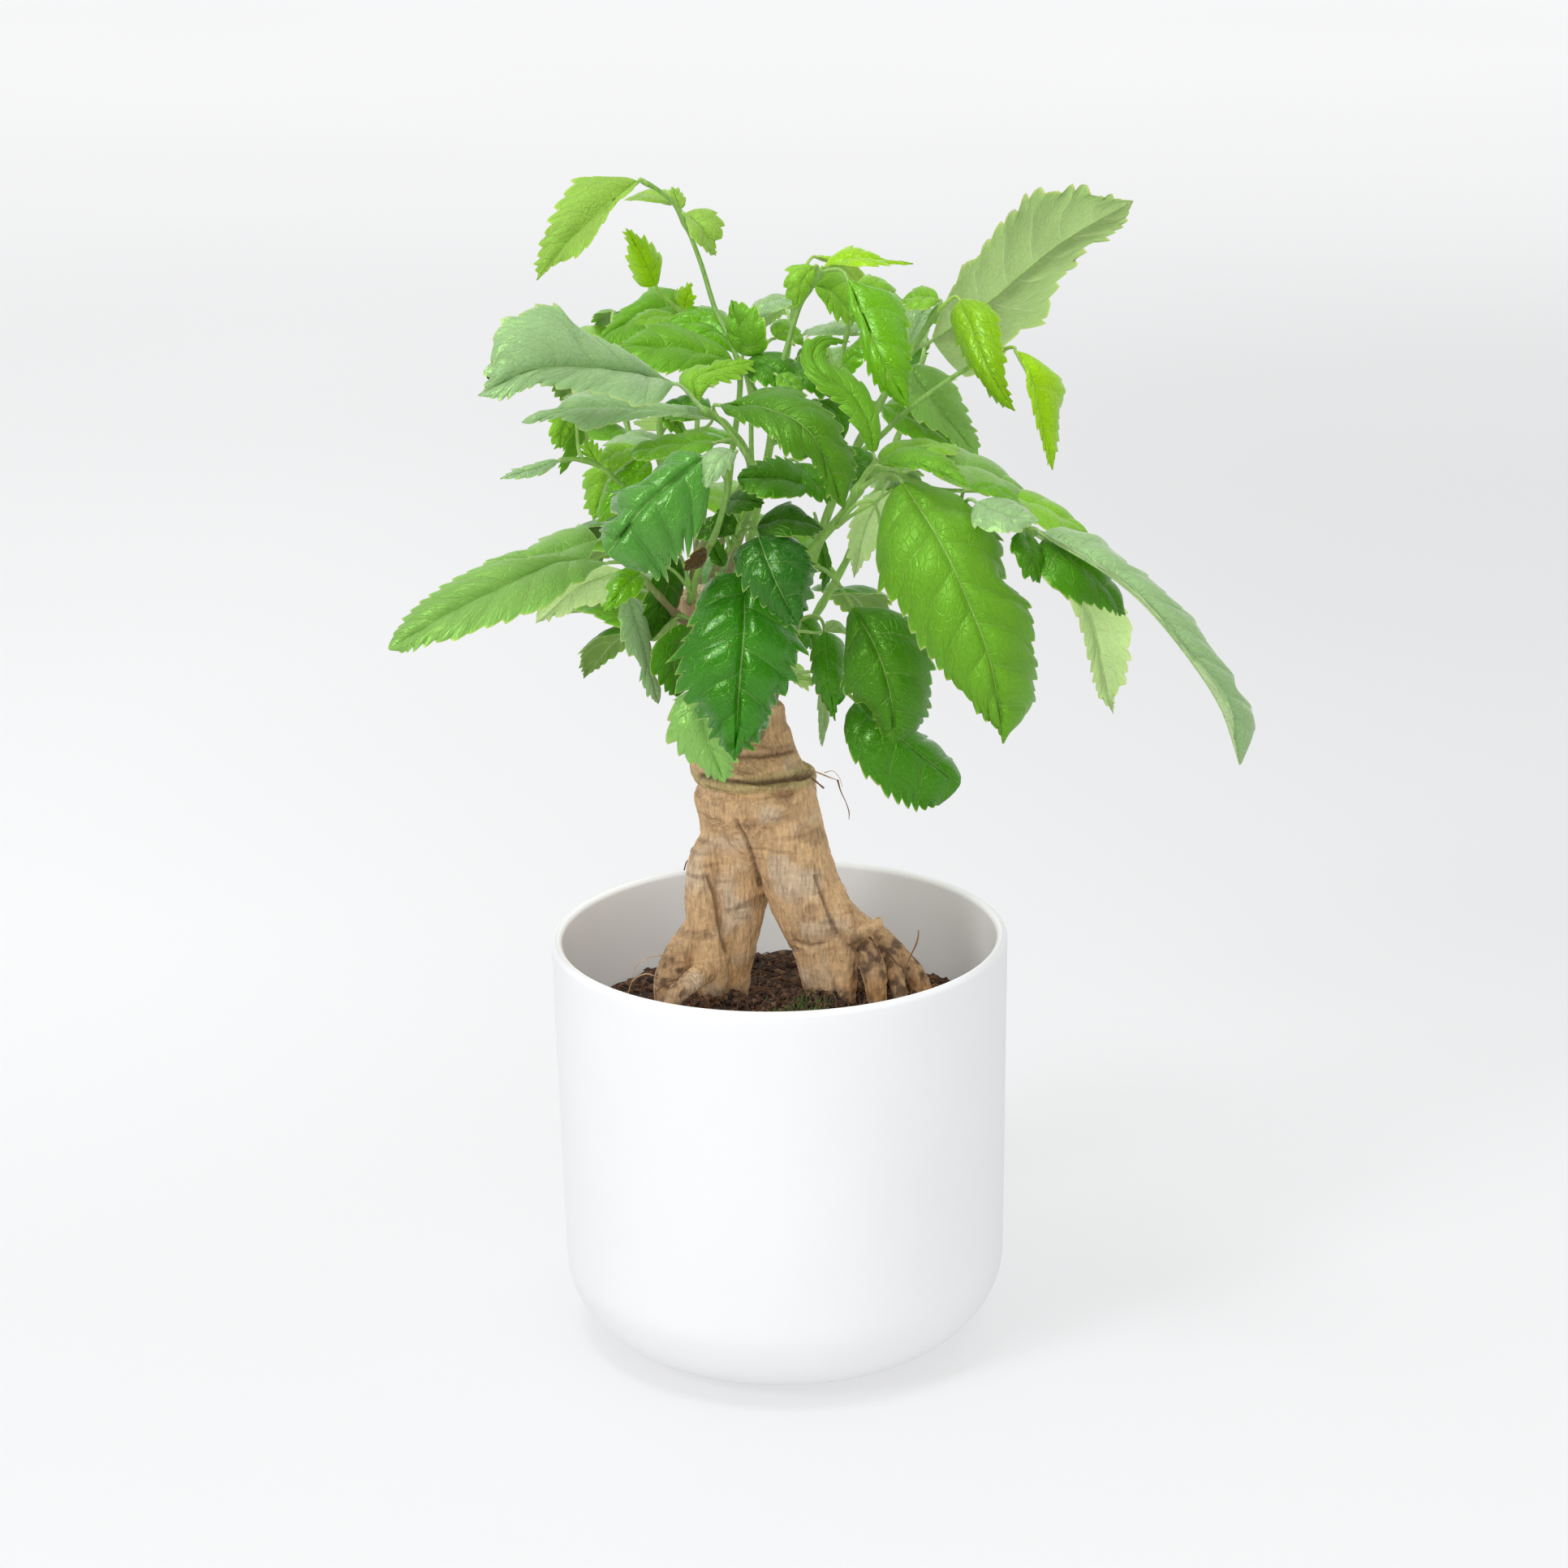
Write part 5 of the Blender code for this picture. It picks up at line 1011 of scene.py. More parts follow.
def smooth_path(points, per_span):
    """Points along a Catmull-Rom curve through the given ones."""
    ends = [points[0] * 2 - points[1], *points, points[-1] * 2 - points[-2]]
    found = []
    for a, b, c, d in zip(ends, ends[1:], ends[2:], ends[3:]):
        for step in range(per_span):
            t = step / per_span
            found.append(
                0.5 * (2 * b + (c - a) * t + (2 * a - 5 * b + 4 * c - d) * t**2
                       + (3 * b - a - 3 * c + d) * t**3)
            )
    return np.array([*found, points[-1]])


def lengths_along(path):
    steps = np.linalg.norm(np.diff(path, axis=0), axis=1)
    return np.concatenate(([0], np.cumsum(steps)))


def turned(vector, before, after):
    """The vector turned by the smallest turn that takes one direction to another."""
    axis = np.cross(before, after)
    swung = np.cross(axis, vector)
    return vector + swung + np.cross(axis, swung) / (1 + before @ after)


def rough(points, waves):
    """Smooth noise from -1 to 1 at each point; waves is how many of its waves fit a millimetre."""
    return np.array([noise.noise(Vector(p)) for p in points / MM * np.broadcast_to(waves, 3)])


def placed(name, data):
    """A new object in the scene."""
    made = bpy.data.objects.new(name, data)
    bpy.context.scene.collection.objects.link(made)
    return made


def attach(piece, slot, *nodes):
    """Makes a piece ride on the plant and lets it stand for CAD nodes. The slot is not used."""
    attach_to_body(piece, "root")
    if nodes:
        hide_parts(*nodes)


def half_width(share, leaf):
    """Half the blade's width at a share of its length, where 1 is the widest."""
    swell = leaf.blunt * leaf.crest / (1 - leaf.crest)
    left_over = np.maximum(1 - share, 0) / (1 - leaf.crest)
    return (share / leaf.crest) ** swell * left_over**leaf.blunt


def crossing(start, way, line):
    """How many times the way takes us from the start to where a line of straight runs is first
    crossed, or no number."""
    first, runs = line[:-1], np.diff(line, axis=0)
    turn = way[0] * runs[:, 1] - way[1] * runs[:, 0]
    gap = first - start
    with np.errstate(divide="ignore", invalid="ignore"):
        reach = (gap[:, 0] * runs[:, 1] - gap[:, 1] * runs[:, 0]) / turn
        along = (gap[:, 0] * way[1] - gap[:, 1] * way[0]) / turn
    found = reach[(along >= 0) & (along <= 1) & (reach > LEAST_REACH)]
    return found.min() if len(found) else math.nan


class Blade:
    """The run of a leaf blade: its midrib and the directions and lengths of its two halves."""

    def __init__(self, leaf, spine, left, right, margins=(None, None)):
        self.leaf = leaf
        path = smooth_path(spine, SPINE_STEPS)
        at = lengths_along(path)
        self.length = at[-1] / MM
        marks = np.linspace(0, at[-1], BLADE_SAMPLES + 1)
        self.points = np.stack([np.interp(marks, at, path[:, k]) for k in range(3)], axis=1)
        self.ahead = unit(np.gradient(self.points, axis=0))
        self.left = self.carry(left)
        self.right = self.carry(right)
        self.width = (np.linalg.norm(self.left[0]) + np.linalg.norm(self.right[0])) / MM
        self.wide = min(1, self.width / WIDE_LEAF)
        self.halves = [self.widths(self.left, margins[0]), self.widths(self.right, margins[1])]

    def widths(self, arms, margin):
        """Half the blade's width at each sample, where 1 is a whole arm: from its margin in the
        photograph, or else from the leaf's proportions."""
        pinch = 1 - TIP_PINCH * smoothstep(*TIP_PINCHED, BLADE_MARKS)
        usual = half_width(BLADE_MARKS, self.leaf) * pinch
        if not margin:
            return usual
        line = np.array(margin, float)
        starts = pixels_of(self.points)
        ways = pixels_of(self.points + arms) - starts
        found = np.array([crossing(start, way, line) for start, way in zip(starts, ways)])
        found[[0, -1]] = 0
        found[np.linalg.norm(ways, axis=1) < EDGE_ON] = math.nan
        found[found > WIDEST_REACH] = math.nan
        known = np.isfinite(found)
        if known.sum() < BLADE_SAMPLES / 3:
            return usual
        return np.interp(BLADE_MARKS, BLADE_MARKS[known], found[known])

    def carry(self, edge):
        """The way from the midrib to one edge at each sample, turned along with the midrib."""
        start = round(self.leaf.crest * BLADE_SAMPLES)
        arm = edge - self.points[start]
        arms = np.empty_like(self.points)
        arms[start] = arm - self.ahead[start] * (arm @ self.ahead[start])
        for step, last in ((1, BLADE_SAMPLES), (-1, 0)):
            for i in range(start + step, last + step, step):
                arms[i] = turned(arms[i - step], self.ahead[i - step], self.ahead[i])
        return arms

    def at(self, values, share):
        """The values at shares of the length, between the samples."""
        return np.stack([np.interp(share, BLADE_MARKS, values[:, k]) for k in range(3)], axis=-1)


class Shell:
    """Gathers the points and faces of one piece, and what its materials read at each point."""

    def __init__(self):
        self.points, self.quads, self.slots = [], [], []
        self.upper, self.under, self.tone, self.flat, self.vein = [], [], [], [], []
        self.sharp = []
        self.count = 0

    def add(self, points, quads, slot, upper=(1, 1, 1), under=(1, 1, 1), tone=0, flat=0, vein=0,
            sharp=False):
        """Adds a block of points with its quads. The rest are one value or one for each point. An
        edge between two sharp points isn't smoothed over."""
        n = len(points)
        self.points.append(points)
        self.quads.append(np.asarray(quads) + self.count)
        self.slots.append(np.broadcast_to(slot, len(quads)))
        for kept, value, size in ((self.upper, upper, 3), (self.under, under, 3),
                                  (self.flat, flat, 2), (self.vein, vein, 2)):
            kept.append(np.broadcast_to(value, (n, size)))
        self.tone.append(np.broadcast_to(tone, n))
        self.sharp.append(np.broadcast_to(sharp, n))
        self.count += n

    def piece(self, name, materials):
        """The mesh object of all that was added."""
        mesh = bpy.data.meshes.new(name)
        points, quads = np.concatenate(self.points), np.concatenate(self.quads)
        mesh.vertices.add(len(points))
        mesh.vertices.foreach_set("co", points.astype(np.float32).ravel())
        corners = quads.ravel()
        mesh.loops.add(len(corners))
        mesh.loops.foreach_set("vertex_index", corners.astype(np.int32))
        mesh.polygons.add(len(quads))
        mesh.polygons.foreach_set("loop_start", np.arange(0, len(corners), 4, dtype=np.int32))
        mesh.polygons.foreach_set("material_index", np.concatenate(self.slots).astype(np.int32))
        mesh.update(calc_edges=True)
        paint_points(mesh, "upper", np.concatenate(self.upper))
        paint_points(mesh, "under", np.concatenate(self.under))
        tone = mesh.attributes.new("tone", "FLOAT", "POINT")
        tone.data.foreach_set("value", np.concatenate(self.tone).astype(np.float32))
        for label, values in (("flat", self.flat), ("vein", self.vein)):
            layer = mesh.uv_layers.new(name=label)
            uv = np.concatenate(values)[corners]
            layer.data.foreach_set("uv", uv.astype(np.float32).ravel())
        mesh.shade_smooth()
        ends = np.empty(len(mesh.edges) * 2, np.int32)
        mesh.edges.foreach_get("vertices", ends)
        sharp = np.concatenate(self.sharp)[ends].reshape(-1, 2).all(axis=1)
        mesh.attributes.new("sharp_edge", "BOOLEAN", "EDGE").data.foreach_set("value", sharp)
        for material in materials:
            mesh.materials.append(material)
        return placed(name, mesh)


def paint_points(mesh, name, colours):
    """Writes a colour for each point of a mesh, which its material reads."""
    layer = mesh.attributes.get(name) or mesh.attributes.new(name, "FLOAT_COLOR", "POINT")
    rgba = np.column_stack((colours, np.ones(len(colours))))
    layer.data.foreach_set("color", rgba.astype(np.float32).ravel())


def grid_quads(rows, columns, closed=False):
    """Quads of a grid of points, row after row; closed joins the last column to the first."""
    row, column = np.meshgrid(np.arange(rows - 1), np.arange(columns - (not closed)), indexing="ij")
    here = row * columns + column
    beside = row * columns + (column + 1) % columns
    return np.stack((here, beside, beside + columns, here + columns), axis=-1).reshape(-1, 4)


def closed_quads(rings, sides):
    """Quads of rings of an even number of points, one after another, with both ends closed."""
    fan = np.array([(0, k, k + 1, k + 2) for k in range(1, sides - 2, 2)])
    return np.concatenate((grid_quads(rings, sides, closed=True), fan[:, ::-1],
                           fan + (rings - 1) * sides))


def tube(path, radii, sides):
    """The points of rings round a path."""
    along = unit(np.gradient(path, axis=0))
    tops = [unit(np.cross(along[0], (0.31, 0.52, 0.79)))]
    for before, after in zip(along, along[1:]):
        top = turned(tops[-1], before, after)
        tops.append(unit(top - after * (top @ after)))
    tops = np.array(tops)
    outs = np.cross(along, tops)
    angle = np.linspace(0, 2 * math.pi, sides, endpoint=False)
    ring = tops[:, None] * np.cos(angle)[:, None] + outs[:, None] * np.sin(angle)[:, None]
    return (path[:, None] + ring * radii[:, None, None]).reshape(-1, 3)


def add_tube(shell, path, radii, sides, slot, colour, tone=0, point=0.5):
    """Adds a closed tube with an even number of sides. Its ends are drawn in to this share of
    their radius beyond the path. tone is one value or one for each place of the path."""
    path, radii = np.asarray(path), np.asarray(radii, float)
    ends = unit(path[[0, -1]] - path[[1, -2]]) * radii[[0, -1], None] * point
    path = np.concatenate((path[:1] + ends[:1], path, path[-1:] + ends[1:]))
    radii = np.concatenate((radii[:1] * END_SHARE, radii, radii[-1:] * END_SHARE))
    along = np.repeat(lengths_along(path), sides) / (100 * MM)
    around = np.tile(np.arange(sides) / sides, len(path))
    tones = np.broadcast_to(tone, len(path) - 2)
    tones = np.repeat(np.concatenate((tones[:1], tones, tones[-1:])), sides)
    shell.add(tube(path, radii, sides), closed_quads(len(path), sides), slot, upper=colour,
              tone=tones, flat=np.column_stack((around, along)))


def stalk_start(paths, foot, back):
    """Where a leaf stalk leaves the nearest stem, some way back from its nearest point, and the
    stem's direction there."""
    path = min(paths, key=lambda p: np.linalg.norm(p - foot, axis=1).min())
    lengths = lengths_along(path)
    nearest = np.linalg.norm(path - foot, axis=1).argmin()
    wanted = max(lengths[nearest] - back * MM, CLEAR_OF_SOCKET * MM)
    index = np.abs(lengths[:-1] - wanted).argmin()
    return path[index], unit(path[index + 1] - path[index])


def toothed(rows, side_shift, share, depth, draw):
    """How far the margin stands out at each row: teeth that rise to their points and drop."""
    per_tooth = len(TOOTH_ROWS)
    count = rows // per_tooth + 2
    size = np.array([draw.uniform(*TOOTH_VARIES) for _ in range(count)])
    row = np.arange(rows + 1) + side_shift
    rise = np.array(TOOTH_ROWS)[row % per_tooth] * size[row // per_tooth]
    return rise * depth * smoothstep(*TEETH_GROW, share) * (1 - smoothstep(*TEETH_FADE, share))


def within_ends(share):
    """1 along a blade, easing to 0 at its foot and its tip."""
    return smoothstep(0, FOOT_EASE, share) * smoothstep(0, TIP_EASE, 1 - share)


def blade_frame(blade, t, share):
    """At places of a blade: its midrib, the ways ahead, out and up from there, and how many
    millimetres the margin lies from it. t runs from -1 at the left margin to 1 at the right."""
    ahead = unit(blade.at(blade.ahead, share))
    left, right = blade.at(blade.left, share), blade.at(blade.right, share)
    is_left = (t < 0)[..., None]
    arm = np.where(is_left, left, right)
    middle_up = unit(np.cross(right - left, ahead))
    side_up = unit(np.cross(np.where(is_left, -left, right), ahead))
    eased = smoothstep(*SIDES_TURN, np.abs(t))[..., None]
    up = unit(middle_up * (1 - eased) + side_up * eased)
    halves = [np.interp(share, BLADE_MARKS, half) for half in blade.halves]
    reach = np.linalg.norm(arm, axis=2) / MM * np.where(t < 0, *halves)
    return blade.at(blade.points, share), ahead, unit(arm), up, np.maximum(reach, TIP_HALF_WIDTH)


def blade_relief(blade, look, t, r, share, local, phase, draw):
    """How far a blade's upper side rises at each place, in millimetres: a sunken midrib, pillows
    and quilting between the veins, and waves toward the margins."""
    side = np.abs(t)
    off_midrib = side * local
    body = within_ends(share)
    pillow = np.abs(np.sin(math.pi * phase)) ** PILLOW_FULLNESS
    quilt = np.abs(np.sin(math.pi * (phase * QUILT_ROWS + 0.4 * np.sin(off_midrib * 0.9))))
    quilt = quilt * np.abs(np.sin(math.pi * (off_midrib / QUILT_WIDTH + 0.3 * phase)))
    quilt = quilt**QUILT_FULLNESS
    near_margin = 1 - PILLOWS_LOST * smoothstep(*PILLOWS_SINK, side)
    window = smoothstep(*PILLOWS_RISE, side) * near_margin * body
    starts = [draw.uniform(0, 2 * math.pi) for _ in range(4)]
    start = np.where(t < 0, starts[0], starts[1])
    turns = [2 * math.pi * turn * r for turn in (*WAVE_TURNS, ROLL_TURNS)]
    wave = np.sin(turns[0] + start) + 0.5 * np.sin(turns[1] + start)
    roll = np.sin(turns[2] + ROLL_SLANT * t + starts[2]) * side
    height = CROWN * local * 4 * side * (1 - side)
    height = height - MIDRIB_SINK * blade.wide * np.exp(-((off_midrib / MIDRIB_WIDTH) ** 2)) * body
    height = height + look.pillow * blade.wide**0.6 * pillow * window
    height = height + look.quilt * blade.wide**0.5 * quilt * window
    waved = WAVE_SHARE * wave * side**3 + ROLL_SHARE * roll
    return height + look.wave * blade.wide * waved * body


def add_blade(shell, blade, look, draw):
    """Adds a leaf blade: a thin closed sheet, its upper side in slot 0 and underside in slot 1."""
    teeth = round(blade.length / (TOOTH_STEP + blade.length * TOOTH_STEP_GROWTH))
    rows = max(LEAST_TEETH, teeth) * len(TOOTH_ROWS)
    halves = np.array(PLAIN_COLUMNS if blade.width < NARROW_LEAF else FINE_COLUMNS)
    t = np.concatenate((-halves[:0:-1], halves))[None, :]
    side = np.abs(t)
    r = np.linspace(BLADE_FOOT, BLADE_TIP, rows + 1)[:, None]
    share = r + VEIN_ADVANCE * side**VEIN_BEND * 4 * r * (1 - r)
    centre, ahead, out, up, local = blade_frame(blade, t, share)

    depth = (TOOTH_SIZE + TOOTH_SIZE_GROWTH * blade.width) * look.teeth
    shifts = draw.randrange(len(TOOTH_ROWS)), draw.randrange(len(TOOTH_ROWS))
    margins = [toothed(rows, shift, share[:, edge], depth, draw)[:, None]
               for shift, edge in zip(shifts, (0, -1))]
    tooth = np.where(t < 0, *margins) * smoothstep(TOOTHED_FROM, 1, side)
    veins = min(max(round(blade.length / VEIN_STEP), VEIN_COUNTS[0]), VEIN_COUNTS[1])
    phase = veins * r + np.where(t < 0, 0, draw.uniform(*VEIN_OFFSET))
    height = blade_relief(blade, look, t, r, share, local, phase, draw)
    place = centre + out * ((side * local + tooth) * MM)[..., None]
    place = place + ahead * (tooth * TOOTH_LEAN * MM)[..., None] + up * (height * MM)[..., None]

    normal = unit(np.cross(np.gradient(place, axis=1), np.gradient(place, axis=0)))
    border = np.ones(share.shape, bool)
    border[1:-1, 1:-1] = False
    half = BLADE_THICKNESS / 2 * (1 - side**6) * np.where(border, 0, 1) * MM
    top = (place + normal * half[..., None]).reshape(-1, 3)
    bottom = (place - normal * half[..., None]).reshape(-1, 3)
    inner = ~border.ravel()
    index_bottom = np.arange(len(top))
    index_bottom[inner] = len(top) + np.arange(inner.sum())
    quads = grid_quads(*share.shape)
    flat = np.stack((t * local, r * blade.length + 0 * t), axis=-1).reshape(-1, 2) / 100
    vein = np.stack((t * 0.5 + 0.5 + 0 * r, phase * 0.1), axis=-1).reshape(-1, 2)
    flat = flat + np.array((draw.uniform(1, 9), draw.uniform(1, 9)))
    shell.add(
        np.concatenate((top, bottom[inner])),
        np.concatenate((quads, index_bottom[quads][:, ::-1])),
        np.repeat((0, 1), len(quads)),
        upper=look.upper, under=look.under, tone=look.gloss,
        flat=np.concatenate((flat, flat[inner])), vein=np.concatenate((vein, vein[inner])),
        sharp=np.concatenate((~inner, np.zeros(inner.sum(), bool))),
    )


def add_stalk(shell, blade, start, stem_direction, look):
    """Adds a leaf stalk, which runs on under the blade as its midrib."""
    foot, ahead = blade.points[0], blade.ahead[0]
    span = np.linalg.norm(foot - start)
    leaving = stem_direction * STALK_ALONG_STEM + unit(foot - start) * (1 - STALK_ALONG_STEM)
    lead = start + leaving * span * STALK_LEAD
    follow = foot - ahead * span * STALK_FOLLOW
    t = np.linspace(0, 1, STALK_SAMPLES, endpoint=False)[:, None]
    stalk = (start * (1 - t) ** 3 + lead * 3 * t * (1 - t) ** 2
             + follow * 3 * t**2 * (1 - t) + foot * t**3)
    share = np.linspace(0, BLADE_TIP, MIDRIB_SAMPLES)
    up = unit(np.cross(blade.right - blade.left, blade.ahead))
    radius = (STALK_RADIUS + blade.width * STALK_SWELL) * MM
    rib_radius = radius * MIDRIB_SLENDER * (1 - share) ** MIDRIB_TAPER + MIDRIB_TIP_RADIUS * MM
    sink = MIDRIB_SINK * blade.wide * within_ends(share) * MM
    below = (sink + rib_radius * MIDRIB_BELOW)[:, None]
    rib = blade.at(blade.points, share) - blade.at(up, share) * below
    foot_swell = 1 + STALK_FOOT_SWELL * np.exp(-t[:, 0] * span / (STALK_FOOT_LENGTH * MM))
    stalk_radii = radius * foot_swell * (1 - STALK_TAPER * t[:, 0])
    colour = np.array(STALK_GREEN) * 0.6 + np.array(look.under) * 0.4
    add_tube(shell, np.concatenate((stalk, rib)), np.concatenate((stalk_radii, rib_radius)),
             STALK_SIDES, 2, colour)


def add_stem(shell, path, radii, starts, woody):
    """Adds a stem with a slight swelling at each leaf stalk, woody near the trunk."""
    lengths = lengths_along(path)
    size = np.interp(lengths, (0, lengths[-1]), radii) * STEM_SLENDER * MM
    for start in starts:
        gap = np.linalg.norm(path - start, axis=1) / (STEM_NODE_LENGTH * MM)
        size = size + STEM_NODE_SWELL * MM * np.exp(-(gap**2))
    wood = woody * (1 - smoothstep(*WOOD_FADES, lengths / (WOODY_LENGTH * MM)))
    add_tube(shell, path, size, STEM_SIDES, 2, STEM_GREEN, wood)


def add_branch(name, stems, radii, blades, draw, materials):
    """One leafy branch, which stands for its CAD node."""
    shell = Shell()
    paths = [smooth_path(stem, STALK_START_STEPS) for stem in stems]
    starts = []
    for blade, letter in zip(blades, LEAF_LOOKS[name]):
        start, stem_direction = stalk_start(paths, blade.points[0], blade.leaf.back)
        starts.append(start)
        add_blade(shell, blade, LOOKS[letter], draw)
        add_stalk(shell, blade, start, stem_direction, LOOKS[letter])
    if name == "branch_right":
        for stalk in LOOSE_STALKS:
            path = smooth_path(sight(stalk), THREAD_STEPS)
            radii_along = np.linspace(*LOOSE_STALK_RADII, len(path)) * MM
            add_tube(shell, path, radii_along, STALK_SIDES, 2, STALK_GREEN)
    for i, (stem, pair) in enumerate(zip(stems, radii)):
        add_stem(shell, smooth_path(stem, STEM_STEPS), pair, starts, woody=i == 0)
    slot = "young_leaves" if name in YOUNG_BRANCHES else "mature_leaves"
    piece = shell.piece(name.replace("branch", "foliage"), materials)
    attach(piece, "shaded_leaves" if "back" in name else slot, name)


def read_blade(leaf, margins):
    """The blade of a leaf whose places are readings off the photograph."""
    foot, tip = leaf.spine[0][:2], leaf.spine[-1][:2]
    margins = [margin and (foot, *margin, tip) for margin in margins]
    return Blade(leaf, sight(leaf.spine), sight(leaf.left), sight(leaf.right), margins)


def back_blades(stem, count, size, draw):
    """Blades for a branch that the photograph doesn't show, the same as in the CAD source."""
    path = smooth_path(stem, THREAD_STEPS)
    found = []
    for i in range(count):
        share = BACK_LEAVES_FROM + (1 - BACK_LEAVES_FROM) * i / (count - 1)
        on_stem = Vector(path[int(share * (len(path) - 1))])
        outward = Vector((on_stem.x, on_stem.y, 0)).normalized()
        spun = Matrix.Rotation(GOLDEN_ANGLE * i, 3, "Z") @ outward
        heading = outward + spun * BACK_LEAF_SPREAD
        heading.y = max(heading.y, BACK_LEAST_BACKWARD)
        heading.normalize()
        slope = math.radians(draw.uniform(*BACK_DROOP))
        length = draw.uniform(*BACK_LEAF_LENGTH) * size * (1 - BACK_LEAF_TAPER * i / count) * MM
        stalk = draw.uniform(*BACK_STALK) * size * MM
        least, most = [(x * MM - on_stem.x) / (length + stalk) for x in BACK_TIPS_WITHIN]
        heading.x = min(max(heading.x, least), most)
        heading.y = math.sqrt(1 - heading.x**2)
        foot = on_stem + heading * stalk + Vector((0, 0, BACK_STALK_RISE * size * MM))
        along = heading * math.cos(slope) + Vector((0, 0, math.sin(slope)))
        side = along.cross(Vector((0, 0, 1))).normalized()
        up = side.cross(along)
        middle = foot + along * length / 2 + up * length * BACK_LEAF_ARCH
        half = side * length * BACK_LEAF_SLENDER / 2
        spine = np.array([foot, middle, foot + along * length])
        plain = Leaf(None, None, None)
        found.append(Blade(plain, spine, np.array(middle - half), np.array(middle + half)))
    return found


def build_foliage():
    materials = [blade_material("upper"), blade_material("under"), stem_material()]
    draw = random.Random(SCENE_SEED)
    for name, branch in BRANCHES.items():
        leaves = [*branch.leaves, DRY_LEAF] if name == "branch_front" else branch.leaves
        blades = [read_blade(leaf, MARGINS.get((name, i), (None, None)))
                  for i, leaf in enumerate(leaves)]
        stems = [sight(stem) for stem in branch.stems]
        add_branch(name, stems, branch.radii, blades, draw, materials)
    back_draw = random.Random(BACK_SEED)
    for name, (stem, count, size) in BACK_BRANCHES.items():
        points = np.array(stem) * MM
        blades = back_blades(points, count, size, back_draw)
        add_branch(name, [points], [BACK_STEM_RADII], blades, draw, materials)


def near_line(places, line):
    """How far places lie from a line of straight runs."""
    best = np.full(len(places), np.inf)
    line = np.array(line, float)
    for a, b in zip(line, line[1:]):
        share = np.clip((places - a) @ (b - a) / ((b - a) @ (b - a)), 0, 1)
        gap = np.linalg.norm(places - a - share[:, None] * (b - a), axis=1)
        best = np.minimum(best, gap)
    return best


def grown_trunk():
    """The limbs grown together into one piece."""
    shell = Shell()
    for limb in TRUNK_LIMBS.values():
        limb = np.array(limb, float)
        run = smooth_path(np.column_stack((sight(limb[:, :3]), limb[:, 3] * MM)), LIMB_STEPS)
        add_tube(shell, run[:, :3], run[:, 3], LIMB_SIDES, 0, BARK_TAN, point=0.05)
    piece = shell.piece("bark", [bark_material()])
    grown = piece.modifiers.new("Grown together", "REMESH")
    grown.mode = "VOXEL"
    grown.voxel_size = TRUNK_VOXEL * MM
    soft = piece.modifiers.new("Soften", "SMOOTH")
    soft.factor = 0.5
    soft.iterations = TRUNK_SMOOTHING
    graph = bpy.context.evaluated_depsgraph_get()
    mesh = bpy.data.meshes.new_from_object(piece.evaluated_get(graph))
    piece.modifiers.clear()
    piece.data = mesh
    return piece


def trunk_relief(points, seen, facing, scar_gaps):
    """How far the bark rises at each point, in millimetres, and what the painted shade in the colours needs
    of that: how deep the creases are, the ridges and the wrinkles."""
    sunk = np.zeros(len(points))
    for line, depth, width in TRUNK_CREASES.values():
        gap = near_line(seen, line) / width
        sunk = np.maximum(sunk, depth * np.exp(-(gap**2)) * facing)
    raised = np.zeros(len(points))
    for gap, (_, _, height) in zip(scar_gaps, TRUNK_SCARS):
        ring = np.exp(-((gap - 1) ** 2) * 8) - 0.6 * np.exp(-(gap**2) * 4)
        raised = raised + height * ring * facing
    ridge = 1 - 2 * np.abs(rough(points, RIDGE_WAVES))
    lump = rough(points, LUMP_WAVES)
    wrinkle = smoothstep(*WRINKLED, rough(points + 3 * MM, WRINKLE_WAVES))
    shift = BARK_RIDGE * ridge + BARK_LUMP * lump + BARK_GRAIN * rough(points, GRAIN_WAVES)
    shift = shift + raised - sunk
    shift = shift - BARK_WRINKLE * wrinkle * (1 - smoothstep(0, 0.6, np.abs(lump)))
    return shift, sunk, ridge, wrinkle


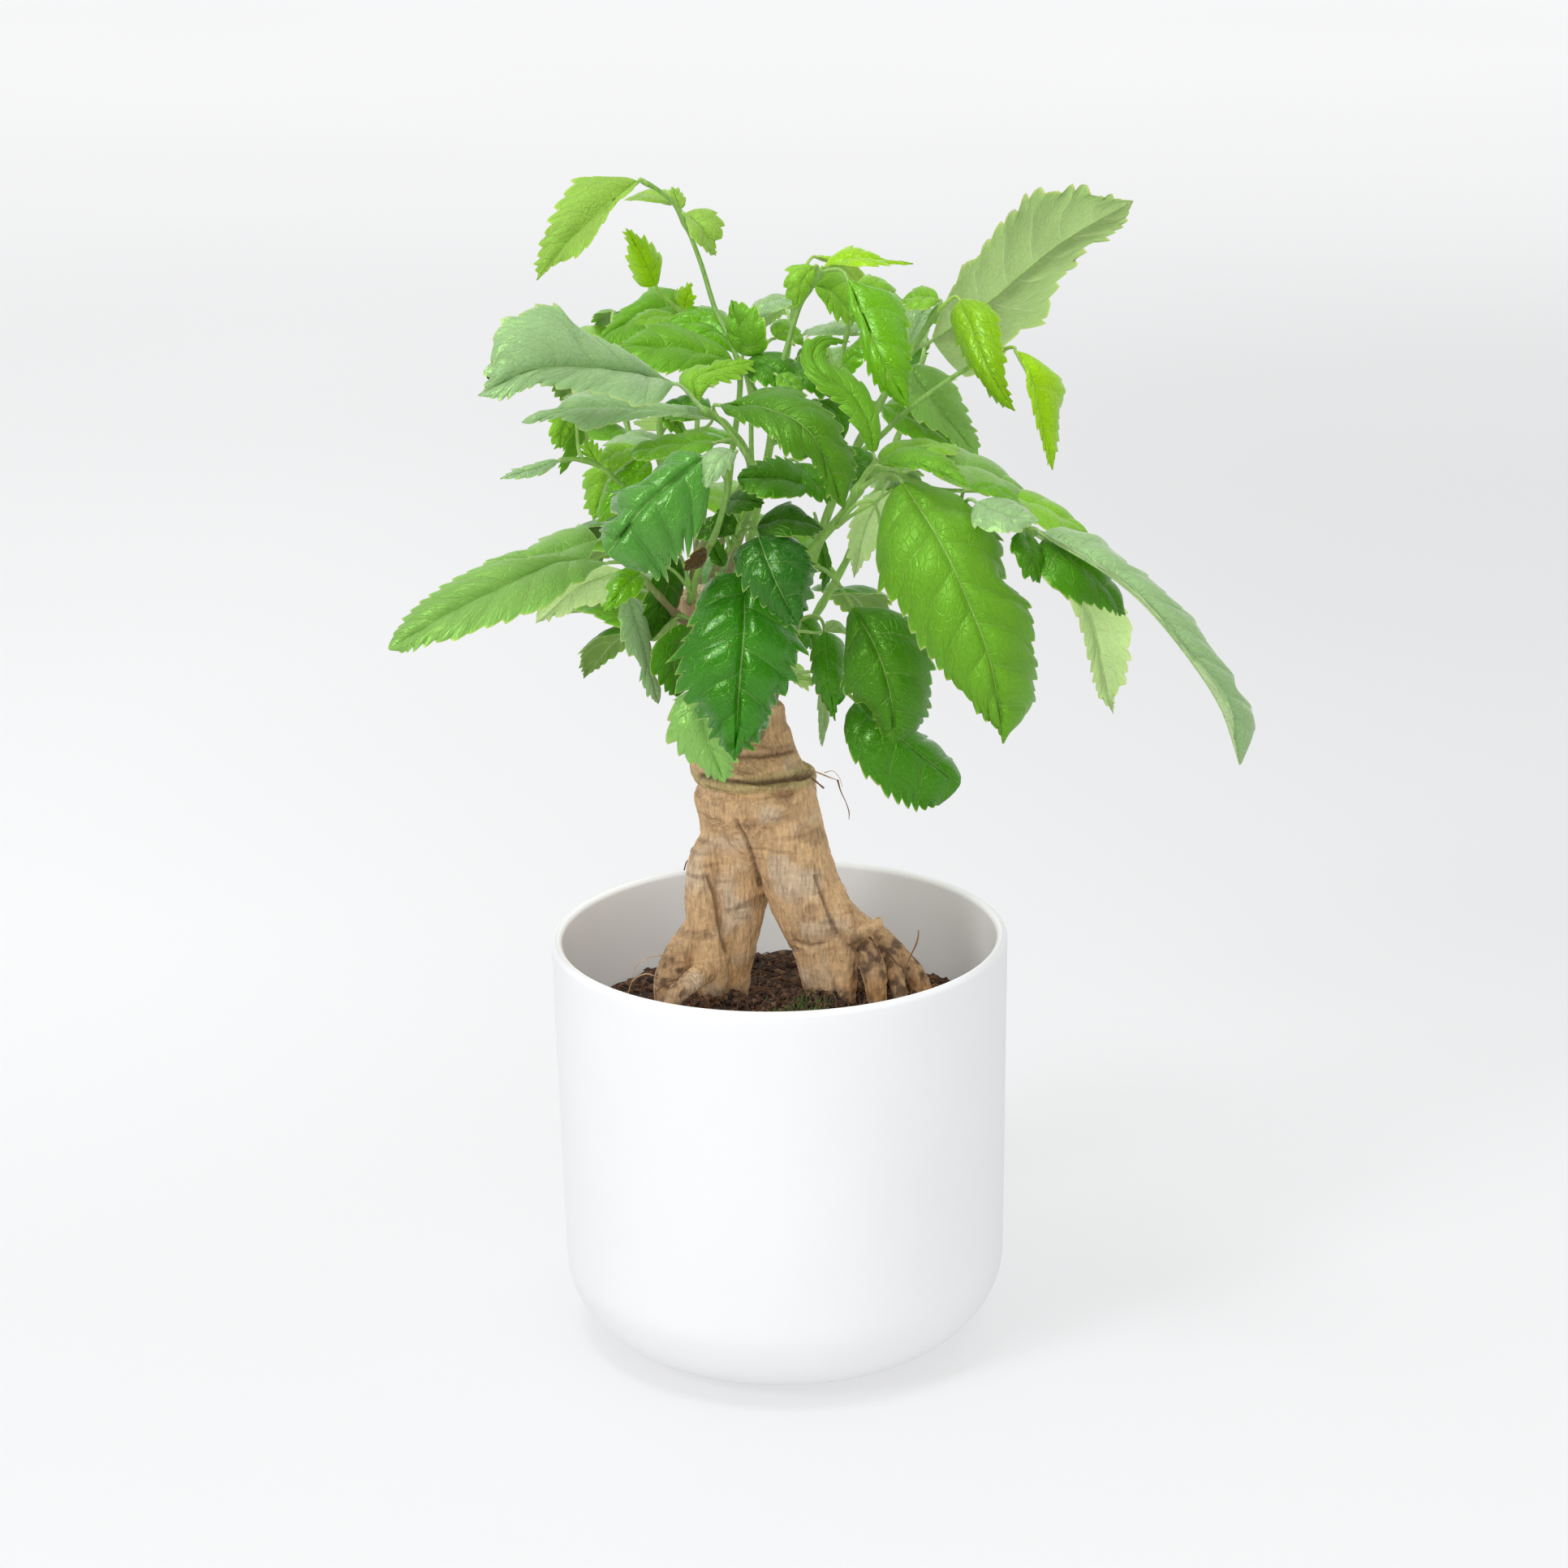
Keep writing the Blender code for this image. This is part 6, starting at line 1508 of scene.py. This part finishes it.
def trunk_colours(points, normals, seen, facing, scar_gaps, sunk, ridge, wrinkle):
    """The bark's colour at each point, with painted shade in its creases, furrows and wrinkles."""
    height = points[:, 2] / MM
    neck = smoothstep(NECK_FROM, NECK_FROM + 5, height)
    band = smoothstep(BAND[0] - 1, BAND[0] + 1, height)
    band = band * (1 - smoothstep(BAND[1] - 1, BAND[1] + 1, height))
    cut = smoothstep(0.55, 0.85, normals[:, 2]) * smoothstep(CUT_FROM, CUT_FROM + 2, height)
    among_roots = np.zeros(len(points))
    for across, down in DARK_ROOTS:
        there = smoothstep(*across, seen[:, 0]) * smoothstep(*down, seen[:, 1]) * facing
        among_roots = np.maximum(among_roots, there)
    low = 1 - smoothstep(SOIL_TOP + ORANGE_WITHIN[0], SOIL_TOP + ORANGE_WITHIN[1], height)
    above = height - mounded(points[:, 0] / MM, points[:, 1] / MM)
    soiled = 1 - smoothstep(0, SOILED_TO, above + 3 * rough(points + 4, 0.3))
    grime = smoothstep(-0.1, 0.3, rough(points, 0.9))
    colour = np.tile(BARK_TAN, (len(points), 1))
    # Each line lays a colour over those before it, by a share for each point.
    for over, share in (
        (BARK_GREY, smoothstep(0.05, 0.5, rough(points, 0.09)) * 0.75),
        (BARK_BROWN, smoothstep(0.1, 0.6, rough(points + 1, 0.2)) * 0.55),
        (BARK_BROWN, neck * 0.55),
        (BARK_GREEN, band * 0.6),
        (CUT_WOOD, cut),
        (BARK_BROWN, among_roots * 0.8),
        (SOIL_BROWN, among_roots * smoothstep(-0.05, 0.25, rough(points, 0.35)) * 0.8),
        (BARK_ORANGE, low * smoothstep(-0.2, 0.4, rough(points + 2, 0.12)) * 0.7),
        # The next three lay painted shade into the creases, the furrows between the ridges and the wrinkles.
        (BARK_PAINTED_SHADE, np.clip(sunk / 1.2, 0, 1) ** 1.5 * 0.85),
        (BARK_PAINTED_SHADE, smoothstep(-0.1, -0.75, ridge) * (0.4 + 0.4 * neck)),
        (BARK_PAINTED_SHADE, wrinkle * 0.35),
        *((BARK_SCAR, (1 - smoothstep(0.5, 1.1, gap)) * facing * 0.45) for gap in scar_gaps),
        (SOIL_BROWN, soiled * (0.45 + 0.55 * grime)),
    ):
        colour = colour * (1 - share[:, None]) + np.array(over) * share[:, None]
    return colour


def build_trunk():
    piece = grown_trunk()
    mesh = piece.data
    count = len(mesh.vertices)
    points, normals = np.empty(count * 3), np.empty(count * 3)
    mesh.vertices.foreach_get("co", points)
    mesh.vertices.foreach_get("normal", normals)
    points, normals = points.reshape(-1, 3), normals.reshape(-1, 3)
    seen = pixels_of(points)
    facing = smoothstep(*FACING, normals @ unit(VIEW_EYE))
    scar_gaps = [np.linalg.norm(seen - place, axis=1) / size for place, size, _ in TRUNK_SCARS]
    shift, *relief = trunk_relief(points, seen, facing, scar_gaps)
    points = points + normals * (shift * MM)[:, None]
    mesh.vertices.foreach_set("co", points.ravel())
    mesh.update()
    paint_points(mesh, "upper", trunk_colours(points, normals, seen, facing, scar_gaps, *relief))
    attach(piece, "bark", "trunk")


def build_rootlets():
    """Thin brown roots that stand off the trunk and lie on the soil."""
    shell = Shell()
    draw = random.Random(SCENE_SEED)
    for line, thick in ROOTLETS:
        path = smooth_path(sight(line), THREAD_STEPS)
        knots = np.array([draw.uniform(*ROOTLET_KNOTS) for _ in line])
        swell = np.interp(np.linspace(0, 1, len(path)), np.linspace(0, 1, len(line)), knots)
        taper = np.linspace(1, ROOTLET_TIP, len(path))
        colour = ROOT_HAIR if thick < ROOT_HAIR_THICKNESS else ROOTLET_BROWN
        colour = np.array(colour) * draw.uniform(*ROOTLET_TINTS)
        add_tube(shell, path, thick * swell * taper * MM, ROOTLET_SIDES, 0, colour)
    attach(shell.piece("rootlets", [bark_material()]), "bark")


def arc(centre, radius, start, end, steps):
    """Points round a centre, from one angle to another in degrees."""
    angles = np.radians(np.linspace(start, end, steps + 1))
    return np.column_stack((centre[0] + radius * np.cos(angles), centre[1] + radius * np.sin(angles)))


def straight(start, end, steps):
    """Points between two places of a profile, both left out."""
    share = np.linspace(0, 1, steps + 1)[1:-1, None]
    return np.array(start) * (1 - share) + np.array(end) * share


def build_pot():
    foot = (POT_RADIUS - POT_DRAFT - POT_FOOT_ROUND, POT_FOOT_ROUND)
    lip = (POT_RADIUS - POT_LIP_ROUND, POT_HEIGHT - POT_LIP_ROUND)
    inner_lip = (POT_RADIUS - POT_WALL + POT_LIP_ROUND, POT_HEIGHT - POT_LIP_ROUND)
    outer_round = arc(foot, POT_FOOT_ROUND, -90, 0, FOOT_STEPS)
    outer_lip_round = arc(lip, POT_LIP_ROUND, 0, 90, LIP_STEPS)
    inner_lip_round = arc(inner_lip, POT_LIP_ROUND, 90, 180, LIP_STEPS)
    inner_round = arc(INNER_FOOT, INNER_ROUND, 0, -90, INNER_FOOT_STEPS)
    axis_below, axis_above = (AXIS_RADIUS, 0), (AXIS_RADIUS, POT_FLOOR)
    outside = (
        [axis_below], straight(axis_below, outer_round[0], BASE_STEPS), outer_round,
        straight(outer_round[-1], outer_lip_round[0], OUTER_SIDE_STEPS), outer_lip_round,
    )
    inside = (
        inner_lip_round, straight(inner_lip_round[-1], inner_round[0], INNER_SIDE_STEPS), inner_round,
        straight(inner_round[-1], axis_above, BASE_STEPS), [axis_above],
    )
    profile = np.concatenate((*outside, *inside))
    angle = np.linspace(0, 2 * math.pi, POT_SIDES, endpoint=False)
    turned_out = profile[:, 0, None] * MM
    points = np.stack((turned_out * np.cos(angle), turned_out * np.sin(angle),
                       np.repeat(profile[:, 1:] * MM, POT_SIDES, axis=1)), axis=-1)
    within = np.arange(len(profile)) >= sum(map(len, outside))
    # The inner wall takes the lighter glaze colour: painted light.
    colour = np.where(np.repeat(within, POT_SIDES)[:, None], GLAZE_INSIDE_PAINTED_LIGHTER, GLAZE_OUTSIDE)
    shell = Shell()
    shell.add(points.reshape(-1, 3), closed_quads(len(profile), POT_SIDES), 0, upper=colour)
    attach(shell.piece("ceramic", [ceramic_material()]), "ceramic_pot", "pot")


def mounded(x, y):
    """The soil's top in millimetres above the pot's base: as in the CAD source, and the heaps."""
    share = np.minimum(1, np.hypot(x, y) / SOIL_RADIUS)
    roll = np.sin(0.31 * x + 1.3) * np.cos(0.27 * y - 0.4) + 0.6 * np.sin(0.17 * (x + y))
    heap = 0
    for centre, spread, rise in HEAPS:
        gap = np.hypot(x - centre[0], y - centre[1]) / spread
        heap = np.maximum(heap, rise * np.exp(-(gap**2)))
    return SOIL_LEVEL + SOIL_MOUND * (1 - share**2) + SOIL_BUMP * roll + heap


def on_top(x, y, lift=0):
    """The place on the soil's top at x and y, or this far above it."""
    return np.array((x, y, float(mounded(x, y)) + lift))


def on_soil(draw, reach=1.0):
    """A random place on the soil, within this share of its radius."""
    radius = (SOIL_RADIUS - 2.5) * reach * math.sqrt(draw.random())
    angle = draw.uniform(0, 2 * math.pi)
    return on_top(radius * math.cos(angle), radius * math.sin(angle))


LUMP_CORNERS = np.array([(x, y, z) for z in (-1, 1) for y in (-1, 1) for x in (-1, 1)]) * 0.7
LUMP_QUADS = np.array(((0, 2, 3, 1), (4, 5, 7, 6), (0, 1, 5, 4), (2, 6, 7, 3), (0, 4, 6, 2), (1, 3, 7, 5)))


def add_lump(shell, place, size, draw, colour):
    """Adds a small uneven lump."""
    jitter = np.array([[draw.uniform(*LUMP_VARIES) for _ in range(3)] for _ in range(8)])
    spun = Matrix.Rotation(draw.uniform(0, math.pi), 3, "Z")
    spun = spun @ Matrix.Rotation(draw.uniform(-LUMP_TILT, LUMP_TILT), 3, "X")
    corners = (LUMP_CORNERS * jitter) @ np.array(spun).T * (1, 1, LUMP_FLATNESS)
    shell.add((place + corners * size) * MM, LUMP_QUADS, 0, upper=colour)


def add_soil_body(shell):
    """Adds the body of the soil, with an uneven top."""
    share = np.linspace(AXIS_RADIUS / SOIL_EDGE, 1, SOIL_RINGS)
    angle = np.linspace(0, 2 * math.pi, SOIL_SIDES, endpoint=False)
    x = SOIL_EDGE * np.outer(share, np.cos(angle))
    y = SOIL_EDGE * np.outer(share, np.sin(angle))
    top = np.stack((x, y, mounded(x, y)), axis=-1).reshape(-1, 3)
    grain = rough(top * MM, 0.55) + 0.6 * rough(top * MM, 1.2)
    fade = 1 - smoothstep(0.97, 1, np.hypot(top[:, 0], top[:, 1]) / SOIL_EDGE)
    top[:, 2] += SOIL_GRAIN * grain * fade
    below = arc(INNER_FOOT, INNER_ROUND - SOIL_GAP, 0, -90, SOIL_FOOT_STEPS)
    below = np.concatenate((below, [(AXIS_RADIUS, POT_FLOOR + SOIL_GAP)]))
    ring = np.stack((np.cos(angle), np.sin(angle)), axis=-1)
    wall = [np.column_stack((ring * radius, np.full(SOIL_SIDES, height))) for radius, height in below]
    points = np.concatenate((top, *wall))
    # The top is darker where its grain dips and lighter where it rises: painted shade in the hollows.
    dark = smoothstep(-0.6, 0.7, np.concatenate((grain, np.zeros(len(points) - len(grain)))))
    colour = np.outer(1 - dark, SOIL_DARK) + np.outer(dark, SOIL_BROWN)
    quads = closed_quads(SOIL_RINGS + len(below), SOIL_SIDES)[:, ::-1]
    shell.add(points * MM, quads, 0, upper=colour)


def add_fibre(shell, start, draw):
    """Adds a thin bent fibre that lies on the soil, unless it would reach the pot."""
    heading, length = draw.uniform(0, 2 * math.pi), draw.uniform(*FIBRE_LENGTH)
    bend = draw.uniform(-FIBRE_BEND, FIBRE_BEND)
    path = []
    for t in np.linspace(0, 1, FIBRE_PLACES):
        turn = heading + bend * t
        x = start[0] + length * t * math.cos(turn)
        y = start[1] + length * t * math.sin(turn)
        path.append(on_top(x, y, FIBRE_REST + draw.uniform(0, FIBRE_LIFT) * math.sin(math.pi * t)))
    path = np.array(path)
    if np.hypot(path[:, 0], path[:, 1]).max() < SOIL_EDGE - FIBRES_CLEAR:
        tint = np.array(FIBRE_COLOUR) * draw.uniform(*MOUND_TINTS)
        radii = np.linspace(*FIBRE_RADII, FIBRE_PLACES) * MM
        add_tube(shell, path * MM, radii, FIBRE_SIDES, 0, tint)


def add_moss(shell, centre, spread, draw):
    """Adds a tuft of moss near a place, unless it would reach the pot."""
    x, y = centre[0] + draw.gauss(0, spread), centre[1] + draw.gauss(0, spread * 0.8)
    foot = on_top(x, y)
    lean = np.array((draw.uniform(-0.5, 0.5), draw.uniform(-0.5, 0.5), draw.uniform(0.9, 2)))
    path = np.array((foot, foot + lean * 0.6, foot + lean * (1.1, 1.1, 1)))
    if math.hypot(x, y) < SOIL_EDGE - MOSS_CLEAR:
        tint = np.array(MOSS_GREEN) * draw.uniform(*MOSS_TINTS)
        add_tube(shell, path * MM, np.array(MOSS_RADII) * MM, FIBRE_SIDES, 0, tint)


def build_soil():
    shell = Shell()
    add_soil_body(shell)
    draw = random.Random(SOIL_SEED)
    for _ in range(CRUMBS):
        size = draw.uniform(*CRUMB_SIZE) ** 1.3 * 0.8
        tint = np.array(draw.choice(CRUMB_COLOURS)) * draw.uniform(*CRUMB_TINTS)
        add_lump(shell, on_soil(draw) + (0, 0, size * 0.25), size, draw, tint)
    for centre, spread, _ in HEAPS:
        for _ in range(MOUND_CRUMBS):
            x, y = centre[0] + draw.gauss(0, spread * 0.7), centre[1] + draw.gauss(0, spread * 0.7)
            size = draw.uniform(*CRUMB_SIZE) * 0.7
            tint = np.array(draw.choice(CRUMB_COLOURS)) * draw.uniform(*MOUND_TINTS)
            if math.hypot(x, y) < SOIL_EDGE - CRUMBS_CLEAR:
                add_lump(shell, on_top(x, y, draw.uniform(0, MOUND_LIFT)), size, draw, tint)
    starts = [on_soil(draw, 0.97) for _ in range(FIBRES)]
    for centre, spread, _ in HEAPS:
        starts += [centre[:2] + (draw.gauss(0, spread), draw.gauss(0, spread))
                   for _ in range(MOUND_FIBRES)]
    for start in starts:
        add_fibre(shell, start, draw)
    for place, spread in MOSS_PATCHES:
        centre = sight([place])[0] / MM
        for _ in range(MOSS_TUFTS // len(MOSS_PATCHES)):
            add_moss(shell, centre, spread, draw)
    attach(shell.piece("potting_mix", [soil_material()]), "potting_soil", "soil")


class Paint:
    """A node material, with short calls for the nodes that it is made of."""

    def __init__(self, name, **constants):
        self.material = bpy.data.materials.new(name)
        self.material.use_nodes = True
        self.tree = self.material.node_tree
        self.shader = self.tree.nodes["Principled BSDF"]
        self.shade(**constants)

    def shade(self, **sockets):
        """Sets sockets of the shader."""
        for key, value in sockets.items():
            self.feed(self.shader.inputs[key.replace("_", " ")], value)
        return self.material

    def finish(self, colour, roughness, relief, depth):
        """The material with these and a bump of this many millimetres."""
        bump = self.node("Bump", {"Height": relief, "Strength": 1, "Distance": depth * MM})
        return self.shade(Base_Color=colour, Roughness=roughness, Normal=bump.outputs[0])

    def feed(self, socket, value):
        if isinstance(value, bpy.types.NodeSocket):
            self.tree.links.new(value, socket)
        elif socket.type == "RGBA":
            socket.default_value = (*value, 1)
        else:
            socket.default_value = value

    def node(self, kind, sockets=(), **settings):
        made = self.tree.nodes.new("ShaderNode" + kind)
        for name, value in settings.items():
            setattr(made, name, value)
        for key, value in dict(sockets).items():
            self.feed(made.inputs[key], value)
        return made

    def read(self, name, output="Color"):
        """What the mesh holds at each point under this name."""
        return self.node("Attribute", attribute_name=name).outputs[output]

    def places(self, factors=(1, 1, 1)):
        """The place on the object, in metres, stretched by factors."""
        place = self.node("TexCoord").outputs["Object"]
        if factors == (1, 1, 1):
            return place
        return self.node("VectorMath", {0: place, 1: factors}, operation="MULTIPLY").outputs[0]

    def parts(self, vector):
        return self.node("SeparateXYZ", {0: vector}).outputs

    def noise(self, vector, scale, detail=3):
        sockets = {"Vector": vector, "Scale": scale, "Detail": detail}
        return self.node("TexNoise", sockets).outputs[0]

    def cell_edges(self, vector, scale):
        sockets = {"Vector": vector, "Scale": scale}
        made = self.node("TexVoronoi", sockets, feature="DISTANCE_TO_EDGE")
        return made.outputs["Distance"]

    def math(self, operation, *values):
        return self.node("Math", dict(enumerate(values)), operation=operation).outputs[0]

    def times(self, a, b):
        return self.math("MULTIPLY", a, b)

    def plus(self, a, b):
        return self.math("ADD", a, b)

    def minus(self, a, b):
        return self.math("SUBTRACT", a, b)

    def spread(self, value, low, high, to_low=0, to_high=1):
        """The value's run from low to high eased into another run, and held beyond it."""
        sockets = {"Value": value, "From Min": low, "From Max": high, "To Min": to_low,
                   "To Max": to_high}
        return self.node("MapRange", sockets, interpolation_type="SMOOTHSTEP").outputs[0]

    def mix(self, share, a, b, strength=1):
        """Colour a with this share of colour b over it, times the strength."""
        share = share if strength == 1 else self.times(share, strength)
        return self.node("Mix", {0: share, 6: a, 7: b}, data_type="RGBA").outputs[2]

    def scaled(self, colour, factor):
        return self.node("VectorMath", {0: colour, "Scale": factor}, operation="SCALE").outputs[0]


def blade_material(side):
    """A leaf blade's upper or under side: veins, a fine net between them and a pale margin."""
    is_upper = side == "upper"
    paint = Paint(
        f"leaf {side} side",
        Subsurface_Weight=0.3,
        Subsurface_Radius=(0.5, 1, 0.2),
        Subsurface_Scale=0.8 * MM,
        Specular_IOR_Level=0.8 if is_upper else 0.25,
        Specular_Tint=(0.5, 1, 0.22),
        Coat_Roughness=0.16,
    )
    flat = paint.read("flat", "Vector")
    to_margin, along, _ = paint.parts(paint.read("vein", "Vector"))
    across = paint.math("ABSOLUTE", paint.minus(paint.times(to_margin, 2), 1))
    phase = paint.math("FRACT", paint.times(along, 10))
    nearness = paint.times(paint.math("ABSOLUTE", paint.minus(phase, 0.5)), 2)
    lateral = paint.times(paint.spread(nearness, 0.9, 0.99), paint.spread(across, 0.55, 0.97, 1, 0))
    midrib = paint.spread(across, 0.01, 0.034, 1, 0)
    vein = paint.math("MAXIMUM", lateral, midrib)
    pale = paint.math("MAXIMUM", paint.times(lateral, 0.12 if is_upper else 0.3),
                      paint.times(midrib, 0.5))
    net = paint.spread(paint.cell_edges(flat, 38), 0.0, 0.09, 1, 0)
    fine_net = paint.spread(paint.cell_edges(flat, 120), 0.0, 0.1, 1, 0)
    blotch = paint.noise(flat, 7)
    grain = paint.noise(flat, 110, 2)
    specks = paint.spread(paint.noise(flat, 31, 1), 0.76, 0.8)
    light = paint.plus(paint.times(blotch, 0.42), 0.79)
    light = paint.times(light, paint.spread(grain, 0.2, 0.8, 0.92, 1.08))
    colour = paint.scaled(paint.read(side), light)
    colour = paint.mix(net, colour, VEIN_COLOURS[side], 0.04)
    colour = paint.mix(pale, colour, VEIN_COLOURS[side])
    colour = paint.mix(paint.spread(across, 0.955, 0.995), colour, MARGIN_COLOUR, 0.5)
    colour = paint.mix(specks, colour, SPECK_COLOUR, 0.4)
    if is_upper:
        gloss = paint.read("tone", "Fac")
        roughness = paint.plus(paint.spread(gloss, 0, 1, 0.5, 0.2), paint.times(blotch, 0.08))
        paint.shade(Coat_Weight=paint.spread(gloss, 0.75, 1, 0, 0.3))
    else:
        roughness = paint.spread(blotch, 0.3, 0.7, 0.5, 0.62)
    relief = paint.plus(paint.times(net, -0.7), paint.times(fine_net, -0.3))
    relief = paint.plus(relief, paint.times(grain, 0.25))
    relief = paint.minus(relief, paint.times(vein, 0.8))
    return paint.finish(colour, roughness, relief, 0.17 if is_upper else -0.14)


def stem_material():
    """Green stems with fine lengthwise streaks, which turn to brown bark near the trunk."""
    paint = Paint("leaf stalk and stem", Subsurface_Weight=0.12, Subsurface_Radius=(0.5, 1, 0.2),
                  Subsurface_Scale=1 * MM)
    streak = paint.noise(paint.places((1, 1, 0.12)), 1500)
    blotch = paint.noise(paint.places(), 160, 2)
    wood = paint.times(paint.read("tone", "Fac"), paint.spread(blotch, 0.2, 0.75, 0.7, 1.1))
    light = paint.times(paint.spread(streak, 0.25, 0.75, 0.82, 1.16),
                        paint.spread(blotch, 0.2, 0.8, 0.86, 1.12))
    colour = paint.scaled(paint.mix(wood, paint.read("upper"), STEM_BROWN), light)
    return paint.finish(colour, paint.spread(streak, 0.2, 0.8, 0.42, 0.6), streak, 0.12)


def bark_material():
    """Fine upright ridges over the colours of the trunk's own points, with painted shade in the furrows."""
    paint = Paint("bark")
    streak = paint.noise(paint.places((1, 1, 0.22)), 1100, 4)
    furrow = paint.spread(paint.noise(paint.places((1, 1, 0.3)), 620, 2), 0.36, 0.46, 1, 0)
    grit = paint.noise(paint.places(), 2600)
    ring = paint.noise(paint.places((0.3, 0.3, 1)), 760)
    light = paint.times(paint.spread(streak, 0.25, 0.75, 0.84, 1.2),
                        paint.spread(grit, 0.2, 0.8, 0.86, 1.12))
    light = paint.times(light, paint.spread(ring, 0.3, 0.7, 0.93, 1.06))
    # The furrows are darkened with painted shade.
    colour = paint.mix(furrow, paint.scaled(paint.read("upper"), light), BARK_PAINTED_SHADE, 0.2)
    relief = paint.minus(paint.times(streak, 1.5), paint.times(furrow, 0.5))
    relief = paint.plus(paint.plus(relief, paint.times(grit, 0.35)), ring)
    return paint.finish(colour, paint.spread(streak, 0.2, 0.8, 0.9, 0.68), relief, 0.28)


def soil_material():
    paint = Paint("potting soil")
    grit = paint.noise(paint.places(), 1400, 4)
    colour = paint.scaled(paint.read("upper"), paint.spread(grit, 0.25, 0.75, 0.5, 1.5))
    return paint.finish(colour, paint.spread(grit, 0.2, 0.8, 0.95, 0.8), grit, 0.5)


def ceramic_material():
    """Matt white ceramic with a barely uneven glaze."""
    paint = Paint("white ceramic", Specular_IOR_Level=0.4)
    cloud = paint.noise(paint.places(), 22, 2)
    pores = paint.noise(paint.places(), 1900, 2)
    colour = paint.scaled(paint.read("upper"), paint.spread(cloud, 0.3, 0.7, 0.985, 1))
    relief = paint.plus(cloud, paint.times(pores, 0.02))
    return paint.finish(colour, paint.spread(cloud, 0.3, 0.7, 0.44, 0.5), relief, 0.25)


def floor_material():
    """A pale floor that glows a little, as a lit table does, so that shadows on it stay faint."""
    paint = Paint("studio floor", Roughness=0.9, Specular_IOR_Level=0.1, Emission_Strength=1.0)
    tint = paint.spread(paint.noise(paint.places(), 1.5, 1), 0.3, 0.7)
    beside, away, _ = paint.parts(paint.places())
    glow = paint.mix(paint.spread(away, *GLOW_GROWS), GLOW_NEAR, GLOW_FAR)
    leaning = paint.mix(paint.spread(beside, *GLOW_SIDES), GLOW_LEFT, GLOW_RIGHT)
    ring = paint.times(paint.spread(away, *GLOW_SIDES_FROM), paint.spread(away, *GLOW_SIDES_TO, 1, 0))
    return paint.shade(Base_Color=paint.mix(tint, *FLOOR_TINTS),
                       Emission_Color=paint.mix(ring, glow, leaning))


def build_sky():
    """A soft sky that is brighter behind the plant than in front."""
    world = bpy.data.worlds.new("soft sky")
    world.use_nodes = True
    nodes, links = world.node_tree.nodes, world.node_tree.links
    sky = nodes["Background"]
    sky.inputs["Color"].default_value = (*SKY_COLOUR, 1)
    leaning = nodes.new("ShaderNodeVectorMath")
    leaning.operation = "DOT_PRODUCT"
    leaning.inputs[1].default_value = SKY_LEANING
    links.new(nodes.new("ShaderNodeTexCoord").outputs["Generated"], leaning.inputs[0])
    strength = nodes.new("ShaderNodeMath")
    strength.operation = "MULTIPLY_ADD"
    strength.inputs[1].default_value = SKY_STRENGTH
    strength.inputs[2].default_value = SKY_STRENGTH
    links.new(leaning.outputs["Value"], strength.inputs[0])
    links.new(strength.outputs[0], sky.inputs["Strength"])
    bpy.context.scene.world = world
    bpy.context.scene.view_settings.view_transform = "Standard"


def build_stage():
    """The camera at the photograph's place, a pale floor, and soft light from the upper left."""
    build_sky()
    floor_mesh = bpy.data.meshes.new("floor")
    corners = [(x * FLOOR_SIDE, y * FLOOR_SIDE, -FLOOR_GAP * MM)
               for x, y in ((-1, -1), (1, -1), (1, 1), (-1, 1))]
    floor_mesh.from_pydata(corners, [], [(0, 1, 2, 3)])
    floor_mesh.materials.append(floor_material())
    floor = placed("floor", floor_mesh)

    for name, (place, power, width, colour, part) in LAMPS.items():
        lamp = bpy.data.lights.new(name, "AREA")
        lamp.energy = power
        lamp.color = colour
        lamp.shape = "DISK"
        lamp.size = width
        lamp.use_shadow = part != "soft"
        holder = placed(name, lamp)
        holder.visible_glossy = part != "soft"
        holder.visible_diffuse = part != "shine"
        turn = (Vector(VIEW_AIM) - Vector(place)).to_track_quat("-Z", "Y").to_matrix().to_4x4()
        holder.matrix_world = Matrix.Translation(place) @ turn

    camera = bpy.data.cameras.new("photograph's place")
    camera.sensor_width = SENSOR
    camera.lens = FOCAL_PIXELS / PHOTO_SIDE * SENSOR
    camera.clip_end = 100
    holder = placed("photograph's place", camera)
    x_axis = VIEW_RIGHT * COS_ROLL - VIEW_UP * SIN_ROLL
    y_axis = VIEW_RIGHT * SIN_ROLL + VIEW_UP * COS_ROLL
    turn = Matrix(np.stack((x_axis, y_axis, VIEW_BACK), axis=1).tolist()).to_4x4()
    holder.matrix_world = Matrix.Translation(VIEW_EYE) @ turn
    bpy.context.scene.camera = holder


def main():
    build_stage()
    build_pot()
    build_soil()
    build_trunk()
    build_rootlets()
    build_foliage()


main()
bpy.context.view_layer.update()
